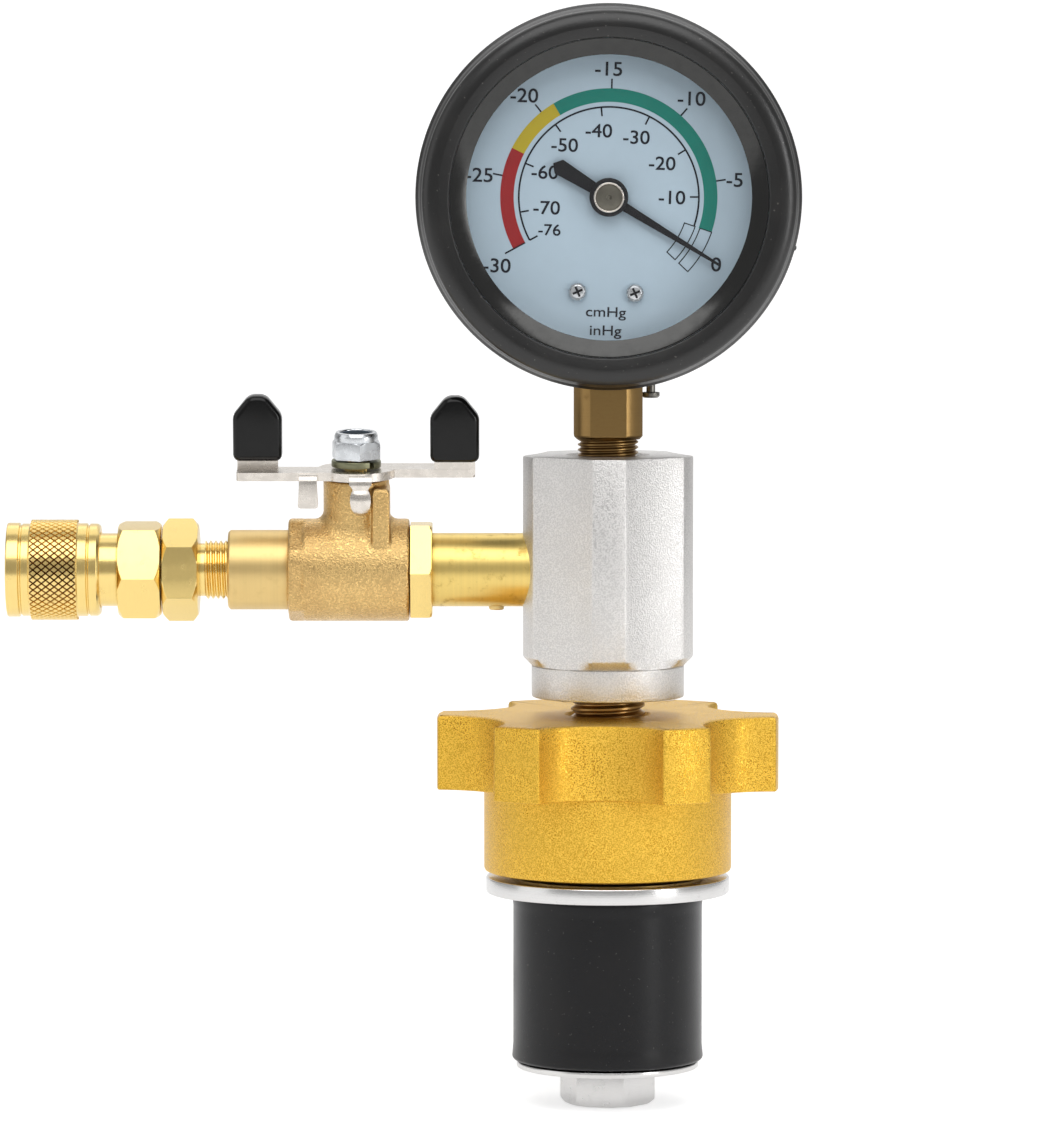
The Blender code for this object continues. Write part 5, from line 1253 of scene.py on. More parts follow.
@dataclass(frozen=True)
class NeckClamp:
    """The bottom nut, washer, stopper, flange and the threaded centre tube."""

    tube_radius: float = 6.65
    tube_end_radius: float = 5.5
    tube_bore: float = 3.8
    tube_bottom: float = -37.9
    tube_top: float = 50.0
    thread_low: float = 27.0
    thread_high: float = 34.3
    thread_pitch: float = 1.5
    thread_depth: float = 0.75
    shoulder: float = 35.0
    relief_radius: float = 5.2
    nut_flats: float = 15.0
    nut_turn: float = -10.4
    nut_low: float = -38.2
    nut_high: float = -32.0
    nut_chamfer: float = 0.8
    washer_radius: float = 16.4
    washer_low: float = -31.7
    washer_high: float = -30.6
    stopper_radius: float = 17.2
    stopper_low: float = -30.3
    stopper_high: float = -0.3
    stopper_edge: float = 0.7
    flange_radius: float = 21.9
    flange_thickness: float = 2.9
    thrust_radius: float = 17.0
    thrust_low: float = 3.2
    thrust_high: float = 4.7
    gap: float = 0.3
    stroke: float = 4.1
    wall_low: float = 3.0
    wall_high: float = 2.0
    wall_rows: int = 24

    def build(self) -> None:
        """Make every piece of the clamp below the knob."""
        bore = self.tube_end_radius + self.gap
        nut = hexagon(self.nut_flats, self.nut_low, self.nut_high, bore, self.nut_chamfer, self.nut_turn)
        make_piece("BottomNut", nut, MAIN, PALETTE.bright, stands_for=["bottom_nut"])
        washer = ring(bore, self.washer_radius, self.washer_low, self.washer_high, Steps.LARGE, 0.25)
        make_piece("BottomWasher", washer, MAIN, PALETTE.bright, stands_for=["bottom_washer"])
        self.build_tube()
        self.build_stopper()
        self.build_flange()

    def build_tube(self) -> None:
        """The tube: a threaded middle between two turned-down ends."""
        meeting = self.thread_low + 0.05
        bore = self.tube_bore
        end = self.tube_end_radius
        under = turned(
            [
                (bore, self.tube_bottom),
                (end, self.tube_bottom),
                (end, self.stopper_low),
                (self.tube_radius, self.stopper_low),
                (self.tube_radius, meeting),
                (bore, meeting),
            ],
            soft=0.4,
        )
        levels = self.thread_low, self.thread_high
        thread = Thread(self.tube_radius, self.thread_depth, self.thread_pitch, *levels)
        relief = self.thread_high - 0.5
        over = turned(
            [
                (bore, relief),
                (self.relief_radius, relief),
                (self.relief_radius, self.shoulder),
                (end, self.shoulder),
                (end, self.tube_top),
                (bore, self.tube_top),
            ]
        )
        forms = [under, thread.form(bore), over]
        # painted shade: the tube's finish is darkened for the shade under the collar
        make_piece("CentreTube", forms, MAIN, PALETTE.tube, stands_for=["centre_tube"])

    def build_stopper(self) -> None:
        """The stopper, with many rows along its wall and a mesh of its own; its rims stand slightly proud."""
        bore = self.tube_radius + self.gap
        edge = self.stopper_edge
        rim = self.stopper_radius - edge
        waist = self.stopper_radius - 0.2
        low = self.stopper_low + self.wall_low
        high = self.stopper_high - self.wall_high
        rows = self.wall_rows
        profile = [
            (bore, self.stopper_low),
            *arc((rim, self.stopper_low + edge), edge, -90, 0, 5),
            (waist, low),
            *[(waist, low + (high - low) * (row / rows)) for row in range(1, rows)],
            (waist, high),
            *arc((rim, self.stopper_high - edge), edge, 0, 90, 5),
            (bore, self.stopper_high),
        ]
        form = Form().turned(profile, Steps.LARGE)
        stopper = make_piece("RubberStopper", form, MAIN, PALETTE.stopper, stands_for=["rubber_stopper"])
        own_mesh(stopper)

    def build_flange(self) -> None:
        """The flange that rests on the neck, and the thrust washer over it."""
        bore = self.tube_radius + self.gap
        flange = ring(bore, self.flange_radius, 0.0, self.flange_thickness, Steps.LARGE, 0.3)
        make_piece("ClampFlange", flange, MAIN, PALETTE.bright, Body.CLAMP, ["clamp_flange"])
        thrust = ring(bore, self.thrust_radius, self.thrust_low, self.thrust_high, Steps.LARGE)
        make_piece("ThrustWasher", thrust, MAIN, PALETTE.machined, Body.CLAMP, ["thrust_washer"])


@dataclass(frozen=True)
class StarKnob:
    """The gold knob: a round skirt and a six-armed star with rounded scallops between the arms."""

    skirt_radius: float = 22.25
    skirt_low: float = 3.9
    ledge: float = 18.7
    top: float = 32.1
    outer_radius: float = 30.7
    bore: float = 6.95
    recess_radius: float = 17.3
    recess_top: float = 5.0
    scallop_radius: float = 13.0
    scallop_distance: float = 35.5
    scallop_count: int = 6
    first_scallop: float = -93.0
    edge: float = 0.65
    corner: float = 1.6
    mouth: float = 1.0
    scallop_steps: int = 26
    tip_steps: int = 12

    def outline(self) -> Outline:
        """The star: arm tips on one circle, joined by scallops.

        Returns:
            Its points, counter-clockwise.
        """
        reach = self.outer_radius
        away = self.scallop_distance
        half = degrees(acos((reach**2 + away**2 - self.scallop_radius**2) / (2 * reach * away)))
        step = 360 / self.scallop_count
        corners: Outline = []
        for index in range(self.scallop_count):
            middle = self.first_scallop + index * step
            centre = polar(away, middle)
            first = Vector(polar(reach, middle - half)) - Vector(centre)
            start = degrees(atan2(first.y, first.x))
            last = Vector(polar(reach, middle + half)) - Vector(centre)
            end = degrees(atan2(last.y, last.x))
            sweep = (end - start) % 360 - 360
            corners += arc(centre, self.scallop_radius, start, start + sweep, self.scallop_steps)
            corners += arc((0, 0), reach, middle + half, middle + step - half, self.tip_steps)[1:-1]
        return rounded(corners, self.corner, 4)

    def build(self) -> None:
        """Make the knob as one piece."""
        outline = self.outline()
        skirt = self.skirt_radius
        bottom = self.skirt_low
        edge = self.edge
        slight = 0.3 * edge

        def circle(radius: float) -> Outline:
            """A round layer with the star's own angles."""
            return [polar(radius, degrees(atan2(y, x))) for x, y in outline]

        layers = [
            (circle(self.bore), self.recess_top),
            (circle(self.recess_radius), self.recess_top),
            (circle(self.recess_radius), bottom + 0.2),
            (circle(self.recess_radius + 0.2), bottom),
            (circle(skirt - edge), bottom),
            (circle(skirt - slight), bottom + slight),
            (circle(skirt), bottom + edge),
            (circle(skirt), self.ledge - 0.1),
            (circle(skirt + 0.12), self.ledge),
            (inset(outline, 0.15), self.ledge),
            (outline, self.ledge + 0.15),
            (outline, self.top - edge),
            (inset(outline, slight), self.top - slight),
            (inset(outline, edge), self.top),
            (inset(outline, edge + 0.2), self.top),
            (circle(self.bore + self.mouth + 0.3), self.top),
            (circle(self.bore + self.mouth), self.top),
            (circle(self.bore), self.top - self.mouth),
        ]
        knob = Form().stacked(layers, ring_shaped=True)
        make_piece("StarKnob", knob, MAIN, PALETTE.gold, Body.KNOB, ["star_knob"])


@dataclass(frozen=True)
class Manifold:
    """The silver body with its collar and five shallow flutes."""

    collar_radius: float = 13.7
    collar_low: float = 35.3
    collar_high: float = 41.0
    radius: float = 15.4
    top: float = 78.8
    flute_radius: float = 50.0
    flute_distance: float = 63.5
    flute_half: float = 25.2
    flute_count: int = 5
    first_flute: float = 90.0
    port_radius: float = 5.75
    countersink: float = 1.8
    tube_hole: float = 5.8
    port_depth: float = 10.8
    edge: float = 0.4
    collar_edge: float = 0.35
    flute_steps: int = 12
    land_steps: int = 8

    def flute_point(self, offset: float, middle: float) -> Pair:
        """A point on one flute's floor.

        Args:
            offset: Its angle from the flute's middle, in degrees.
            middle: Angle of that middle.

        Returns:
            The point.
        """
        swing = self.flute_distance * sin(radians(offset))
        reach = self.flute_distance * cos(radians(offset)) - sqrt(self.flute_radius**2 - swing**2)
        return polar(reach, middle + offset)

    def outline(self) -> Outline:
        """The body's section, land by land.

        Returns:
            Its points, counter-clockwise.
        """
        step = 360 / self.flute_count
        points: Outline = []
        for index in range(self.flute_count):
            middle = self.first_flute + index * step
            for share in range(-self.flute_steps, self.flute_steps + 1):
                points.append(self.flute_point(self.flute_half * share / self.flute_steps, middle))
            land = middle + self.flute_half, middle + step - self.flute_half
            points += arc((0, 0), self.radius, *land, self.land_steps)[1:-1]
        return rounded(points, 0.25, 2)

    def build(self) -> None:
        """Make the collar and the fluted body as one piece."""
        outline = self.outline()

        def circle(radius: float) -> Outline:
            """A round layer with the section's own angles."""
            return [polar(radius, degrees(atan2(y, x))) for x, y in outline]

        collar = self.collar_radius
        shoulder = self.collar_high + self.radius - collar
        edge = self.edge
        bottom = self.top - self.port_depth
        layers = [
            (circle(self.tube_hole), self.collar_low),
            (circle(collar - self.collar_edge), self.collar_low),
            (circle(collar - 0.1), self.collar_low + 0.1),
            (circle(collar), self.collar_low + self.collar_edge),
            (circle(collar), self.collar_high - 0.15),
            (circle(collar - 0.2), self.collar_high),
            (held_in(outline, collar + 0.1), self.collar_high + 0.1),
            (held_in(outline, self.radius - 0.15), shoulder - 0.15),
            (held_in(outline, self.radius), shoulder + 0.2),
            (outline, self.top - edge),
            (inset(outline, 0.3 * edge), self.top - 0.3 * edge),
            (inset(outline, edge), self.top),
            (circle(self.port_radius + self.countersink), self.top),
            (circle(self.port_radius + 0.1), self.top - self.countersink + 0.1),
            (circle(self.port_radius), self.top - self.countersink - 0.2),
            (circle(self.port_radius), bottom),
            (circle(self.tube_hole - 1.0), bottom),
        ]
        body = Form().stacked(layers, ring_shaped=True)
        make_piece("ManifoldBody", body, MAIN, PALETTE.silver, stands_for=["manifold_body"])


@dataclass(frozen=True)
class GaugeSocket:
    """The darker brass socket under the gauge: a short thread, a square shank and the block in the case."""

    thread_radius: float = 5.45
    thread_low: float = 74.0
    shank_low: float = 81.7
    shank_high: float = 98.0
    flats: float = 12.3
    shank_radius: float = 6.95
    chamfer: float = 0.6
    block_width: float = 18.0
    block_low: float = 97.85
    block_high: float = 110.85
    thread_depth: float = 0.55
    thread_pitch: float = 0.94
    bore: float = 2.0
    flat_steps: int = 6
    corner_steps: int = 8
    screw_place: Pair = (7.7, 2.5)
    screw_profile: tuple[Pair, ...] = (
        (0.0, 88.9), (1.3, 88.9), (1.6, 89.2), (1.6, 89.9), (0.8, 89.9), (0.8, 92.0), (0.0, 92.0),
    )

    def shank_outline(self) -> Outline:
        """The square shank's section, with its corners turned round.

        Returns:
            Its points, counter-clockwise.
        """
        half = self.flats / 2
        turn = degrees(acos(half / self.shank_radius))
        outline: Outline = []
        for quarter in range(4):
            middle = quarter * 90
            for share in range(-self.flat_steps, self.flat_steps + 1):
                offset = turn * share / self.flat_steps
                outline.append(polar(half / cos(radians(offset)), middle + offset))
            corner = middle + turn, middle + 90 - turn
            outline += arc((0, 0), self.shank_radius, *corner, self.corner_steps)[1:-1]
        return outline

    def build(self) -> None:
        """Make the socket as one piece, and the screw beside it."""
        ends = self.thread_low, self.shank_low + 0.1
        thread = Thread(self.thread_radius, self.thread_depth, self.thread_pitch, *ends)
        outline = self.shank_outline()
        chamfer = self.chamfer
        shank = Form().stacked(
            [
                (inset(outline, chamfer), self.shank_low),
                (inset(outline, 0.1), self.shank_low + chamfer * CHAMFER_SLOPE),
                (outline, self.shank_low + chamfer + 0.1),
                (outline, self.shank_high),
            ]
        )
        wide = self.block_width / 2
        deep = self.flats / 2
        corners = rounded(box(-wide, wide, -deep, deep), 0.3)
        block = Form().prism(corners, self.block_low, self.block_high, 0.2)
        forms = [thread.form(self.bore), shank, block]
        make_piece("GaugeSocket", forms, MAIN, PALETTE.olive, stands_for=["gauge_socket"], sharp=20.0)
        screw = turned(self.screw_profile).moved(Matrix.Translation((*self.screw_place, 0)))
        make_piece("CaseScrew", screw, MAIN, PALETTE.screw, stands_for=["case_screw"])


@dataclass(frozen=True)
class GaugeShells:
    """The boot, case, bezel and lens of the gauge; heights are depths toward the viewer."""

    case_radius: float = 30.0
    case_back: float = -11.0
    case_front: float = 10.6
    bezel_opening: float = 25.3
    bezel_front: float = 14.6
    bezel_back: float = 12.8
    bezel_rise: float = 1.05
    bezel_outer: float = 31.1
    lens_back: float = 11.6
    lens_front: float = 12.6
    liner_inner: float = 26.9
    liner_outer: float = 28.7
    mouth: float = 28.25
    crest: float = 30.25
    lip_rise: float = 0.35
    shoulder_drop: float = 1.9
    ring_radius: float = 33.2
    outer_radius: float = 34.4
    front: float = 17.3
    ring_back: float = 9.3
    back: float = -12.5
    back_opening: float = 26.0
    nub_angle: float = -15.5
    wall: float = 1.0
    gap: float = 0.3
    bezel_wall: float = 0.8
    bezel_depth: float = 5.6
    liner_depth: float = 2.6

    def build(self) -> None:
        """Make the shells."""
        self.build_boot()
        case = turned(
            [
                (0.0, self.case_back),
                (self.case_radius, self.case_back),
                (self.case_radius, self.case_front),
                (self.case_radius - self.wall, self.case_front),
                (self.case_radius - self.wall, self.case_back + self.wall),
                (0.0, self.case_back + self.wall),
            ],
            Steps.LARGE,
            0.8,
        )
        make_piece("GaugeCase", case, GAUGE, PALETTE.black, stands_for=["gauge_case"])
        back = self.bezel_back
        outer = self.bezel_outer
        wall = outer - self.bezel_wall
        bezel = turned(
            [
                (self.bezel_opening, back),
                (self.mouth - 0.1, back + self.bezel_rise),
                (outer, back + self.bezel_rise),
                (outer, back - self.bezel_depth),
                (wall, back - self.bezel_depth),
                (wall, back - 0.2),
                (self.bezel_opening, back - 0.2),
            ],
            Steps.LARGE,
            0.05,
        )
        make_piece("GaugeBezel", bezel, GAUGE, PALETTE.bezel, stands_for=["gauge_bezel"])
        lens = ring(0.0, self.case_radius - 0.2, self.lens_back, self.lens_front, Steps.LARGE, 0.2)
        make_piece("GaugeLens", lens, GAUGE, PALETTE.lens, stands_for=["gauge_lens"])
        seat = self.case_front - self.liner_depth
        liner = ring(self.liner_inner, self.liner_outer, seat, self.case_front, Steps.LARGE, 0.1)
        make_piece("GaugeLiner", liner, GAUGE, PALETTE.liner)

    def build_boot(self) -> None:
        """The boot: a lip that slopes in to the mouth, the front roll and the wider back, with a nub."""
        lip_front = self.front - self.lip_rise
        inner = self.bezel_front + self.gap
        case = self.case_radius + self.gap
        bezel = self.bezel_outer + self.gap
        roll = (self.crest, self.front - self.shoulder_drop)
        outer = self.outer_radius
        back = self.back
        profile = [
            (self.mouth, inner),
            (self.mouth, lip_front - 0.25),
            (self.mouth + 0.25, lip_front),
            (self.crest, self.front),
            *ellipse(roll, self.ring_radius - self.crest, self.shoulder_drop),
            (self.ring_radius + 0.05, self.ring_back + 1.0),
            (self.ring_radius + 0.4, self.ring_back + 0.2),
            (outer - 0.5, self.ring_back - 1.0),
            (outer, self.ring_back - 1.8),
            (outer, -3.0),
            (outer, back + 2.2),
            (outer - 0.6, back + 0.7),
            (outer - 2.0, back),
            (self.back_opening, back),
            (self.back_opening, back + 1.2),
            (case, back + 1.2),
            (case, 6.0),
            (bezel, 7.0),
            (bezel, inner),
        ]
        boot = turned(profile, Steps.LARGE, 0.25)
        nub = turned([(0.0, 0.0), (0.55, 0.0), (0.40, 0.9), (0.0, 1.0)], Steps.TINY, 0.1)
        nub.moved(Matrix.Rotation(radians(self.nub_angle), 4, "Z") @ Matrix.Rotation(pi / 2, 4, "Y"))
        side = polar(outer - 0.5, self.nub_angle)
        nub.moved(Matrix.Translation((*side, 2.0)))
        make_piece("GaugeBoot", [boot, nub], GAUGE, PALETTE.boot, stands_for=["gauge_boot"])


class Print:
    """Flat printing on the dial, gathered by colour."""

    thickness = 0.02
    digit_height = 0.65
    widening = 1.10
    boldness = 0.009
    layer_step = 0.003
    layers = ((-1, -1), (1, -1), (-1, 1), (1, 1))
    curve_steps = 6
    band_step = 2.0

    def __init__(self, level: float) -> None:
        """Print at this height."""
        self.level = level
        self.face = level + self.thickness

    def band(self, inner: float, outer: float, start: float, end: float) -> Form:
        """A filled stretch of a ring.

        Args:
            inner: Its inner radius.
            outer: Its outer radius.
            start: Its first angle, in degrees.
            end: Its last angle.

        Returns:
            The form.
        """
        steps = ceil(abs(end - start) / self.band_step)
        outline = arc((0, 0), outer, start, end, steps) + arc((0, 0), inner, end, start, steps)
        return Form().prism(outline, self.level, self.face)

    def tick(self, inner: float, outer: float, angle: float, width: float) -> Form:
        """A straight radial line between two radii."""
        bar = Form().prism(box(inner, outer, -width / 2, width / 2), self.level, self.face)
        return bar.moved(Matrix.Rotation(radians(angle), 4, "Z"))

    def frame(self, inner: float, outer: float, start: float, end: float, width: float) -> list[Form]:
        """An outlined stretch of a ring.

        Args:
            inner: Its inner radius.
            outer: Its outer radius.
            start: Its first angle, in degrees.
            end: Its last angle.
            width: Width of its lines.

        Returns:
            The four lines.
        """
        return [
            self.band(inner, inner + width, start, end),
            self.band(outer - width, outer, start, end),
            self.tick(inner, outer, start, width),
            self.tick(inner, outer, end, width),
        ]

    def text(self, words: str, centre: Pair, height: float, width: float = 0.0) -> Form:
        """Words drawn with Blender's own font, in four layers a little apart, which make them bolder.

        Args:
            words: What is written.
            centre: Where its middle lies on the dial.
            height: Height of a digit or a capital.
            width: Full width to fit, or 0 for the font's own.

        Returns:
            The letters as one form.
        """
        curve = bpy.data.curves.new("text", "FONT")
        curve.body = words
        curve.align_x = "CENTER"
        curve.align_y = "CENTER"
        curve.resolution_u = self.curve_steps
        holder = linked("text", curve)
        bpy.context.view_layer.update()
        drawn = holder.evaluated_get(bpy.context.evaluated_depsgraph_get())
        mesh = bpy.data.meshes.new_from_object(drawn)
        xs = [vertex.co.x for vertex in mesh.vertices]
        scale = height / self.digit_height
        stretch = width / ((max(xs) - min(xs)) * scale) if width else self.widening
        bold = self.boldness * scale
        form = Form()
        for layer, (right, up) in enumerate(self.layers):
            first = len(form.points)
            level = self.face + self.layer_step * layer
            for vertex in mesh.vertices:
                x = vertex.co.x * scale * stretch + centre[0] + right * bold
                form.points.append((x, vertex.co.y * scale + centre[1] + up * bold, level))
            form.faces += [tuple(first + corner for corner in face.vertices) for face in mesh.polygons]
        bpy.data.objects.remove(holder, do_unlink=True)
        bpy.data.meshes.remove(mesh)
        bpy.data.curves.remove(curve)
        return form


@dataclass(frozen=True)
class Dial:
    """The dial with its two scales, and its screws."""

    radius: float = 26.6
    back: float = 7.75
    front: float = 8.35
    hole: float = 2.0
    turn: float = -1.5
    zero: float = -30.0
    outer_step: float = 40.0
    outer_labels: tuple[tuple[int, Pair], ...] = (
        (0, (19.4, -11.6)), (-5, (22.3, 3.5)), (-10, (14.2, 17.7)), (-15, (-0.6, 22.6)),
        (-20, (-15.5, 17.5)), (-25, (-23.1, 3.2)), (-30, (-19.6, -12.8)),
    )
    inner_labels: tuple[tuple[int, Pair], ...] = (
        (-10, (11.2, 0.1)), (-20, (9.3, 6.1)), (-30, (4.6, 10.6)), (-40, (-2.1, 11.6)), (-50, (-8.1, 8.9)),
        (-60, (-11.5, 4.0)), (-70, (-11.0, -2.3)), (-76, (-10.4, -6.2)),
    )
    inner_per_unit: float = 3.158
    outer_height: float = 2.3
    inner_height: float = 2.2
    last_height: float = 1.85
    outer_tick: Pair = (21.0, 0.29)
    inner_tick: tuple[float, float, float] = (14.4, 16.0, 0.30)
    scale_line: Pair = (15.84, 16.16)
    zero_frames: tuple[Pair, ...] = ((17.0, 19.4), (14.1, 16.3))
    frame_line: float = 0.20
    units: tuple[tuple[str, Pair, float], ...] = (("cmHg", (0.0, -20.5), 7.1), ("inHg", (0.0, -23.8), 5.6))
    unit_height: float = 1.64
    band_inner: float = 16.9
    band_outer: float = 19.3
    red_start: float = 210.0
    yellow_start: float = 154.5
    green_start: float = 122.2
    green_end: float = -17.4
    frame_start: float = -41.8
    frame_end: float = -17.3
    screw_spread: float = 10.2
    screw_drop: float = 16.9
    screw_shaft: float = 0.8
    screw_head: float = 1.6
    cross_turns: Pair = (25.0, 115.0)
    cross_half: Pair = (0.95, 0.2)

    def place(self) -> Matrix:
        """The gauge's frame, turned as the dial sits in the case."""
        return GAUGE @ Matrix.Rotation(radians(self.turn), 4, "Z")

    def build(self) -> None:
        """Make the plate, its print and its screws."""
        plate = ring(self.hole, self.radius, self.back, self.front, Steps.LARGE, 0.05)
        make_piece("DialPlate", plate, self.place(), PALETTE.dial, stands_for=["gauge_dial"])
        self.build_print()
        self.build_screws()

    def build_print(self) -> None:
        """Print the bands, ticks, numbers and units."""
        sheet = Print(self.front + 0.01)
        for name, finish, start, end in (
            ("DialRedBand", PALETTE.red, self.red_start, self.yellow_start),
            ("DialYellowBand", PALETTE.yellow, self.yellow_start, self.green_start),
            ("DialGreenBand", PALETTE.green, self.green_start, self.green_end),
        ):
            band = sheet.band(self.band_inner, self.band_outer, start, end)
            make_piece(name, band, self.place(), finish)
        forms = [sheet.band(*self.scale_line, self.green_end, self.red_start)]
        for inner, outer in self.zero_frames:
            forms += sheet.frame(inner, outer, self.frame_start, self.frame_end, self.frame_line)
        end, width = self.outer_tick
        for index, (number, middle) in enumerate(self.outer_labels):
            angle = self.zero + self.outer_step * index
            start = self.band_inner if index in (0, len(self.outer_labels) - 1) else self.band_outer
            forms.append(sheet.tick(start, end, angle, width))
            forms.append(sheet.text(str(number), middle, self.outer_height))
        start, end, width = self.inner_tick
        last = self.inner_labels[-1][0]
        for number, middle in self.inner_labels:
            angle = self.zero - self.inner_per_unit * number
            forms.append(sheet.tick(start, end, angle, width))
            height = self.last_height if number == last else self.inner_height
            forms.append(sheet.text(str(number), middle, height))
        for unit, middle, width in self.units:
            forms.append(sheet.text(unit, middle, self.unit_height, width))
        make_piece("DialPrint", forms, self.place(), PALETTE.ink)

    def build_screws(self) -> None:
        """Two pan-head screws, each with a black cross of painted shade standing for its cross recess."""
        level = self.front + 0.3
        head_profile = [
            (0.0, level - 2.0),
            (self.screw_shaft, level - 2.0),
            (self.screw_shaft, level),
            (self.screw_head, level),
            (self.screw_head, level + 0.35),
            (1.15, level + 0.8),
            (0.0, level + 0.95),
        ]
        long, short = self.cross_half
        for side, side_name in ((-1, "Left"), (1, "Right")):
            head = turned(head_profile, Steps.SMALL, 0.25)
            # painted shade: a black cross set into the head stands for the shaded recess
            cross = []
            for turn in self.cross_turns:
                slot = Form().prism(box(-long, long, -short, short), level + 0.80, level + 0.97)
                cross.append(slot.moved(Matrix.Rotation(radians(turn), 4, "Z")))
            shift = Matrix.Translation((side * self.screw_spread / 2, -self.screw_drop, 0))
            for form in (head, *cross):
                form.moved(shift)
            node = f"dial_screw_{side_name.lower()}"
            make_piece(f"DialScrew{side_name}", head, self.place(), PALETTE.zinc, stands_for=[node])
            make_piece(f"DialScrewRecessShade{side_name}", cross, self.place(), PALETTE.black)


@dataclass(frozen=True)
class Pointer:
    """The black pointer with its hub and bright cap."""

    angle: float = -31.5
    reach: float = 23.3
    tail: float = 11.6
    hub_radius: float = 3.44
    bore: float = 0.9
    low: float = 8.85
    high: float = 10.25
    cap_radius: float = 2.7
    cap_rim: float = 0.34
    cap_high: float = 11.45

    def build(self) -> None:
        """Make the blade with its hub, and the cap."""
        place = GAUGE @ Matrix.Rotation(radians(self.angle), 4, "Z")
        outline = [
            (-self.tail, 0.0),
            (-self.tail + 1.2, -1.45),
            (-self.hub_radius, -1.05),
            (self.hub_radius, -0.8),
            (self.reach, -0.22),
            (self.reach, 0.22),
            (self.hub_radius, 0.8),
            (-self.hub_radius, 1.05),
            (-self.tail + 1.2, 1.45),
        ]
        blade = Form().prism(rounded(outline, 0.15), self.low + 0.25, self.low + 0.75, 0.08)
        hub = ring(self.bore, self.hub_radius, self.low, self.high, soft=0.3)
        make_piece("PointerBlade", [blade, hub], place, PALETTE.black, Body.POINTER, ["pointer"])
        bottom = self.high + 0.3
        inner = self.cap_radius - self.cap_rim
        cap = turned(
            [
                (0.0, bottom),
                (inner, bottom),
                (inner, self.cap_high - 0.35),
                (0.42, self.cap_high - 0.15),
                (0.30, self.cap_high - 0.5),
                (0.0, self.cap_high - 0.5),
            ],
            soft=0.06,
        )
        rim = ring(inner, self.cap_radius, bottom, self.cap_high, soft=0.14)
        make_piece("PointerCapRim", rim, place, PALETTE.nickel, Body.POINTER)
        make_piece("PointerCap", cap, place, PALETTE.cap, Body.POINTER, ["pointer_cap"])


@dataclass(frozen=True)
class SidePipe:
    """The stained brass pipe and the pin on its underside."""

    radius: float = 6.6
    bore: float = 3.5
    left: float = -34.6
    right: float = -8.5
    pin_x: float = -20.0
    pin_radius: float = 1.35
    pin_length: float = 2.8

    def build(self) -> None:
        """Make the pipe and its pin."""
        pipe = ring(self.bore, self.radius, self.left, self.right)
        make_piece("SidePipe", pipe, ARM, PALETTE.pipe, stands_for=["side_pipe"])
        top = self.radius + 0.6
        pin = ring(0.0, self.pin_radius, top - self.pin_length, top, Steps.SMALL, 0.3)
        pin.moved(Matrix.Translation((0, 0, self.pin_x)) @ Matrix.Rotation(pi / 2, 4, "Y"))
        make_piece("PipePin", pin, ARM, PALETTE.machined, stands_for=["pipe_pin"])


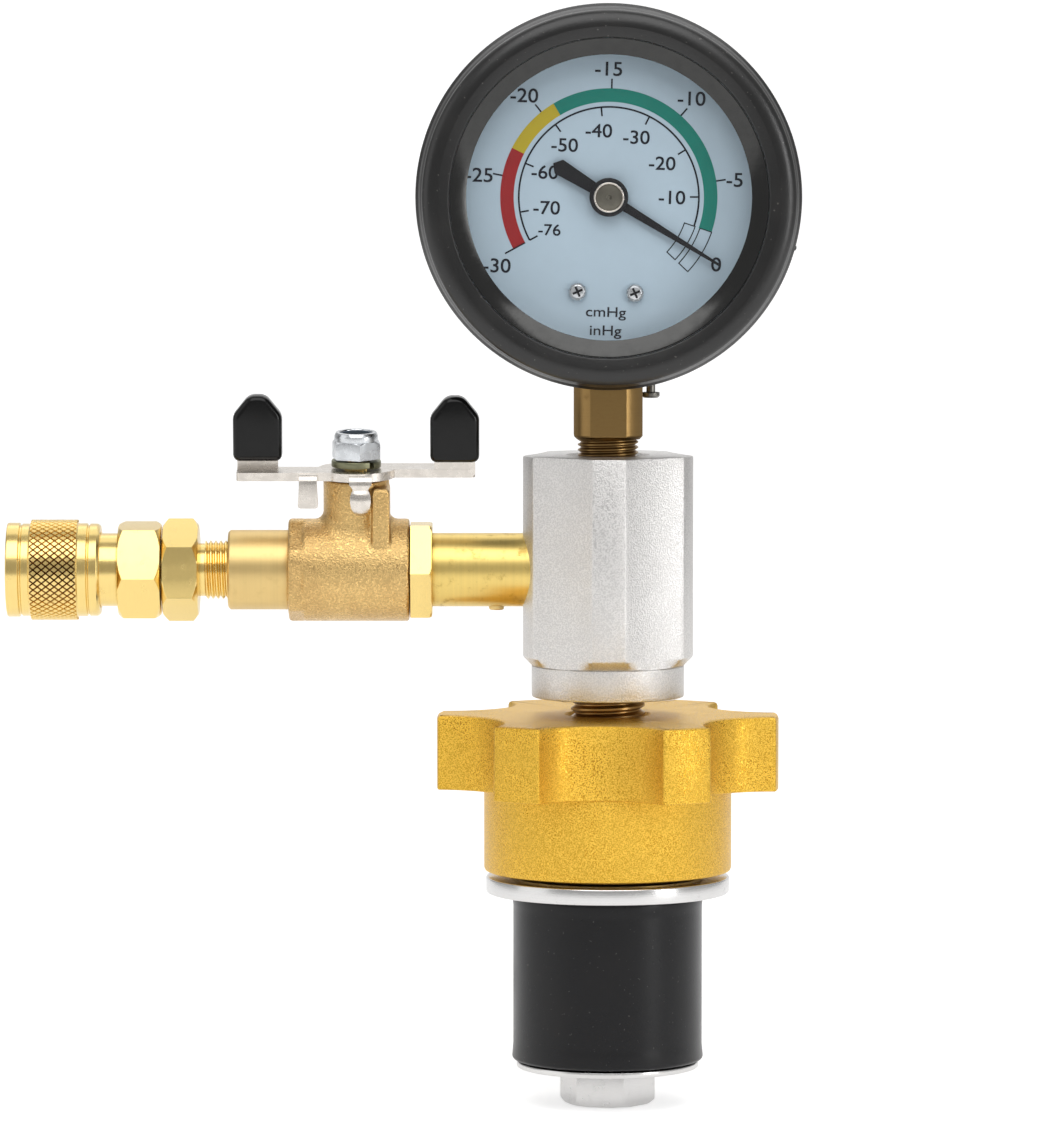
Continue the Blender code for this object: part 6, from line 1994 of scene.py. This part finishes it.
@dataclass(frozen=True)
class ValveBody:
    """The cast valve body with its neck and ribs, its machined end and its end nut."""

    left: float = -68.1
    right: float = -35.6
    end_radius: float = 7.15
    wrench_left: float = -57.3
    wrench_right: float = -54.0
    wrench_radius: float = 9.35
    wrench_flats: float = 17.2
    wrench_turn: float = -79.0
    fillet_radius: float = 1.7
    radius: float = 9.2
    bore: float = 5.55
    neck_radius: float = 5.9
    neck_height: float = 16.7
    rib_width: float = 3.2
    rib_low: float = 3.9
    rib_high: float = 15.9
    open_rib_left: float = 2.9
    open_rib_reach: float = 7.6
    closed_rib_left: float = -5.1
    closed_rib_reach: float = 9.6
    voxel: float = 0.24
    soften_share: float = 0.5
    soften_rounds: int = 4
    wrench_edge: float = 0.4
    end_chamfer: float = 0.4
    nut_flats: float = 16.5
    nut_left: float = -35.45
    nut_right: float = -31.5
    nut_bore: float = 6.9
    nut_chamfer: float = 0.45
    nut_turn: float = 90.5

    def wrench_form(self) -> Form:
        """The hexagonal wrench section: flats cut on a round blank.

        Returns:
            The form.
        """
        steps = int(Steps.ROUND)
        outline = []
        for index in range(steps):
            angle = 360 * index / steps
            flat = self.wrench_flats / 2 / cos(radians((angle + 30) % 60 - 30))
            outline.append(polar(min(flat, self.wrench_radius), angle + self.wrench_turn))
        return Form().prism(outline, self.wrench_left, self.wrench_right, self.wrench_edge)

    def build(self) -> None:
        """Make the casting as one softened skin, then the machined parts."""
        scale = Matrix.Scale(1 / MM, 4)
        carry = scale @ ARM.inverted() @ STEM @ scale.inverted()
        barrel = ring(0.0, self.radius, self.wrench_right - 0.6, self.right, soft=0.4)
        neck = ring(0.0, self.neck_radius, 0.0, self.neck_height, soft=0.4)
        open_rib = self.rib(self.open_rib_left, -self.open_rib_reach, 0.0)
        closed_rib = self.rib(self.closed_rib_left, 0.0, self.closed_rib_reach)
        upright = [form.moved(carry) for form in (neck, self.fillet(), open_rib, closed_rib)]
        forms = [barrel, self.wrench_form(), *upright]
        casting = make_piece("ValveBody", forms, ARM, PALETTE.cast, stands_for=["valve_body"])
        skin = casting.modifiers.new("Skin", "REMESH")
        skin.mode = "VOXEL"
        skin.voxel_size = self.voxel * MM
        skin.use_smooth_shade = True
        soften = casting.modifiers.new("Soften", "SMOOTH")
        soften.factor = self.soften_share
        soften.iterations = self.soften_rounds
        self.build_ends()

    def fillet(self) -> Form:
        """The rounding where the neck leaves the barrel, in the stem's frame.

        Returns:
            The form.
        """
        steps = int(Steps.ROUND)
        size = self.fillet_radius
        angles = [radians(360 * index / steps) for index in range(steps)]

        def row(radius: float, rise: float) -> list[Triple]:
            """A ring of points at a height over the barrel.

            Args:
                radius: The ring's radius.
                rise: Its height over the barrel.

            Returns:
                The points.
            """
            points = []
            for angle in angles:
                surface = sqrt(self.radius**2 - (radius * sin(angle)) ** 2)
                points.append((radius * cos(angle), radius * sin(angle), surface + rise))
            return points

        rows = [[(0.0, 0.0, self.radius)] * steps]
        for step in range(9):
            swing = radians(90 * step / 8)
            rows.append(row(self.neck_radius + size * (1 - cos(swing)), size * (1 - sin(swing))))
        rows.append(row(self.neck_radius + size, -2.0))
        rows.append([(0.0, 0.0, 2.0)] * steps)
        return Form().grid(rows)

    def rib(self, left: float, near: float, far: float) -> Form:
        """One upright stop rib with rounded edges, from one depth to another."""
        outline = rounded(box(left, left + self.rib_width, near, far), 0.4)
        return Form().prism(outline, self.rib_low, self.rib_high, 0.5)

    def build_ends(self) -> None:
        """The machined left end with its chamfer, and the hexagon that closes the right."""
        radius = self.end_radius
        inner = self.wrench_left + 0.5
        end = turned(
            [
                (self.bore, self.left),
                (radius - self.end_chamfer, self.left),
                (radius, self.left + self.end_chamfer),
                (radius, inner),
                (self.bore, inner),
            ]
        )
        make_piece("ValveEnd", end, ARM, PALETTE.machined)
        sizes = self.nut_left, self.nut_right, self.nut_bore, self.nut_chamfer, self.nut_turn
        nut = hexagon(self.nut_flats, *sizes, chamfer_low=False)
        make_piece("ValveEndNut", nut, ARM, PALETTE.brass, stands_for=["valve_end_nut"])


@dataclass(frozen=True)
class Handle:
    """The pressed handle with its sleeves."""

    thickness: float = 1.5
    bottom: float = 17.0
    disc_radius: float = 7.0
    reach: float = 21.3
    wide: float = 5.4
    narrow: float = 1.5
    wing_width: float = 7.3
    wing_top: float = 30.5
    tab_left: float = -0.8
    tab_right: float = 2.6
    tab_back: float = -6.6
    tab_low: float = 10.7
    side_tab_left: float = -10.2
    side_tab_right: float = -6.8
    side_tab_low: float = 12.3
    bend_radius: float = 1.15
    sleeve_width: float = 8.8
    sleeve_depth: float = 4.2
    sleeve_low: float = 19.8
    sleeve_high: float = 31.7
    sleeve_shoulder: float = 28.1
    sleeve_top_width: float = 3.0
    sleeve_edge: tuple[Pair, ...] = ((0.0, 1.1), (0.06, 0.8), (0.2, 0.5), (0.5, 0.2), (0.9, 0.04), (1.4, 0.0))
    tip_rise: float = 0.9
    tab_shape: tuple[tuple[float, float, float, float], ...] = (
        (0.0, 4.95, 1.75, 0.0), (0.05, 4.5, 1.45, 0.0), (0.10, 4.1, 1.38, 0.05), (0.0, 3.5, 1.65, 0.25),
        (-0.2, 2.9, 1.85, 0.35), (-0.25, 2.0, 1.85, 0.35), (-0.1, 1.1, 1.65, 0.35), (0.15, 0.5, 1.25, 0.25),
        (0.4, 0.12, 0.75, 0.10), (0.55, 0.0, 0.35, 0.0),
    )
    side_tab_shape: tuple[Pair, ...] = ((2.0, 0.0), (0.6, 0.12), (0.2, 0.05), (0.0, -0.35))
    bevel: float = 0.22

    def build(self) -> None:
        """Make the plate and its sleeves."""
        body = Body.HANDLE
        spins = {"Right": Matrix.Rotation(0.0, 4, "Z"), "Left": Matrix.Rotation(pi, 4, "Z")}
        forms = [Form().prism(self.plate_outline(), self.bottom, self.bottom + self.thickness)]
        forms += [self.wing().moved(spin) for spin in spins.values()]
        forms += [self.front_tab(), self.side_tab()]
        make_piece("ValveHandle", forms, STEM, PALETTE.nickel, body, ["valve_handle"], bevel=self.bevel)
        for side, spin in spins.items():
            sleeve = self.sleeve().moved(spin)
            node = f"wing_sleeve_{side.lower()}"
            make_piece(f"WingSleeve{side}", sleeve, STEM, PALETTE.vinyl, body, [node])

    def plate_outline(self) -> Outline:
        """A disc with two arms, each wide to one side, the same after half a turn.

        Returns:
            Its points, counter-clockwise.
        """
        disc = self.disc_radius
        wide = degrees(asin(self.wide / disc))
        narrow = degrees(asin(self.narrow / disc))
        half = [(self.reach, -self.narrow), (self.reach, self.wide)]
        half += arc((0, 0), disc, wide, 180 - narrow, 24)
        whole = half + [(-x, -y) for x, y in half]
        return rounded(whole, 0.8, 4)

    @staticmethod
    def upright(depth: float) -> Matrix:
        """Stands a form that lies in the XY plane up in the XZ plane, at a depth."""
        return Matrix(((1, 0, 0, 0), (0, 0, -1, depth), (0, 1, 0, 0), (0, 0, 0, 1)))

    def wing(self) -> Form:
        """The right wing, turned up at the arm's narrow side.

        Returns:
            The form.
        """
        left = self.reach - self.wing_width
        outline = [
            (left, self.bottom + 0.3),
            (self.reach, self.bottom + 0.3),
            (self.reach, self.sleeve_shoulder - 0.4),
            (self.reach - 2.1, self.wing_top),
            (left + 2.1, self.wing_top),
            (left, self.sleeve_shoulder - 0.4),
        ]
        half = self.thickness / 2
        wing = Form().prism(rounded(outline, 0.5), -half, half)
        return wing.moved(self.upright(half - self.narrow + 0.06))

    def bent_strip(self, middle: float, stations: Sequence[tuple[float, float, float, float]]) -> Form:
        """A strip of the plate's thickness that is bent in the YZ plane.

        Args:
            middle: Where its middle lies along X.
            stations: Depth, height, half width and forward bulge at points along its middle line.

        Returns:
            The form.
        """
        rows = []
        half = self.thickness / 2
        across = [share / 4 for share in range(-4, 5)]
        for index, (depth, height, width, bulge) in enumerate(stations):
            before = stations[max(index - 1, 0)]
            after = stations[min(index + 1, len(stations) - 1)]
            along = Vector((after[0] - before[0], after[1] - before[1])).normalized()
            back = Vector((-along.y, along.x))
            row = []
            for side, shares in ((-half, across), (half, across[::-1])):
                for share in shares:
                    shift = side - bulge * (1 - share * share)
                    row.append((middle + width * share, depth + back.x * shift, height + back.y * shift))
            rows.append(row)
        return Form().capped(rows)

    def bend(self, depth: float, width: float) -> list[tuple[float, float, float, float]]:
        """The stations from the plate round the bend.

        Args:
            depth: Depth of the tab that follows.
            width: The strip's half width.

        Returns:
            The stations.
        """
        level = self.bottom + self.thickness / 2
        start = (depth + self.bend_radius + 1.6, level, width, 0.0)
        turn = arc((depth + self.bend_radius, level - self.bend_radius), self.bend_radius, 90, 180, 5)
        return [start, *[(y, z, width, 0.0) for y, z in turn]]

    def front_tab(self) -> Form:
        """The front stop tab: a wide root, a tucked-in waist and a bulged, rounded lobe.

        Returns:
            The form.
        """
        middle = (self.tab_left + self.tab_right) / 2
        depth = self.tab_back - self.thickness / 2
        tip = self.tab_low + self.tip_rise
        hanging = [(depth + back, tip + rise, wide, bulge) for back, rise, wide, bulge in self.tab_shape]
        return self.bent_strip(middle, [*self.bend(depth, 2.0), *hanging])

    def side_tab(self) -> Form:
        """The left stop tab, bent down at the left arm's front edge and a little wider at its tip.

        Returns:
            The form.
        """
        middle = (self.side_tab_left + self.side_tab_right) / 2
        width = (self.side_tab_right - self.side_tab_left) / 2
        depth = -self.wide - self.thickness / 2
        tip = self.side_tab_low
        hanging = [(depth, tip + rise, width + wider, 0.0) for rise, wider in self.side_tab_shape]
        return self.bent_strip(middle, [*self.bend(depth, width - 0.1), *hanging])

    def sleeve(self) -> Form:
        """A dipped sleeve: a gabled outline that thins toward its edge.

        Returns:
            The form.
        """
        middle = self.reach - self.wing_width / 2
        half = self.sleeve_width / 2
        half_top = self.sleeve_top_width / 2
        right = [(half, self.sleeve_low), (half, self.sleeve_shoulder), (half_top, self.sleeve_high)]
        corners = [(middle - half, self.sleeve_low)]
        corners += [(middle + x, z) for x, z in right]
        corners += [(middle - x, z) for x, z in right[:0:-1]]
        lower = rounded(corners, 1.2, 4, keep=range(2, 6))
        outline = rounded(lower, 2.4, 6, keep=range(10))
        deep = self.sleeve_depth / 2
        layers = [(inset(outline, shrink), back - deep) for back, shrink in self.sleeve_edge]
        layers += [(inset(outline, shrink), deep - back) for back, shrink in reversed(self.sleeve_edge)]
        return Form().stacked(layers).moved(self.upright(self.thickness / 2 - self.narrow))


@dataclass(frozen=True)
class StemFastening:
    """The split washer, the lock nut with its insert, and the valve's stem."""

    bore: float = 2.7
    washer_radius: float = 4.45
    washer_low: float = 18.8
    washer_high: float = 20.0
    washer_start: float = -44.0
    washer_sweep: float = 348.0
    washer_lift: float = 0.25
    nut_flats: float = 8.0
    nut_low: float = 20.3
    nut_high: float = 23.6
    nut_chamfer: float = 0.5
    nut_turn: float = 40.0
    crown_profile: tuple[Pair, ...] = (
        (2.7, 23.3), (3.95, 23.3), (3.9, 24.5), (3.6, 25.15), (2.95, 25.15), (2.95, 24.0), (2.7, 24.0),
    )
    insert_inner: float = 2.42
    insert_outer: float = 2.92
    insert_low: float = 24.0
    insert_high: float = 24.9
    stem_thread: tuple[float, ...] = (2.4, 0.3, 0.8, 18.7, 24.0)
    tip_profile: tuple[Pair, ...] = ((0.0, 23.8), (2.1, 23.8), (2.1, 24.0), (1.9, 24.3), (0.0, 24.3))
    shaft_radius: float = 3.0
    shaft_low: float = 6.2
    shaft_high: float = 16.7
    square_half: Pair = (2.0, 2.2)
    tang_half: Pair = (2.3, 0.85)
    tang_low: float = 4.5

    def build(self) -> None:
        """Make the washer, the nut, its insert and the stem."""
        body = Body.HANDLE
        rows = []
        section = rounded(box(self.bore, self.washer_radius, self.washer_low, self.washer_high), 0.2)
        steps = int(Steps.SMALL)
        for index in range(steps + 1):
            angle = self.washer_start + self.washer_sweep * index / steps
            rise = self.washer_lift * (index / steps - 0.5)
            rows.append([(*polar(radius, angle), height + rise) for radius, height in section])
        make_piece("SpringWasher", Form().capped(rows), STEM, PALETTE.spring, body, ["spring_washer"])
        sizes = self.nut_low, self.nut_high, self.bore, self.nut_chamfer, self.nut_turn
        nut = hexagon(self.nut_flats, *sizes, chamfer_low=False)
        crown = turned(self.crown_profile, Steps.SMALL, 0.3)
        make_piece("LockNut", [nut, crown], STEM, PALETTE.zinc, body, ["lock_nut"])
        levels = self.insert_low, self.insert_high
        insert = ring(self.insert_inner, self.insert_outer, *levels, Steps.SMALL, 0.1)
        make_piece("NutInsert", insert, STEM, PALETTE.nylon, body, ["nut_insert"])
        tip = turned(self.tip_profile, Steps.SMALL, 0.05)
        shaft = ring(0.0, self.shaft_radius, self.shaft_low, self.shaft_high, Steps.SMALL)
        wide, deep = self.square_half
        flats = rounded(box(-wide, wide, -deep, deep), 0.3)
        square = Form().prism(flats, self.shaft_high - 0.1, self.washer_low)
        wide, deep = self.tang_half
        tang = Form().prism(box(-wide, wide, -deep, deep), self.tang_low, self.shaft_low + 0.2)
        forms = [Thread(*self.stem_thread).form(0.2, Steps.SMALL), tip, shaft, square, tang]
        make_piece("ValveStem", forms, STEM, PALETTE.brass, body, ["valve_stem"])


@dataclass(frozen=True)
class HoseEnd:
    """The nipple adapter, the coupler's hexagon and neck, and the knurled sleeve."""

    adapter_left: float = -79.8
    adapter_right: float = -73.4
    valve_left: float = -68.1
    hexagon_left: float = -87.8
    hexagon_right: float = -80.1
    neck_radius: float = 6.55
    nose: float = -97.0
    nose_radius: float = 5.4
    seal_left: float = -97.3
    seal_radius: float = 5.0
    sleeve_left: float = -107.7
    sleeve_right: float = -91.0
    bore: float = 3.0
    flats: float = 16.0
    chamfer: float = 1.1
    hexagon_bore: float = 5.6
    hexagon_turn: float = 96.6
    relief_radius: float = 4.75
    relief_right: float = -71.8
    sleeve_mouth: float = 8.35
    sleeve_wall: tuple[Pair, ...] = (
        (8.45, 0.25), (8.45, 2.2), (8.05, 2.35), (8.05, 2.6), (8.3, 2.75), (8.3, 4.0), (8.65, 4.3),
        (8.5, 4.6), (8.5, 12.3), (8.65, 12.6), (8.35, 12.8), (8.35, 14.35), (8.0, 14.5), (8.0, 14.7),
        (8.3, 14.85), (8.3, 16.2),
    )
    sleeve_end: float = 7.9
    sleeve_bore: float = 6.9
    socket_radius: float = 7.3
    socket_right: float = -96.7

    def build(self) -> None:
        """Make the pieces left of the valve."""
        adapter = hexagon(self.flats, self.adapter_left, self.adapter_right, self.bore, self.chamfer, 0.0)
        relief = ring(self.bore, self.relief_radius, self.adapter_right - 0.2, self.relief_right)
        thread = Thread(5.25, 0.5, 0.9, self.relief_right - 0.4, self.valve_left + 1.0)
        forms = [adapter, relief, thread.form(self.bore)]
        make_piece("NippleAdapter", forms, ARM, PALETTE.brass, stands_for=["nipple_adapter"])
        sizes = self.hexagon_left, self.hexagon_right, self.hexagon_bore, self.chamfer
        nut = hexagon(self.flats, *sizes, self.hexagon_turn)
        root = self.hexagon_left + 0.2
        neck = turned(
            [
                (self.bore, self.nose),
                (self.nose_radius, self.nose),
                (self.neck_radius, self.nose + 0.4),
                (self.neck_radius, root),
                (self.bore, root),
            ]
        )
        make_piece("CouplerBody", [nut, neck], ARM, PALETTE.brass, stands_for=["coupler_body"])
        seal = ring(self.bore, self.seal_radius, self.seal_left, self.nose + 1.0, soft=0.3)
        make_piece("CouplerSeal", seal, ARM, PALETTE.stopper, stands_for=["coupler_seal"])
        self.build_sleeve()

    def build_sleeve(self) -> None:
        """The swivel sleeve: two plain rings, the knurl, a grooved ring and an inner thread."""
        left = self.sleeve_left
        knurl = Knurl(9.0, 0.45, left + 4.3, left + 12.6, 46, 5.5, 0.72)
        profile = [
            (self.sleeve_mouth, left),
            *[(radius, left + along) for radius, along in self.sleeve_wall],
            (self.sleeve_end, self.sleeve_right),
            (self.sleeve_bore, self.sleeve_right),
            (self.sleeve_bore, self.socket_right),
            (self.socket_radius, self.socket_right),
            (self.socket_radius, left + 0.4),
            (self.socket_radius + 0.5, left),
        ]
        shell = turned(profile, Steps.LARGE, 0.08)
        flank = ((0.0, 0.0), (0.12, 0.0), (0.5, 1.0), (0.6, 1.0))
        inner = Thread(self.socket_radius + 0.02, 0.35, 0.9, left + 0.8, self.socket_right - 0.7, flank)
        forms = [shell, inner.form(self.socket_radius + 0.05)]
        make_piece("CouplerSleeve", forms, ARM, PALETTE.brass, Body.SLEEVE, ["coupler_sleeve"])
        make_piece("SleeveKnurl", knurl.form(), ARM, PALETTE.knurled, Body.SLEEVE)


@dataclass(frozen=True)
class Inside:
    """The pieces within that keep their CAD shape and only get a finish."""

    finishes: tuple[tuple[Finish, tuple[str, ...]], ...] = (
        (PALETTE.ptfe, ("ball_seat_left", "ball_seat_right", "stem_packing")),
        (PALETTE.gasket, ("lens_gasket",)),
        (
            PALETTE.zinc,
            ("valve_ball", "movement_screw_left", "movement_screw_right", "sleeve_retaining_ring"),
        ),
        (PALETTE.spring, ("hairspring",)),
        (PALETTE.brass, ("bourdon_tube", "movement_frame", "movement_link", "pinion_arbor", "sector_gear")),
    )

    def build(self) -> None:
        """Put each finish on its nodes."""
        for finish, names in self.finishes:
            for name in names:
                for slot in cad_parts[name].material_slots:
                    slot.material = finish.material()


class Studio:
    """The floor, the backdrop, the lights and the camera."""

    eye = Vector((-0.0156, -1.2664, 0.1536))
    look_down = 4.291
    zoom = 6.23769
    sensor = 36.0
    floor_level = -0.0384
    floor_half = 0.9
    room_light = 0.42
    glow = 2.6
    glow_share = 0.21
    mirror_share = 0.14
    aim = Vector((-0.02, 0.0, 0.06))
    floor_profile = ((-0.7, 0.0), (0.9, 0.0), (1.25, 0.06), (1.45, 0.25), (1.5, 0.6), (1.5, 2.2))
    paper = 0.92
    panels = (
        ("Left", (-1.0, -0.25, 0.30), (0.7, 1.1), 1.7),
        ("Right", (0.87, -0.60, 0.15), (0.24, 0.8), 3.4),
        ("Top", (0.0, -0.62, 0.97), (1.25, 0.90), 7.9),
        ("Back", (0.0, 0.60, 1.05), (1.6, 0.90), 3.6),
    )

    def build(self) -> None:
        """Set the whole studio up."""
        self.build_camera()
        self.build_backdrop()
        self.build_world()
        for name, place, size, power in self.panels:
            self.add_panel(name, place, size, power)
        bpy.context.scene.view_settings.view_transform = "Standard"

    def build_camera(self) -> None:
        """A camera that looks a little down at the object, without shift."""
        lens = bpy.data.cameras.new("PhotoCamera")
        lens.sensor_width = self.sensor
        lens.lens = self.sensor * self.zoom
        lens.clip_start = 0.05
        lens.clip_end = 20
        camera = linked("PhotoCamera", lens)
        camera.location = self.eye
        camera.rotation_euler = (radians(90 - self.look_down), 0, 0)
        bpy.context.scene.camera = camera

    def build_backdrop(self) -> None:
        """A floor that curves up into a wall, paper white."""
        sides = (-self.floor_half, self.floor_half)
        rows = []
        for depth, rise in self.floor_profile:
            rows.append([(x / MM, depth / MM, (rise + self.floor_level) / MM) for x in sides])
        mesh = joined("Backdrop", [Form().grid(rows, wrap_columns=False)])
        graph = Graph("BackdropPaper")
        cloud = graph.noise(graph.place, 0.004)
        white = opaque((self.paper, self.paper, self.paper))
        paper = graph.principled({"Base Color": white, "Roughness": 0.7 + cloud * 0.1})
        glow = graph.add("ShaderNodeEmission", None, {0: (1.0, 1.0, 1.0, 1.0), 1: self.glow})
        rays = graph.add("ShaderNodeLightPath")
        seen = Signal(graph, rays.outputs["Is Camera Ray"])
        mirrored = Signal(graph, rays.outputs["Is Glossy Ray"])
        share = seen * self.glow_share + mirrored * self.mirror_share
        mesh.materials.append(graph.finish(graph.mixed(share, paper, Signal(graph, glow.outputs[0]))))
        linked("Backdrop", mesh)

    def build_world(self) -> None:
        """An even, dim room that the camera itself sees as white."""
        world = bpy.data.worlds.new("Room")
        world.use_nodes = True
        tree = world.node_tree
        rays = tree.nodes.new("ShaderNodeLightPath")
        strength = tree.nodes.new("ShaderNodeMapRange")
        strength.inputs["To Min"].default_value = self.room_light
        strength.inputs["To Max"].default_value = 1.0
        background = tree.nodes["Background"]
        background.inputs["Color"].default_value = (1.0, 1.0, 1.0, 1.0)
        tree.links.new(rays.outputs["Is Camera Ray"], strength.inputs["Value"])
        tree.links.new(strength.outputs["Result"], background.inputs["Strength"])
        bpy.context.scene.world = world

    def add_panel(self, name: str, place: Triple, size: Pair, power: float) -> None:
        """Add a soft light aimed at the object's middle.

        Args:
            name: The light's name.
            place: Where it stands.
            size: Its width and height.
            power: Its power, in watts.
        """
        light = bpy.data.lights.new(name, "AREA")
        light.shape = "RECTANGLE"
        light.size = size[0]
        light.size_y = size[1]
        light.energy = power
        panel = linked(name, light)
        panel.location = place
        panel.rotation_euler = (self.aim - Vector(place)).to_track_quat("-Z", "Y").to_euler()


def main() -> None:
    """Build the object's looks, sub-assembly by sub-assembly."""
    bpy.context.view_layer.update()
    assemblies = (
        NeckClamp(),
        StarKnob(),
        Manifold(),
        GaugeSocket(),
        GaugeShells(),
        Dial(),
        Pointer(),
        SidePipe(),
        ValveBody(),
        Handle(),
        StemFastening(),
        HoseEnd(),
        Inside(),
        Studio(),
    )
    for assembly in assemblies:
        LOG.info("building %s", type(assembly).__name__)
        assembly.build()


if __name__ == "__main__":
    logging.basicConfig(level=logging.INFO)
    main()
